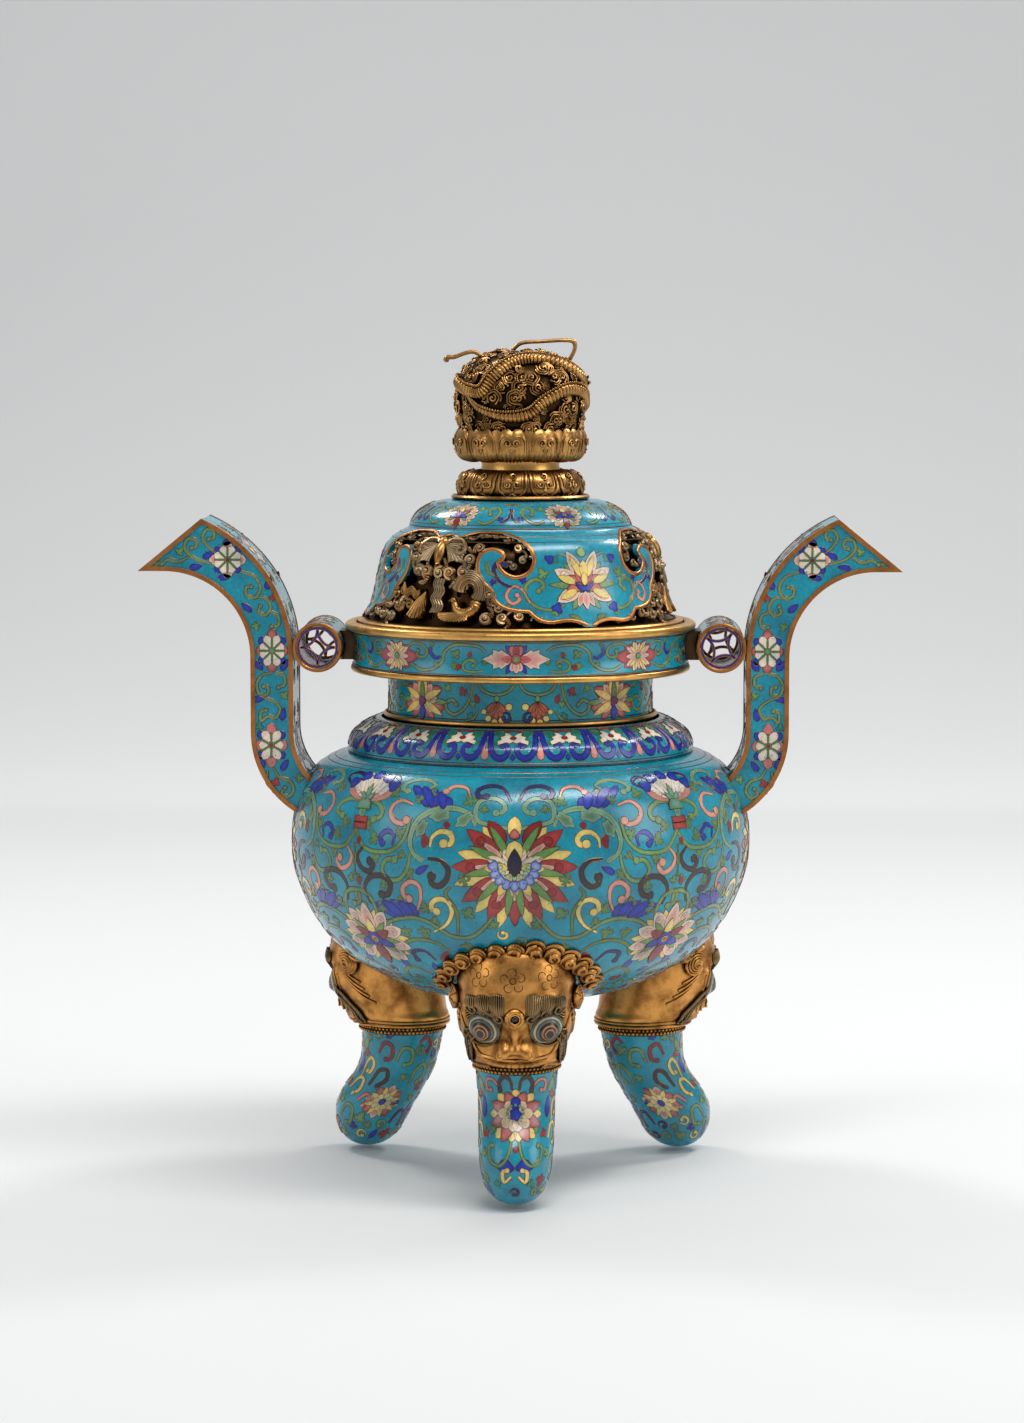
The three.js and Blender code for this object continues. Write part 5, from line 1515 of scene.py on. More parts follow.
def make_eyes():
    """Bulging eyes of ivory and black rings, turned a little downwards."""
    eyes = Gather()
    sides = 36
    for side in (-1, 1):
        place = np.array([(side * 16.6, 90.2)])
        middle = mask_form.place(0, 0, place, 2.2)[0]
        up = mask_form.place(0, 0, place, 4)[0] - mask_form.place(0, 0, place, 3)[0]
        up = np.array([up[0] * 0.7, up[1], -0.16])
        up /= np.linalg.norm(up)
        across = np.cross(np.array([0, 0, 1.0]), up)
        across /= np.linalg.norm(across)
        high = np.cross(up, across)
        a = np.linspace(0, math.tau, sides, endpoint=False)
        slant = side * math.radians(24)
        wide = math.cos(slant) * across + math.sin(slant) * high
        tall = math.cos(slant) * high - math.sin(slant) * across
        points, colours = [middle - up * 1.5], [BLACK]
        for number, (radius, rise, colour) in enumerate(EYE_RINGS):
            longer = 1.24 - 0.012 * number
            ring = longer * np.cos(a)[:, None] * wide + np.sin(a)[:, None] * tall
            points += list(middle + up * rise - high * 0.11 * number + ring * radius)
            colours += [colour] * sides
        points.append(middle + up * 5.2 - high * 0.11 * len(EYE_RINGS))
        colours.append(BLACK)
        last = len(points) - 1
        faces = [[0, 1 + (i + 1) % sides, 1 + i] for i in range(sides)]
        for k in range(len(EYE_RINGS) - 1):
            for i in range(sides):
                j = (i + 1) % sides
                base = 1 + k * sides
                faces.append([base + i, base + j, base + sides + j, base + sides + i])
        base = 1 + (len(EYE_RINGS) - 1) * sides
        faces += [[base + i, base + (i + 1) % sides, last] for i in range(sides)]
        eyes.add(np.array(points), faces, np.array(colours))
    stone = mask_form.place(0, 0, np.array([(0, 96.6)]), 1.2)[0] + FINE_BALL[0] * (1.9, 1.5, 1.9)
    eyes.add(stone, FINE_BALL[1], np.array(BLACK))
    return closed_relief(eyes, "mask_front_eyes", 30)


def make_collar():
    ring = Lofted([(64.7, 74, 22.6, 21.4), (65.2, 74, 22.9, 21.7), (66.7, 74, 23.1, 21.9), (68.2, 74, 22.9, 21.7),
                   (68.7, 74, 22.6, 21.4)])
    body = ring.piece("collar_front_body", 96)
    beads = Gather()
    for v, shift in ((65.75, 0.0), (67.65, 0.5)):
        angles = np.linspace(0, math.tau, 66, endpoint=False) + shift * math.tau / 66
        for point in ring.point(angles, np.full(66, v)):
            beads.add(point + BALL[0] * 0.95, BALL[1])
    return body, beads.piece("collar_front_beads")


mask_head, brows, engraving = make_mask()
eyes = make_eyes()
collar, beads = make_collar()
finish_at_legs(
    (mask_head, mask_gilt, "gilt_bronze", "mask_"), (brows, brow_gilt, "gilt_bronze", None),
    (engraving, dark_bronze, "gilt_bronze", None), (eyes, enamel, "enamel", None),
    (collar, dark_bronze, "gilt_bronze", "leg_collar_"), (beads, mask_gilt, "gilt_bronze", None),
)


# Enamel patterns: cells of colour between wires, laid over the turquoise ground

WIRE = 0.55
WIRE_FOOT, WIRE_TOP, CELL_LIFT, LAYER = -0.12, 0.18, 0.1, 0.08


def toned(colour, share):
    return tuple(c * share for c in colour)


class Work:
    """The cells and the wires on one surface."""

    def __init__(self, surface, bold=1.0):
        self.surface, self.bold, self.cells, self.wires = surface, bold, Gather(), Gather()

    def pen(self, u, z, turn=0.0, size=1.0, mirror=1):
        return Pen(self, u, float(self.surface.along(z)), turn, size, mirror)

    def vine(self, points, half, edge, heart, mirror=1, centre=0.0, share=1.0, head=0.0):
        """A stroke through places given by heading and height, with a round head if asked."""
        p = np.asarray(points, float)
        u, z = centre + mirror * share * p[:, 0], p[:, 1]
        u0, v0 = float(u.mean()), float(self.surface.along(z.mean()))
        path = run_through(self.surface.local(u, z, u0, v0), 5)
        pen = Pen(self, u0, v0)
        pen.stroke(path, np.multiply(self.bold, half), edge, heart)
        if head:
            pen.disc(path[-1][0], path[-1][1], head * self.bold, edge, heart, 1)

    def vines(self, rows, hand, centre):
        """Strokes on one hand of a centre, each with its points, half widths, colours and head."""
        for points, half, edge, heart, head in rows:
            self.vine(points, half, edge, heart, hand, centre, 1.0, head)

    def sprouts(self, rows, hand, centre, tone):
        """Small leaves on one hand of a centre, each with its heading, height, turn, size and colour."""
        for degrees, z, turn, size, edge in rows:
            self.pen(centre + hand * degrees, z, turn, size, hand).sprout(edge=edge, heart=toned(edge, tone))

    def pieces(self, name, body):
        finish(self.cells.piece(name + "_cells", 60), enamel, body, "enamel")
        finish(self.wires.piece(name + "_wires", 60), wire_gilt, body, "gilt_bronze")


class Pen:
    """Draws round a spot: x runs to the right and y up, in millimetres; a turn is anticlockwise."""

    def __init__(self, work, u0, v0, turn=0.0, size=1.0, mirror=1, shift=(0.0, 0.0)):
        self.work, self.u0, self.v0, self.turn = work, u0, v0, turn
        self.size, self.mirror, self.shift = size, mirror, shift

    def flat(self, xy):
        p = np.asarray(xy, float) * self.size
        c, s = math.cos(math.radians(self.turn)), math.sin(math.radians(self.turn))
        return np.stack([p[:, 0] * c - p[:, 1] * s, p[:, 0] * s + p[:, 1] * c], 1) + self.shift

    def at(self, x, y, turn=0.0, size=1.0):
        """A pen at another spot, seen from this one."""
        return Pen(self.work, self.u0, self.v0, self.turn + turn, self.size * size, self.mirror,
                   self.flat([(x, y)])[0])

    def handed(self, side):
        """This pen, or for the other side one that draws mirrored from the same spot."""
        return self if side == 1 else Pen(self.work, self.u0, self.v0, 0, 1, -1)

    def lay(self, xy, lift):
        return self.work.surface.place(self.u0, self.v0, self.flat(xy) * (self.mirror, 1), lift)

    def cell(self, outline, edge, heart=None, layer=0, wire=WIRE, middle=None):
        p = np.asarray(outline, float)
        if self.mirror < 0:
            p = p[::-1]
        n = len(p)
        m = p.mean(0) if middle is None else np.asarray(middle, float)
        heart = edge if heart is None else heart
        points = self.lay(np.vstack([p, m + (p - m) * 0.6, [m]]), CELL_LIFT + LAYER * layer)
        mixed = tuple(0.3 * a + 0.7 * b for a, b in zip(edge, heart))
        faces = [[i, (i + 1) % n, n + (i + 1) % n, n + i] for i in range(n)]
        faces += [[n + i, n + (i + 1) % n, 2 * n] for i in range(n)]
        self.work.cells.add(points, faces, np.array([edge] * n + [mixed] * n + [heart]))
        if wire:
            self.wire(outline, True, wire, layer)

    def ribbon(self, gather, path, rows, closed=False, colours=None):
        """Strips between rows beside a path. A row gives how far to the right it lies, and its lift."""
        ground = self.lay(path, 0.0)
        up = self.lay(path, 1.0) - ground
        along = np.roll(ground, -1, 0) - np.roll(ground, 1, 0) if closed else np.gradient(ground, axis=0)
        along /= np.maximum(np.linalg.norm(along, axis=1), 1e-9)[:, None]
        across = np.cross(along, up)
        n = len(ground)
        points = np.vstack([ground + across * np.broadcast_to(side, n)[:, None] + up * lift for side, lift in rows])
        faces = [[k * n + i, (k + 1) * n + i, (k + 1) * n + (i + 1) % n, k * n + (i + 1) % n]
                 for k in range(len(rows) - 1) for i in range(n if closed else n - 1)]
        gather.add(points, faces, colours)

    def wire(self, path, closed=False, width=WIRE, layer=0, beside=0.0):
        high, w = WIRE_TOP + LAYER * layer, 0.68 * width
        rows = [(beside - w, WIRE_FOOT), (beside, high), (beside + w, WIRE_FOOT)]
        self.ribbon(self.work.wires, path, rows, closed)

    def stroke(self, path, half, edge, heart=None, layer=0, wire=WIRE):
        path = np.asarray(path, float)
        n = len(path)
        half = np.atleast_1d(half).astype(float) * self.size
        half = np.interp(np.linspace(0, 1, n), np.linspace(0, 1, len(half)), half) if len(half) > 1 else np.full(n,
            half[0])
        lift = CELL_LIFT + LAYER * layer
        colours = np.repeat([edge, edge if heart is None else heart, edge], n, axis=0)
        self.ribbon(self.work.cells, path, [(-half, lift), (0, lift + 0.01), (half, lift)], False, colours)
        for side in (-1, 1):
            self.wire(path, False, wire, layer, side * half)

    def disc(self, x, y, radius, edge, heart=None, layer=0, wire=0.5, steps=12):
        a = np.linspace(0, math.tau, steps, endpoint=False)
        self.cell(np.stack([x + radius * np.cos(a), y + radius * np.sin(a)], 1), edge, heart, layer, wire)

    def petal(self, angle, start, length, width, edge, heart=None, layer=0, base=0.6, tip=0.9, bend=0.0, wire=0.5,
              steps=8):
        """A petal that points away from the spot, its angle clockwise from upright."""
        t = np.linspace(0, 1, steps + 1)
        w = t**base * (1 - t) ** tip
        w = w / w.max() * width / 2
        side = np.stack([w, start + t * length], 1)
        outline = np.vstack([side, (side * (-1, 1))[::-1][1:-1]])
        outline[:, 0] += bend * ((outline[:, 1] - start) / length) ** 2
        self.at(0, 0, -angle).cell(outline, edge, heart, layer, wire)

    def lobes(self, x, y, radius, count, edge, heart=None, layer=0, deep=0.18, start=0.0, stretch=(1, 1), wire=0.5):
        """A rounded leaf or blossom of several lobes."""
        a = np.linspace(0, math.tau, count * 5, endpoint=False)
        r = radius * (1 - deep + deep * np.abs(np.cos(count * (a - math.radians(start)) / 2)) * 2)
        self.cell(np.stack([x + stretch[0] * r * np.cos(a), y + stretch[1] * r * np.sin(a)], 1), edge, heart, layer,
                  wire)

    def comma(self, x, y, radius, start, sweep, half, edge, heart=None, layer=0):
        """A scroll with a round head."""
        path = spiral(x, y, radius, start, sweep, 0.55, max(9, int(abs(sweep) / 16)))
        self.stroke(path, [0.25 * half, 0.8 * half, half, half], edge, heart, layer)
        self.disc(path[-1][0], path[-1][1], 1.35 * half, edge, heart, layer + 1)

    def sprout(self, x=0, y=0, turn=0, size=1, edge=OLIVE, heart=GREEN):
        """A small leaf of three lobes on a short foot."""
        leaf = self.at(x, y, turn, size)
        side = [(0.3, -1.3), (0.35, -0.35), (1.2, -0.75), (1.95, 0), (1.5, 0.65), (0.65, 0.45), (0.95, 1.3),
                (0.35, 2.2)]
        leaf.cell(side + [(-x, y) for x, y in side[::-1]], edge, heart, 0, 0.5)

    def feather(self):
        """A blue leaf of five leaning lobes beside each other, the tallest at the right."""
        for k in range(5):
            lobe = self.at((k - 2) * 1.55, 0.3 * math.sin(k))
            lobe.petal(8 + 9 * k, -0.8, 4.4 + 1.1 * k, 2.5, NAVY, COBALT, k % 2, 0.5, 0.45, 0.9)


def fill_gaps(work, spots, clear=4.4, size=1.0):
    """Small scrolls and leaves wherever a pattern leaves the ground bare."""
    laid, added = np.vstack(work.cells.points), []
    for number, (u, z) in enumerate(spots):
        pen = work.pen(u, z, 137 * number % 360, size, 1 if number % 2 else -1)
        here = pen.lay([(0, 0)], 0)[0]
        if np.min(np.linalg.norm(laid - here, axis=1)) < clear * size:
            continue
        if added and np.min(np.linalg.norm(np.array(added) - here, axis=1)) < 1.75 * clear * size:
            continue
        added.append(here)
        kind = len(added) % 7
        if kind in (0, 2, 4):
            pen.comma(0, 0, 3.0, 0, 330, 0.85, (GREEN, OLIVE, YELLOW)[kind // 2], (LEAF, LEAF, LEMON)[kind // 2])
        elif kind == 1:
            pen.comma(0, 0, 2.8, 0, 300, 0.85, BLACK, NAVY)
        elif kind == 5:
            pen.petal(0, -3.4, 7, 3.4, NAVY, COBALT)
        else:
            pen.sprout(0, -0.4, 0, 2.0, (OLIVE, RED)[kind == 6], (LEAF, PLUM)[kind == 6])


def main_lotus(pen):
    """The wide lotus of yellow, red and green pointed petals round a dark eye."""
    soft_rose, dark_red, cream = paint(196, 120, 110), paint(118, 26, 30), paint(214, 196, 170)
    for side in (-1, 1):
        for angle, length in ((38, 26), (75.5, 29.7), (106.5, 31.8), (140, 31), (166, 33.2)):
            pen.petal(side * angle, 6, length - 6, 6.2, YELLOW, paint(222, 204, 120), 0, 0.9, 0.8)
        for angle, length in ((52, 30.6), (90, 31.8), (124, 32.2), (154, 30.6)):
            pen.petal(side * angle, 9, length - 9, 8.4, RED, BRICK, 1, 0.7, 0.95)
            x, y = math.sin(math.radians(side * angle)), math.cos(math.radians(side * angle))
            pen.disc(x * length * 0.69, y * length * 0.69, 2.5, dark_red, RED, 2, 0.4)
            pen.petal(side * angle, 8, length * 0.42, 3.2, cream, soft_rose, 2, 0.5, 0.8)
        pen.petal(side * 24.5, 12, 14.6, 7.4, dark_red, RED, 1, 0.7, 0.8, side * 2.4)
        for angle, length in ((29, 24), (64, 25), (98, 25.6), (132, 26.5), (170, 26)):
            pen.petal(side * angle, 5, length - 5, 3.9, GREEN, paint(104, 150, 74), 3, 0.8, 0.9, side * 0.6)
        for angle, length, colour in ((92, 15, YELLOW), (150, 16.4, YELLOW), (30, 10.5, cream), (70, 15, cream),
                                      (120, 13.4, cream)):
            pen.petal(side * angle, 3, length - 3, 5.0, colour, toned(colour, 1.15), 4 if colour is YELLOW else 3,
                      0.6, 0.7)
    pen.petal(180, 9, 22, 7.6, RED, BRICK, 2, 0.6, 0.95)
    pen.petal(180, 3, 14, 4.4, cream, soft_rose, 3, 0.6, 0.7)
    pen.petal(0, 14.5, 11, 7, YELLOW, paint(226, 206, 130), 2, 0.5, 0.6)
    pen.petal(0, 14, 5.5, 5.2, RED, soft_rose, 3, 0.4, 0.9)
    pen.petal(0, 2, 11.5, 8.2, YELLOW, POLLEN, 4, 0.5, 0.45)
    for k in range(9):
        angle = 92 + 22 * k
        x, y = 10.4 * math.sin(math.radians(angle)), 10.0 * math.cos(math.radians(angle))
        pen.lobes(x, y + 1.0, 2.6, 3, COBALT, paint(150, 170, 210), 5, 0.16, -angle + 90)
    for k in range(7):
        angle = 100 + 26.6 * k
        pen.disc(6.9 * math.sin(math.radians(angle)), 1.4 + 6.6 * math.cos(math.radians(angle)), 1.15, SAGE,
                 paint(150, 200, 170), 6, 0.4, 8)
    t = np.linspace(0, 1, 9)
    side = np.stack([4.3 * (np.sin(math.pi * t) ** 0.8) * (1 - 0.35 * t), -4.6 + 14.2 * t], 1)
    eye = np.vstack([side, (side * (-1, 1))[::-1][1:-1]])
    pen.cell(eye, BLACK, paint(22, 24, 60), 7, 0.5)
    for side in (-1, 1):
        pen.wire(run_through([(side * 3.4, 2), (side * 1.2, -1), (side * 0.2, -3.6)], 3), False, 0.35, 7)


def low_lotus(pen):
    """A spread lotus of white curled petals and yellow lances."""
    for side in (-1, 1):
        for angle, length in ((20, 16), (52, 18), (84, 19), (116, 17), (150, 15)):
            pen.petal(side * angle, 4, length - 4, 4.6, YELLOW, paint(218, 200, 120), 0, 0.8, 0.9)
        for angle, length in ((36, 17.5), (68, 18), (100, 18), (133, 16.5)):
            pen.petal(side * angle, 4, length - 4, 6.6, WHITE, paint(198, 150, 140), 1, 0.7, 0.7)
            x, y = math.sin(math.radians(side * angle)), math.cos(math.radians(side * angle))
            pen.disc(x * length * 0.72, y * length * 0.72, 1.9, WHITE, PINK, 2, 0.4, 8)
        for angle, length in ((44, 13), (92, 13.5), (124, 12)):
            pen.petal(side * angle, 3, length - 3, 3.0, GREEN, paint(110, 150, 80), 3)
        pen.petal(side * 62, 2, 8.5, 4.4, RED, PLUM, 4)
        pen.petal(side * 110, 2, 8, 4.4, NAVY, COBALT, 4)
    pen.petal(0, 3, 15, 7, WHITE, PINK, 2, 0.6, 0.8)
    pen.petal(0, 2, 8.5, 4.8, YELLOW, POLLEN, 4)
    pen.petal(180, 3, 12, 6, RED, PLUM, 3)
    pen.lobes(0, 0, 3.6, 6, NAVY, COBALT, 5)
    pen.disc(0, 0, 1.8, YELLOW, RED, 6, 0.4, 10)


def half_lotus(pen):
    """The upright half lotus over a column: narrow white petals with blue tops."""
    for angle in (-68, 68, -50, 50, -33, 33, -17, 17, 0):
        length = 15.5 - 2.2 * abs(angle) / 68
        outer = abs(angle) > 60
        pen.petal(angle, 1, length, 4.4, PINK if outer else WHITE, PINK if outer else paint(226, 220, 206),
                  1 + (abs(angle) < 40), 0.9, 0.5)
    for angle in (-52, -26, 0, 26, 52):
        pen.lobes(15.2 * math.sin(math.radians(angle)), 14.0 * math.cos(math.radians(angle)), 2.7, 3, NAVY, COBALT, 3,
                  0.2, 90 - angle)
    pen.petal(0, 0, 9, 3, GREEN, SAGE, 4)
    for side in (-1, 1):
        pen.petal(side * 40, 0, 6, 2.6, GREEN, SAGE, 4)
    pen.cell([(-4.2, -3.4), (4.2, -3.4), (3.6, -0.4), (2, 1.2), (-2, 1.2), (-3.6, -0.4)], GREEN, SAGE, 5)


def bowl_sector(work, centre, share):
    """A quarter of the bowl: a lotus, its scrolls on both hands, and the column at its end."""
    main_lotus(work.pen(centre, 172.8))
    for hand in (1, -1):
        def vine(points, half, edge, heart, head=0.0):
            work.vine(points, half, edge, heart, hand, centre, share, head)

        def spot(degrees, z, turn=0.0, size=1.0):
            return work.pen(centre + hand * degrees * share, z, turn, size, hand)

        # stems and arcs
        vine([(1.5, 192), (5.5, 193.5), (9, 195.5), (9.8, 200), (9, 204.5), (6.5, 206.2), (4, 205.5), (2.4, 202.5),
              (3, 200), (4.6, 199.5)],
             [0.7, 0.95, 0.95, 1.0], SAGE, LEAF, 1.5)
        vine([(9.5, 193), (11, 198.2), (14, 200.8), (17.8, 201), (21.5, 199.2), (24.4, 195.2), (25.9, 189),
              (26.2, 182.8), (25, 177.8), (22.6, 174.6)],
             [0.7, 1.2, 1.3, 1.1, 0.7], SAGE, LEAF)
        vine([(26.6, 196), (27.8, 186), (31, 179.4), (35.5, 177.6), (39.5, 179), (41.8, 184), (43.4, 189)],
             [0.7, 0.9, 0.9, 0.8], GREEN, LEAF)
        vine([(26, 178.5), (26.8, 171), (29, 165), (32.2, 164.4), (34.2, 169), (32.8, 174.2), (30.4, 174.6)],
             [0.6, 0.95, 1.0, 1.0], GREEN, LEAF, 1.6)
        vine([(4.5, 150), (8.2, 141), (11.8, 136.2), (16.4, 136.2), (19.6, 139.6), (22.6, 143.4), (27.4, 145.2),
              (33.6, 142.4), (38, 137)],
             [0.7, 0.95, 1.0, 1.0, 0.8], OLIVE, LEAF)
        vine([(15, 137), (14.4, 146), (15, 152), (17, 158.6), (15.6, 162.6)], [0.4, 0.8, 0.8, 0.4], OLIVE, GREEN)
        vine([(39.5, 134), (37.8, 148), (39.6, 155.4), (43.2, 157), (43.2, 151), (41.2, 149.6)], [0.7, 1.0, 1.0, 0.9],
             GREEN, LEAF, 1.5)
        vine([(43.5, 199.6), (42.2, 202), (38.8, 202.2), (35.7, 199), (35.6, 195), (37.6, 193.6)], [1.0, 1.1, 1.0],
             GREEN, LEAF, 1.7)
        vine([(43.4, 181), (43, 178), (43.3, 174), (43, 168), (43.5, 164)], [0.3, 0.4, 0.3], OLIVE, GREEN)
        # scrolls
        vine([(20.8, 182), (20.4, 186.6), (18.6, 189.6), (16.4, 189.4), (15.2, 186.6), (15.8, 183.8), (17.4, 184)],
             [0.5, 1.1, 1.2, 1.2], YELLOW, LEMON, 1.9)
        vine([(21.4, 176.2), (18.2, 175.4), (16.2, 171.4), (16.6, 166), (18.6, 162.6), (20.4, 164), (20.4, 167.4)],
             [0.5, 1.1, 1.2, 1.2], BLACK, SMOKE, 1.9)
        vine([(25, 149.6), (23.6, 156), (23.8, 162), (26, 164), (28.2, 161), (28.2, 156.6), (26.8, 155.2)],
             [0.5, 1.0, 1.1, 1.1], PINK, BLUSH, 1.8)
        vine([(21.5, 138.4), (17.8, 142.4), (15.8, 149), (16.4, 154.4), (18.6, 156), (20.6, 154), (21, 150.4),
              (19.8, 149.4)], [0.5, 1.1, 1.2, 1.1], YELLOW, LEMON, 1.8)
        vine([(26.6, 202), (30, 203.6), (32.2, 201.4), (32.8, 197.6), (31.2, 193.6), (28.8, 192.6), (27.8, 194.4)],
             [0.5, 1.0, 1.1, 1.1], PINK, BLUSH, 1.8)
        vine([(31.2, 181.4), (30.8, 186.4), (33, 188.4), (35, 185), (34.2, 182.4)], [0.4, 1.0, 1.1], NAVY, COBALT,
             1.6)
        vine([(40, 180), (42, 174.6), (41, 169.4), (38.4, 167.2), (36.8, 170.6), (38, 172.6)], [0.5, 1.0, 1.1, 1.1],
             PINK if hand > 0 else BLACK, BLUSH if hand > 0 else SMOKE, 1.8)
        vine([(39, 150.6), (40, 158.6), (37.8, 164.6), (34, 165.6), (31.8, 162.4), (32.6, 157), (34.8, 156)],
             [0.5, 1.1, 1.2, 1.2], BLACK, SMOKE, 1.9)
        vine([(1, 204.8), (3.2, 210.8), (7, 211.8), (9.8, 209.6), (9.2, 206.8), (7.4, 207)], [0.4, 0.9, 1.0, 1.0],
             BLACK, NAVY, 1.5)
        vine([(11.6, 207), (13, 210.6), (16.4, 211.2), (18.4, 208.8)], [0.4, 0.9, 1.0], PINK, BLUSH, 1.5)
        vine([(25, 208), (22, 211.4), (25.6, 213.6), (30, 212.4), (31.4, 209.4), (29.4, 208)], [0.5, 0.9, 1.0, 1.0],
             SAGE, LEAF, 1.5)
        vine([(36.5, 208.5), (33.4, 211.6), (35.4, 214), (38.6, 213.6)], [0.4, 0.8, 0.9], BLACK, NAVY, 1.3)
        # feathered leaves, sprouts and drops
        spot(19.8, 201.6, 8, 1.9).feather()
        spot(28.4, 146.4, -12, 1.9).feather()
        spot(23, 170.4, 60).petal(0, -4, 8.5, 3.4, NAVY, COBALT)
        spot(12.4, 196, -40, 1.1).lobes(0, 0, 3.0, 5, SAGE, OLIVE, 1, 0.2, 0, (1.5, 0.8))
        spot(18.8, 197.4, -8, 1.1).lobes(0, 0, 3.0, 5, SAGE, OLIVE, 1, 0.2, 0, (1.5, 0.8))
        spot(23.4, 191, -60, 1.1).lobes(0, 0, 2.8, 5, SAGE, OLIVE, 1, 0.2, 0, (1.4, 0.8))
        spot(16.8, 193.2, 0).disc(0, 0, 1.7, RED, PLUM)
        spot(22.2, 184, 20).petal(0, -3, 7, 4, RED, PLUM, 0, 0.8, 0.5, 1.4)
        for degrees, z, turn, size in (
            (11.4, 204.4, -20, 1.2), (33.2, 206.4, 20, 1.1), (29.4, 187.6, 60, 1.0), (36.6, 183.6, -20, 1.2),
            (39.4, 190, 30, 1.1),
            (12.4, 166, 60, 1.1), (11.8, 148.6, 30, 1.2), (22.6, 150.2, -20, 1.1), (26.2, 168, -50, 1.0),
            (29.6, 152.4, 10, 1.1),
            (35.6, 148.4, -10, 1.2), (20.8, 143.6, 10, 0.9), (33.8, 160.6, 0, 0.9), (5.4, 143, -30, 1.1),
            (24.4, 138.4, 170, 1.2),
            (13.2, 131.6, 170, 1.0), (30, 137.8, 175, 1.1), (36.2, 174.6, 60, 0.9), (7.6, 200.6, 0, 0.8),
            (25.6, 204.6, 60, 0.9),
            (22.2, 207.6, 20, 0.9), (41.6, 162.6, -15, 0.8), (28.6, 177.6, 120, 0.8),
        ):
            spot(degrees, z, turn, 1.7 * size).sprout()
        # under the garland, towards the legs
        vine([(18, 128), (22, 132.4), (27.4, 133.4), (32, 130), (34, 124.6)], [0.5, 0.9, 0.9, 0.7], OLIVE, GREEN)
        vine([(23.6, 122), (26.2, 127), (30.2, 126), (30, 121.6)], [0.5, 1.0, 1.0], BLACK, NAVY, 1.5)
        spot(20.4, 124.4, 30).petal(0, -4, 9, 4.4, RED, PLUM)
        spot(35.4, 118.8, -20).petal(0, -4, 9, 4.2, NAVY, COBALT)
        vine([(28, 113), (33, 117), (38, 114), (40, 109)], [0.5, 0.9, 0.9, 0.7], OLIVE, GREEN)
    # columns between the sectors, each drawn by the sector on its left
    column = centre + 43.2 * share + 1.0
    half_lotus(work.pen(column, 201.6, 0, 1.15))
    knot = work.pen(column, 191.4)
    for y in (-1.7, 1.7):
        knot.cell([(-4.6, y - 1.5), (4.6, y - 1.5), (4.6, y + 1.5), (-4.6, y + 1.5)], RED, paint(170, 72, 64), 2)
    knot.cell([(-1.4, 3.2), (1.4, 3.2), (2.4, 7), (-2.4, 7)], SAGE, GREEN, 1)
    for z, radius in ((182.4, 1.5), (162.2, 1.6)):
        work.pen(column, z).lobes(0, 0, radius, 1, RED, PLUM, 1, 0.1, 0, (1, 1.5))
    low_lotus(work.pen(column, 131.5, 0, 1.2))
    work.pen(centre, 145.4).petal(180, -2, 5, 3, RED, PLUM)


def ring_wire(work, z, width=0.7):
    """A wire all round at one height."""
    v = float(work.surface.along(z))
    r = float(work.surface.radius(np.array(v)))
    a = np.linspace(0, math.tau * r, 180, endpoint=False)
    Pen(work, 0, v).wire(np.stack([a, np.zeros_like(a)], 1), True, width)


bowl_work = Work(bowl_form, 1.2)
for centre, share in ((0, 1.0), (90, 47 / 43), (180, 1.0), (270, 47 / 43)):
    bowl_sector(bowl_work, centre, share)
fill_gaps(bowl_work, [(3.4 * k + 1.7 * (row % 2), z) for row, z in enumerate(range(98, 213, 4)) for k in range(106)],
          4.6)
ring_wire(bowl_work, 217.2)
ring_wire(bowl_work, 215.6)
bowl_work.pieces("bowl", "vessel")


# Shoulder: twenty lappets with a white crown between navy hooks

shoulder_work = Work(Round(shoulder_run))


def lappet(pen):
    for side in (-1, 1):
        half = pen.handed(side)
        half.cell([(0, 3), (2.4, 4), (5, 8.2), (7, 6.6), (7.4, 3.6), (9.2, 3.8), (10.2, 8), (9.9, 19.4), (0, 19.4)],
                  EMERALD, paint(30, 128, 104), 0, 0.5, (6, 12))
        hook = run_through([(11.0, 19.8), (11.3, 13), (11.2, 6.2), (9.4, 1.7), (6, 0.4), (3.2, 1.9), (2.2, 4.8),
                            (3.4, 7.4), (5.4, 7.0)], 4)
        half.stroke(hook, [1.15, 1.3, 1.4, 1.45, 1.3, 1.2, 1.0], NAVY, BRIGHT_BLUE, 1)
        half.disc(5.2, 6.7, 1.35, NAVY, BRIGHT_BLUE, 2)
        half.lobes(7.2, 16.2, 2.5, 3, paint(26, 134, 110), EMERALD, 1, 0.2, 20)
        half.cell([(0, 13.2), (2.1, 16.2), (4.3, 16.8), (4.0, 14.4), (6.4, 13.2), (5.8, 11.2), (7.9, 10), (7.6, 7.6),
                   (5.4, 8.4),
                   (3.4, 9.4), (1.6, 8.6), (0, 9.8)], CREAM, paint(230, 222, 206), 3, 0.5, (3, 12))
        half.cell([(0, 18.4), (3.4, 17.9), (4.6, 18.9), (4, 19.9), (0, 20.1)], PLUM, RED, 3, 0.5, (2, 19))
    pen.cell([(1.7 * math.cos(a), 12.4 + 1.25 * math.sin(a)) for a in np.linspace(0, math.tau, 12, endpoint=False)],
             PLUM, paint(150, 48, 44), 5)
    pen.cell([(-1.3, 0.6), (0, -0.8), (1.3, 0.6), (0.5, 2.2), (-0.5, 2.2)], NAVY, COBALT, 2)


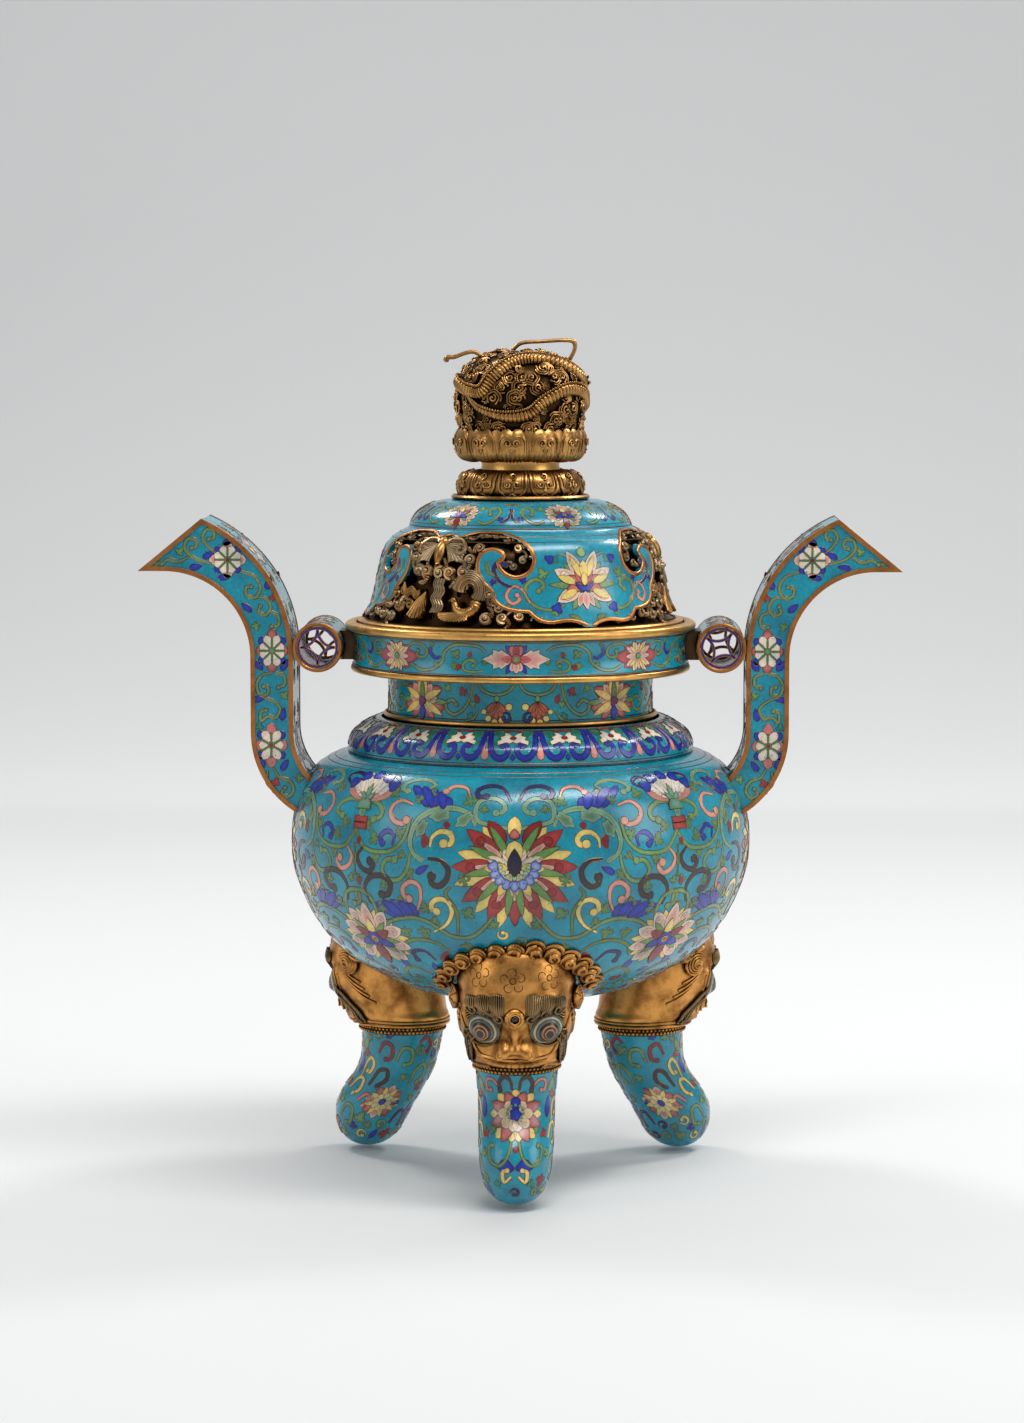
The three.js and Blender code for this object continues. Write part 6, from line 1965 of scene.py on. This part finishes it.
for k in range(20):
    u = -1.1 + 18 * k
    lappet(shoulder_work.pen(u, 223.6))
    bar = shoulder_work.pen(u + 9, 223.6)
    bar.cell([(0, -0.6), (1.5, 0.2), (1.9, 1.8), (1.3, 4.6), (0.95, 10), (0.8, 15), (0.75, 19.8), (-0.75, 19.8),
              (-0.8, 15), (-0.95, 10), (-1.3, 4.6), (-1.9, 1.8), (-1.5, 0.2)],
             ROSE, paint(206, 144, 134), 1, 0.5, (0, 4))
ring_wire(shoulder_work, 236.4, 0.8)
ring_wire(shoulder_work, 219.9, 0.8)
ring_wire(shoulder_work, 221.2, 0.5)
shoulder_work.pieces("shoulder", "vessel")


# Rim band: two kinds of blossom in turn, with scrolls between

band_work = Work(Round(band_run))
for k in range(4):
    flower = band_work.pen(90 * k, 273.3)
    for side in (-1, 1):
        half = flower.handed(side)
        half.cell([(2, -1.6), (5, -3), (7.4, -5), (8.6, -3.9), (11.6, -5), (11.6, -2.8), (13.6, -1.8), (17.2, 0),
                   (13.6, 1.8), (11.6, 2.8), (11.6, 5), (8.6, 3.9), (7.4, 5), (5, 3), (2, 1.6)],
                  CREAM, paint(206, 130, 124), 1, 0.5, (6, 0))
        half.petal(36, 2, 7, 3.4, NAVY, COBALT, 0)
        half.petal(144, 2, 7, 3.4, NAVY, COBALT, 0)
        half.petal(90, 1.2, 6, 3.6, ROSE, paint(170, 70, 76), 3)
        half.petal(20, 1, 6.6, 3.8, paint(160, 62, 66), ROSE, 2, 0.5, 0.5)
        half.petal(158, 1, 5.6, 3.4, CREAM, ROSE, 2, 0.5, 0.5)
    flower.petal(0, 1, 6.4, 3.6, paint(160, 62, 66), PLUM, 3, 0.5, 0.6)
    flower.petal(180, 1, 6.2, 3.2, CREAM, ROSE, 3, 0.5, 0.6)
    flower.disc(0, 0, 2.6, PLUM, ROSE, 4)
    flower.disc(0, 0, 1.5, GREEN, LEAF, 5)
    flower = band_work.pen(45 + 90 * k, 273.3)
    for angle, length, width in ((90, 15, 7), (-90, 15, 7), (60, 11, 5.4), (-60, 11, 5.4), (120, 11, 5.4),
                                 (-120, 11, 5.4), (24, 8, 5), (-24, 8, 5), (156, 8, 5), (-156, 8, 5)):
        flower.petal(angle, 2, length - 2, width, paint(150, 52, 66), paint(178, 92, 98), 0, 0.5, 0.8)
    for angle in range(0, 360, 30):
        reach = 7.2 if angle % 90 else 5.8
        flower.petal(angle, 1, reach + 1.4 * abs(math.sin(math.radians(angle))), 2.6, CREAM, paint(206, 160, 150), 2,
                     0.6, 0.7)
    for angle in (20, -20, 48, -48, 132, -132, 160, -160):
        flower.petal(angle, 2.4, 5.8, 1.5, YELLOW, LEMON, 3)
    flower.disc(0, 0, 1.7, GREEN, LEAF, 5)
    for hand in (1, -1):
        c = 90 * k
        band_work.vines((
            ([(10.4, 277), (12.4, 279.4), (17, 280.4), (21.6, 279.8), (25, 276.2), (25.8, 271.4), (29.4, 267.6),
              (34, 267), (38, 269.4)],
             [0.6, 0.8, 0.8, 0.6], OLIVE, LEAF, 0),
            ([(11, 267.4), (14, 266.8), (17.4, 267.6), (18, 270.6), (16, 272.8), (13.8, 271.6), (14.6, 269.8)],
             [0.5, 0.8, 0.8], GREEN, LEAF, 1.1),
            ([(39.4, 278.6), (36.6, 280.2), (33, 279.4), (31.6, 276), (33.2, 273.4), (35.8, 274), (35.4, 276.4)],
             [0.5, 0.8, 0.8], GREEN, LEAF, 1.1),
            ([(30, 278.8), (30.2, 275.6), (28.2, 273.2), (26.4, 274)], [0.9, 0.9, 0.5], NAVY, COBALT, 0),
        ), hand, c)
        for degrees, z, turn, size in ((21, 275, 40, 1.5), (21.4, 270.2, 160, 1.2), (27.6, 269.4, -60, 1.1),
                                       (10.8, 271.8, 90, 1.0), (29.2, 280, -20, 0.8)):
            band_work.pen(c + hand * degrees, z, turn, size, hand).sprout()
        for degrees, z, radius in ((15.8, 275.2, 1.2), (19.8, 268.6, 1.4)):
            band_work.pen(c + hand * degrees, z, 30, 1, hand).petal(0, -radius, radius * 2.6, radius * 1.9, RED, PLUM)
ring_wire(band_work, 265.1, 0.8)
ring_wire(band_work, 281.6, 0.8)
band_work.pieces("band", "vessel")


# Neck: lotuses and facing pairs of tassels

neck_work = Work(Round(neck_run))
for k in range(4):
    lotus = neck_work.pen(45 + 90 * k, 249.6)
    for side in (-1, 1):
        for angle, length, width in ((22, 12, 5), (62, 15, 6.4), (104, 15.5, 7), (140, 12.5, 5)):
            lotus.petal(side * angle, 2, length - 2, width, paint(122, 40, 46), ROSE, 0, 0.6, 0.7)
        for angle, length in ((40, 11), (84, 10.5), (125, 10)):
            lotus.petal(side * angle, 1, length - 1, 4.6, CREAM, ROSE, 1, 0.6, 0.7)
        for angle, length in ((14, 11.4), (66, 14.2), (118, 15.4)):
            lotus.petal(side * angle, 2, length - 2, 3.8, YELLOW, LEMON, 2)
        lotus.petal(side * 92, 8, 9, 3, GREEN, LEAF, 1)
    lotus.petal(0, 0, 10.8, 3.8, OLIVE, GREEN, 4)
    lotus.petal(180, 2, 8.6, 4, NAVY, COBALT, 3)
    lotus.lobes(0, -0.4, 2.4, 3, NAVY, PLUM, 5)
    for hand in (1, -1):
        c = 90 * k
        tassel = neck_work.pen(c + hand * 8.6, 250.4, 0, 1, hand)
        for angle, length in ((196, 9), (176, 9.6), (156, 9), (136, 7.6), (216, 7.4)):
            tassel.petal(angle, 0, length, 3.4, paint(122, 36, 38), paint(176, 108, 70), 1, 0.8, 0.4)
        for x, y, radius in ((-2.6, -9.6, 1.7), (1.2, -10.6, 1.8), (4.4, -8.6, 1.6), (-6.2, -2.6, 1.8),
                             (6.6, -5.2, 1.3)):
            tassel.disc(x, y, radius, YELLOW, LEMON, 2)
        tassel.comma(-4.6, -8.2, 2.8, 60, 300, 0.8, BLACK, NAVY, 2)
        tassel.petal(0, 0, 3.4, 2.6, GREEN, LEAF, 2)
        for points, half, head in (
            ([(1, 259.6), (3.6, 255.6), (9, 253.8), (14.4, 255.8), (16.6, 259.8)], [0.7, 0.8, 0.7], 0),
            ([(19, 259.6), (20, 253), (23, 246.6), (27.6, 243.2), (31.4, 245.4), (31.6, 249), (28.6, 250.6),
              (26.8, 248.4)], [0.6, 0.9, 0.9], 1.2),
            ([(16.8, 245.4), (18.8, 241.6), (23, 240)], [0.5, 0.7, 0.4], 0),
        ):
            neck_work.vine(points, half, OLIVE, LEAF, hand, c, 1.0, head)
        neck_work.sprouts((
            (23.4, 254.6, -30, 1.4, PLUM), (19.4, 248.6, 60, 1.0, GREEN), (31, 256.2, 20, 1.2, GREEN),
            (20.4, 242.6, 120, 1.4, EMERALD),
        ), hand, c, 1.4)
        neck_work.pen(c + hand * 17.2, 251.4, -20, 1, hand).petal(0, -2, 4.6, 3, RED, PLUM)
ring_wire(neck_work, 240.8, 0.7)
ring_wire(neck_work, 260.2, 0.6)
neck_work.pieces("neck", "vessel")


# Dome: a lotus with scrolls on each lappet, and a gilt edge round each window

dome_form = Round(dome_run)
dome_work = Work(dome_form)


def dome_lotus(pen):
    for side in (-1, 1):
        for tip, start, width in (((8.4, 19), 3, 7), ((16.6, 9), 3, 7.4), ((16.2, -8.6), 3, 7.4)):
            angle, length = math.degrees(math.atan2(tip[0], tip[1])), math.hypot(*tip)
            pen.petal(side * angle, start, length - start, width, CREAM, paint(206, 150, 142), 1, 0.6, 0.8)
            a = math.radians(angle)
            x, y = side * math.sin(a) * length * 0.66, math.cos(a) * length * 0.66
            pen.disc(x, y, 2.2, CREAM, paint(226, 216, 200), 2)
            pen.wire(spiral(x, y, 1.7, 90, side * 400, 0.8, 12), False, 0.35, 3)
        for tip, width in (((6.8, 16), 3.6), ((15, 5.2), 4.2), ((14.6, -7), 4.2)):
            angle, length = math.degrees(math.atan2(tip[0], tip[1])), math.hypot(*tip)
            pen.petal(side * angle, 5, length - 5, width, YELLOW, LEMON, 3, 0.7, 0.8)
        for angle, length, width in ((28, 11, 5), (62, 11.5, 5.6), (100, 11, 5.6)):
            pen.petal(side * angle, 1, length - 1, width, paint(128, 44, 56), ROSE, 2)
        for angle, length in ((88, 20.5), (42, 17), (148, 15.6), (112, 18)):
            pen.petal(side * angle, 6, length - 6, 3.8, GREEN, LEAF, 0)
        pen.petal(side * 158, 4, 8.6, 3.8, CREAM, ROSE, 2)
        pen.lobes(side * 17, -12.2, 2.6, 3, NAVY, COBALT, 1, 0.25, 60)
        pen.lobes(side * 18.5, 14.6, 2.2, 3, NAVY, COBALT, 1, 0.25, 30)
    pen.petal(180, 3, 10.4, 4.6, CREAM, ROSE, 3)
    pen.petal(0, 4, 9.6, 4.8, LEMON, YELLOW, 4, 0.7, 0.7)
    pen.petal(0, 0, 7, 3.6, YELLOW, LEMON, 5, 0.5, 0.5)
    pen.disc(0, 18.2, 2.7, LEAF, paint(160, 190, 130), 2)
    crescent = [(-5.6, 2.4), (-4.4, -1), (-2, -3), (2, -3), (4.4, -1), (5.6, 2.4), (3.4, 0.8), (1.4, -0.4),
                (-1.4, -0.4), (-3.4, 0.8)]
    pen.cell(crescent, NAVY, COBALT, 5, 0.5, (0, -1.6))


for turn in (27, 147, 267):
    dome_lotus(dome_work.pen(turn, 309.2, 0, 0.94))
    for hand in (1, -1):
        dome_work.vines((
            ([(9, 299.6), (14, 297.4), (19.6, 299), (23.6, 304.4), (23, 310.4), (19, 312.6), (16.6, 309.6),
              (18.6, 306.8)], [0.7, 1.0, 1.0], GREEN, LEAF, 1.4),
            ([(22, 301), (25, 307.6), (28.6, 309), (31, 304.6), (28.8, 300.6), (26, 302.4), (26.8, 304.8)],
             [0.6, 0.9, 1.0], PINK, BLUSH, 1.3),
            ([(25.4, 308.6), (30, 309.2), (34.2, 312.2), (36.2, 317.4), (34.4, 321), (31.6, 319.8)], [0.4, 1.0, 1.1],
             BLACK, NAVY, 1.3),
            ([(33.6, 313.2), (38.2, 316.4), (39.4, 321.4)], [0.8, 1.0, 0.6], OLIVE, GREEN, 0),
            ([(10, 325.4), (6, 323.4), (5, 319.8)], [0.4, 0.7, 0.4], SAGE, LEAF, 0),
        ), hand, turn)
        dome_work.sprouts((
            (16.6, 314.8, -30, 1.7, GREEN), (24.6, 311.8, 20, 1.2, NAVY), (11.8, 322, 30, 1.3, EMERALD),
            (30.4, 299, 150, 1.2, OLIVE), (12.6, 296.4, 160, 1.1, GREEN), (36.6, 311.2, 90, 1.0, NAVY),
        ), hand, turn, 1.5)
    for side in (-1, 1):
        dome_work.pen(turn + side * 5, 293.6, side * -70).petal(0, -3, 7, 2.6, OLIVE, GREEN)
ring_wire(dome_work, 333.4, 0.7)
ring_wire(dome_work, 330.8, 0.5)
dome_work.pieces("dome", "cover")

window_edge = Gather()
for turn in WINDOW_TURNS:
    for hand in (1, -1):
        half = window_half()
        half = half[np.concatenate([[True], np.hypot(*np.diff(half, axis=0).T) > 0.3])]
        v0 = float(dome_form.along(DOME_FOOT + 20))
        run = dome_form.local(half[:, 0], DOME_FOOT + np.clip(half[:, 1], 0.3, None), 0, v0)
        along = np.gradient(run, axis=0)
        along /= np.linalg.norm(along, axis=1)[:, None]
        run = run + 0.75 * np.stack([-along[:, 1], along[:, 0]], 1)
        Relief(dome_form, turn, v0, window_edge, hand).rope(run, 1.05, 0.0, 8, 0.55)
finish(closed_relief(window_edge, "dome_window_edging"), edge_gilt, "cover", "gilt_bronze")


# Cap: small lotuses and scrolls

cap_work = Work(Round(cap_run))
for k in range(6):
    u = -34 + 60 * k
    low_lotus(cap_work.pen(u, 343.6, 0, 0.56))
    for hand in (1, -1):
        cap_work.vines((
            ([(12, 341), (16, 339.6), (21, 341.4), (24, 345), (21.4, 347.4), (17.6, 346.4), (18.6, 344)],
             [0.5, 0.8, 0.9], GREEN, LEAF, 1.2),
            ([(26, 340), (29.4, 343), (29.2, 347)], [0.4, 0.7, 0.4], BLACK, NAVY, 0),
        ), hand, u)
        cap_work.sprouts(((13, 346.4, 20, 1.2, GREEN), (24.4, 341.6, -60, 1.0, NAVY), (28, 348.6, 90, 1.1, OLIVE)),
                         hand, u, 1.5)
ring_wire(cap_work, 336.9, 0.9)
ring_wire(cap_work, 338.7, 0.5)
cap_work.pieces("cap", "cover")


# Handles: three blossoms and scrolls on each face, sprays along the edges


def round_blossom(pen, across, tall, petals, outer, centre):
    """A blossom of narrow white petals over coloured ones."""
    for k in range(8):
        angle = 45 * k
        length = math.hypot(across * math.sin(math.radians(angle)), tall * math.cos(math.radians(angle)))
        if k % 2 == 0:
            pen.petal(angle, 3, length - 3, 5.2, outer, ROSE, 0, 0.6, 0.5)
        else:
            pen.petal(angle, 4, length * 0.95 - 4, 4.2, NAVY, COBALT, 0, 0.6, 0.5)
    for k in range(petals):
        angle = 360 / petals * (k + 0.5)
        length = 0.78 * math.hypot(across * math.sin(math.radians(angle)), tall * math.cos(math.radians(angle)))
        pen.petal(angle, 1, length - 1, 4.4, CREAM, paint(228, 220, 204), 1, 0.7, 0.5)
    for k in range(petals):
        angle = 360 / petals * k
        pen.petal(angle, 1.4, 5.4, 1.1, OLIVE, GREEN, 2, 0.5, 0.5, 0, 0.35)
    pen.disc(0, 0, 1.9, GREEN, LEAF, 3)
    pen.disc(0, 0, 1.1, centre, centre, 4)


def handle_face(work):
    round_blossom(work.pen(150.5, 319.4), 9.6, 9.6, 8, CREAM, PLUM)
    round_blossom(work.pen(127.8, 272.4), 8.4, 11.4, 8, paint(140, 60, 66), LEAF)
    round_blossom(work.pen(128.4, 223.4), 8.4, 11.8, 6, ROSE, RED)
    for points in (
        [(157, 323), (161, 326.6), (163.4, 331), (161, 335), (157.6, 334), (157.6, 330.6), (160, 330)],
        [(158.4, 317.4), (164, 318.6), (169, 321), (172.6, 325.4), (171, 330), (167, 329.6), (166.6, 326.4),
         (169, 325.4)],
        [(171, 320.6), (176, 318.4), (181, 319.4), (184.4, 317.2)],
        [(143.6, 313.4), (137, 311), (133.6, 305.4), (136.2, 300), (140.6, 301), (141, 305), (138.2, 305.6)],
        [(136, 300), (131, 299.6), (128.4, 295), (131, 291), (134.6, 292.4), (133.6, 295.6)],
        [(129, 293), (124.6, 290.6), (124.4, 285.6), (128, 285)],
        [(127.8, 261), (133, 259.6), (135.8, 255), (134.2, 249.6), (130.2, 250), (130, 253.4), (132.2, 254)],
        [(126, 261), (121.8, 259.4), (121.4, 255), (124.6, 253.4)],
        [(134, 249), (128, 246.6), (123.8, 242.6), (126, 237.6), (130, 238.4), (133.6, 236), (133.8, 240.6),
         (131, 241.6)],
        [(127.4, 211.6), (124.6, 207), (119.4, 205), (117, 200.4), (119.6, 196.6), (123.2, 198.4), (121.4, 201.2)],
        [(130.4, 210.4), (130.6, 204.4), (127, 199.6)],
    ):
        work.vine(points, [0.5, 0.85, 0.9, 0.8], OLIVE, LEAF)
        work.pen(*points[-1]).disc(0, 0, 1.1, OLIVE, LEAF, 1)
    for x, z, turn in ((160.8, 321.6, 60), (167.4, 315.6, 80), (129.6, 306.8, 20), (140.4, 294.4, -50),
                       (134.8, 247.4, 70), (122.4, 239, 10),
                       (121.6, 264.6, 30), (134.6, 264.6, -40), (121.8, 212.6, 30), (133.6, 214.4, -30),
                       (150.4, 328.6, 60), (152.6, 310.4, 80)):
        work.pen(x, z, turn).petal(0, -3, 7, 3.4, NAVY, COBALT)
    for x, z, turn, edge in ((175.4, 323.2, 40, GREEN), (187.4, 317.4, 90, OLIVE), (126.8, 299.6, 10, RED),
                             (136.2, 285.6, 160, GREEN),
                             (121.8, 249, 40, GREEN), (134.6, 232.6, 0, EMERALD), (126.4, 203.6, 20, RED),
                             (114.4, 206.2, 90, GREEN)):
        work.pen(x, z, turn, 1.3).sprout(edge=edge, heart=toned(edge, 1.4))


def star_blossom(pen, length, width, eye):
    """Eight petals, rose and cream in turn, round a yellow eye."""
    for angle in range(0, 360, 45):
        pen.petal(angle, 1, length, width, ROSE if angle % 90 else CREAM, CREAM, angle % 90 == 0, 0.7, 0.6)
    pen.disc(0, 0, eye, YELLOW, RED, 3)


def strip_sprays(work, length):
    """A wavy stem with blossoms along the edge of a plate."""
    count = int(length // 46)
    for k in range(count):
        v = length * (k + 0.5) / count
        flower = work.pen(0, v)
        star_blossom(flower, 9.4, 5, 2.4)
        for side in (-1, 1):
            for end in (-1, 1):
                run = [(side * 3, end * 8), (side * 10, end * 11), (side * 15, end * 16), (side * 12, end * 21),
                       (side * 7.6, end * 19), (side * 9, end * 15.6)]
                flower.stroke(run_through(run, 4), [0.5, 0.9, 1.0, 0.9], GREEN, LEAF)
                flower.disc(side * 9, end * 15.8, 1.5, GREEN, LEAF, 1)
                flower.petal(side * 90 + end * 28, 14, 6, 4, NAVY, COBALT)


edge_run = handle_outline(0.3)
inner_edge, outer_edge = edge_run[1:49], edge_run[52:100]
face_work = Work(Face(-PLATE_HALF))
handle_face(face_work)
parts = [[face_work.cells.piece("handle_right_face_cells")], [face_work.wires.piece("handle_right_face_wires")]]
for group in parts:
    group.append(copy_of(group[0], "back", 180, True))
for run in (inner_edge, outer_edge):
    strip = Strip(run)
    strip_work = Work(strip)
    strip_sprays(strip_work, float(strip.s[-1]) - 12)
    parts[0].append(strip_work.cells.piece("side"))
    parts[1].append(strip_work.wires.piece("side"))
tube_work = Work(Round([(12.6, -27), (12.6, 0), (12.6, 27)]))
for u in (0, 90, 180, 270):
    flower = tube_work.pen(u, 0)
    star_blossom(flower, 6.4, 3.8, 1.8)
    for end in (-1, 1):
        for side in (-1, 1):
            run = [(side * 1, end * 8), (side * 5, end * 11), (side * 7, end * 16), (side * 4, end * 20),
                   (side * 2, end * 17)]
            flower.stroke(run_through(run, 4), [0.4, 0.8, 0.8], GREEN, LEAF)
        flower.petal(90 - end * 90, 18, 6, 4, NAVY, COBALT)
for gather, group in ((tube_work.cells, parts[0]), (tube_work.wires, parts[1])):
    piece = gather.piece("tube")
    piece.data.transform(TO_TUBE @ Matrix.Rotation(math.radians(-90), 4, "X"))
    group.append(piece)
right_cells, right_lines = join("handle_right_cells", parts[0]), join("handle_right_wires", parts[1])
for piece, material, slot in ((right_cells, enamel, "enamel"), (right_lines, wire_gilt, "gilt_bronze")):
    finish(copy_of(piece, piece.name.replace("right", "left"), 0, True), material, "vessel", slot)
    finish(piece, material, "vessel", slot)


# Blue enamel in the rims and bars of the coins

for side, turn in ((1, 10), (-1, 45)):
    coin_work = Work(Face(-28.3))
    face = coin_work.pen(side * TUBE_X, TUBE_Z)
    a = np.radians(np.arange(0, 360, 7.5))
    face.ribbon(coin_work.cells, np.stack([9.95 * np.cos(a), 9.95 * np.sin(a)], 1), [(-0.38, 0.08), (0.38, 0.08)],
                True, np.array(NAVY))
    for k in range(4):
        middle = math.radians(turn + 90 * k)
        bar = arc((COIN_REACH * math.sqrt(2), 0), COIN_REACH, 180 - 42, 180 + 42, 15)
        c, s = math.cos(middle), math.sin(middle)
        face.ribbon(coin_work.cells, bar @ np.array([[c, s], [-s, c]]), [(-0.36, 0.09), (0.36, 0.09)], False,
                    np.array(NAVY))
    made = coin_work.cells.piece(f"coin_enamel_{'right' if side > 0 else 'left'}")
    made = join(made.name, [made, copy_of(made, "back", 180, True)])
    finish(made, enamel, "vessel", "enamel")


# Legs: a lotus in front, scrolls and smaller blossoms round the rest

leg_work = Work(leg_form)
mauve, umber = paint(136, 62, 66), paint(60, 40, 44)
bloom = leg_work.pen(0, 45.6)
for side in (-1, 1):
    for angle, length in ((0.1, 12), (46, 13.5), (94, 14.5), (136, 16), (170, 13)):
        bloom.petal(side * angle, 6, length - 6, 4.6, YELLOW, LEMON, 0, 0.8, 0.7)
    for angle, length in ((26, 11.6), (72, 14.4), (114, 15.2), (150, 15)):
        bloom.petal(side * angle, 3, length - 3, 6.2, mauve, ROSE, 1, 0.6, 0.8)
    for angle, length in ((44, 7.4), (92, 9.4), (132, 9.6), (168, 8.6)):
        bloom.petal(side * angle, 1.6, length - 1.6, 5.0, CREAM, paint(206, 180, 130), 2, 0.7, 0.5)
    leg_work.vines((
        ([(6, 33), (11, 26.4), (25, 21.6), (42, 23.6), (44, 29.6), (37, 30.6)], [0.6, 0.9, 0.9], GREEN, LEAF, 1.2),
        ([(5, 57), (8, 62), (17, 63.6), (24, 60.4), (23, 56.6)], [0.5, 1.0, 1.0], BLACK, umber, 1.3),
        ([(22, 57), (34, 61.6), (46, 61), (46, 56.6), (39, 56.4)], [0.5, 0.9, 0.9], ROSE, PINK, 1.2),
        ([(6, 16.6), (18, 13.6), (20, 18.4), (12, 19.6)], [0.6, 1.1, 1.0], YELLOW, LEMON, 1.3),
    ), side, 0)
    leg_work.pen(side * 15, 21.6, 90).lobes(0, 0, 3.2, 3, NAVY, COBALT, 0, 0.2, 0, (0.9, 1.4))
    leg_work.pen(side * 54, 47).petal(0, -5, 11, 4, NAVY, COBALT)
    leg_work.pen(side * 60, 58, side * -30).petal(0, -4, 9, 4.4, GREEN, LEAF)
    for points, edge, heart in (
        ([(66, 40), (66, 47), (74, 51), (82, 48), (80, 43), (74, 43.6)], YELLOW, LEMON),
        ([(58, 33), (64, 39), (76, 38.6), (80, 33), (72, 30.6)], YELLOW, LEMON),
        ([(88, 54), (96, 60), (108, 58), (108, 52), (100, 51)], RED, PLUM),
        ([(90, 36), (94, 44), (106, 45), (112, 39.6), (104, 36)], BLACK, umber),
        ([(116, 50), (124, 57), (138, 56), (140, 49.6), (130, 48)], GREEN, LEAF),
        ([(60, 17), (70, 24), (84, 22), (84, 15), (74, 14)], OLIVE, LEAF),
        ([(150, 36), (150, 44), (162, 48), (170, 42), (162, 38)], GREEN, LEAF),
        ([(148, 60), (158, 63), (168, 59), (164, 54.6)], RED, PLUM),
        ([(150, 14), (160, 21), (174, 19), (172, 12.6)], BLACK, NAVY),
        ([(86, 27), (96, 31), (104, 27.6), (98, 24.4)], ROSE, PINK),
    ):
        leg_work.vine(points, [0.5, 1.0, 1.0, 0.9], edge, heart, side, head=1.25)
    small = leg_work.pen(side * 124, 27, 0, 0.82)
    for angle in range(0, 360, 45):
        small.petal(angle + 12, 3, 9, 5.4, mauve if angle % 90 else CREAM, ROSE, 0, 0.6, 0.7)
        small.petal(angle + 34, 3, 8, 3.2, YELLOW, LEMON, 1)
        small.petal(angle + 12, 1, 5.4, 3.4, CREAM, LEMON, 2, 0.7, 0.5)
    small.disc(0, 0, 2.2, NAVY, COBALT, 4)
    for a, z, turn, edge in ((104, 64, 20, NAVY), (70, 61.6, 60, OLIVE), (90, 12, 0, NAVY), (136, 40.6, 40, GREEN),
                             (116, 13.4, 90, OLIVE), (64, 53, 0, RED), (34, 38, 60, GREEN),
                             (48, 36, 120, RED), (56, 26, 0, GREEN), (144, 26, 0, NAVY), (168, 28, 30, OLIVE),
                             (30, 12.6, 100, EMERALD), (86, 63.2, 0, GREEN)):
        leg_work.pen(side * a, z, turn, 1.3).sprout(edge=edge, heart=toned(edge, 1.4))
bloom.petal(0, 1.5, 6.6, 5, NAVY, COBALT, 4, 0.4, 0.4)
bloom.lobes(0, -0.6, 2.8, 5, NAVY, COBALT, 4)
for k in range(9):
    a = math.radians(50 + 260 * k / 8 - 180)
    bloom.disc(4.2 * math.cos(a + math.pi / 2), 0.4 + 3.6 * math.sin(a + math.pi / 2), 0.75, SAGE, LEAF, 5, 0.3, 8)
leg_work.pen(1, 29.4).disc(0, 0, 1.5, RED, PLUM)
fill_gaps(leg_work, [(8 * k + 4 * (row % 2), z) for row, z in enumerate(range(8, 61, 3)) for k in range(45)], 3.4,
          0.95)
leg_cells, leg_lines = leg_work.cells.piece("leg_front_cells"), leg_work.wires.piece("leg_front_wires")
finish_at_legs((leg_cells, enamel, "enamel", None), (leg_lines, wire_gilt, "gilt_bronze", None))


# Stage


def make_floor():
    """A pale floor that sweeps up behind the burner."""
    floor_run = run_through([(-3.2, 0), (0.9, 0), (1.6, 0.04), (2.3, 0.25), (2.9, 0.75), (3.2, 1.6), (3.2, 4)], 6)
    points = [(x * 4200, y * 1000, z * 1000) for y, z in floor_run for x in (-1, 1)]
    faces = [[2 * i, 2 * i + 1, 2 * i + 3, 2 * i + 2] for i in range(len(floor_run) - 1)]
    made = mesh_piece("floor", points, faces)
    smooth_shade(made, 60)
    material = bpy.data.materials.new("floor")
    material.use_nodes = True
    shader = material.node_tree.nodes["Principled BSDF"]
    socket_value(shader, "Base Color", (0.78, 0.78, 0.775))
    socket_value(shader, "Roughness", 0.85)
    made.data.materials.append(material)


def make_lamp(name, place, towards, size, power):
    data = bpy.data.lights.new(name, "AREA")
    data.shape = "RECTANGLE"
    data.size, data.size_y = size
    data.energy = power
    lamp = bpy.data.objects.new(name, data)
    lamp.location = place
    lamp.rotation_euler = (Vector(towards) - Vector(place)).to_track_quat("-Z", "Y").to_euler()
    bpy.context.scene.collection.objects.link(lamp)


def make_camera():
    data = bpy.data.cameras.new("camera")
    data.lens = 100
    data.sensor_width = 36
    data.clip_end = 30
    camera = bpy.data.objects.new("camera", data)
    distance, side = 2.055, math.radians(1.4)
    camera.location = (distance * math.sin(side), -distance * math.cos(side), 0.4368)
    camera.rotation_euler = (math.radians(84.5), 0, math.radians(1.523))
    bpy.context.scene.collection.objects.link(camera)
    bpy.context.scene.camera = camera


make_floor()
make_lamp("key", (0.4, -0.7, 1.95), (0, 0, 0.25), (1.7, 0.4), 21)
make_lamp("left fill", (-1.7, -0.9, 0.9), (0, 0, 0.25), (0.8, 1.2), 5)
make_lamp("right fill", (1.7, -0.7, 0.9), (0, 0, 0.25), (0.8, 1.2), 8)
make_lamp("back left", (-0.9, 0.8, 1.5), (0, 0, 0.15), (0.35, 0.35), 8)
make_lamp("back right", (1.0, 0.8, 1.5), (0, 0, 0.15), (0.35, 0.35), 9)
make_lamp("backdrop", (0, 0.9, 2.3), (0, 3.1, 0.7), (2.6, 0.5), 16)
make_camera()
world = bpy.data.worlds.new("studio")
world.use_nodes = True
world.node_tree.nodes["Background"].inputs["Color"].default_value = (0.9, 0.92, 0.95, 1)
world.node_tree.nodes["Background"].inputs["Strength"].default_value = 0.36
bpy.context.scene.world = world
bpy.context.scene.view_settings.view_transform = "Standard"

delete(bowl_tool)
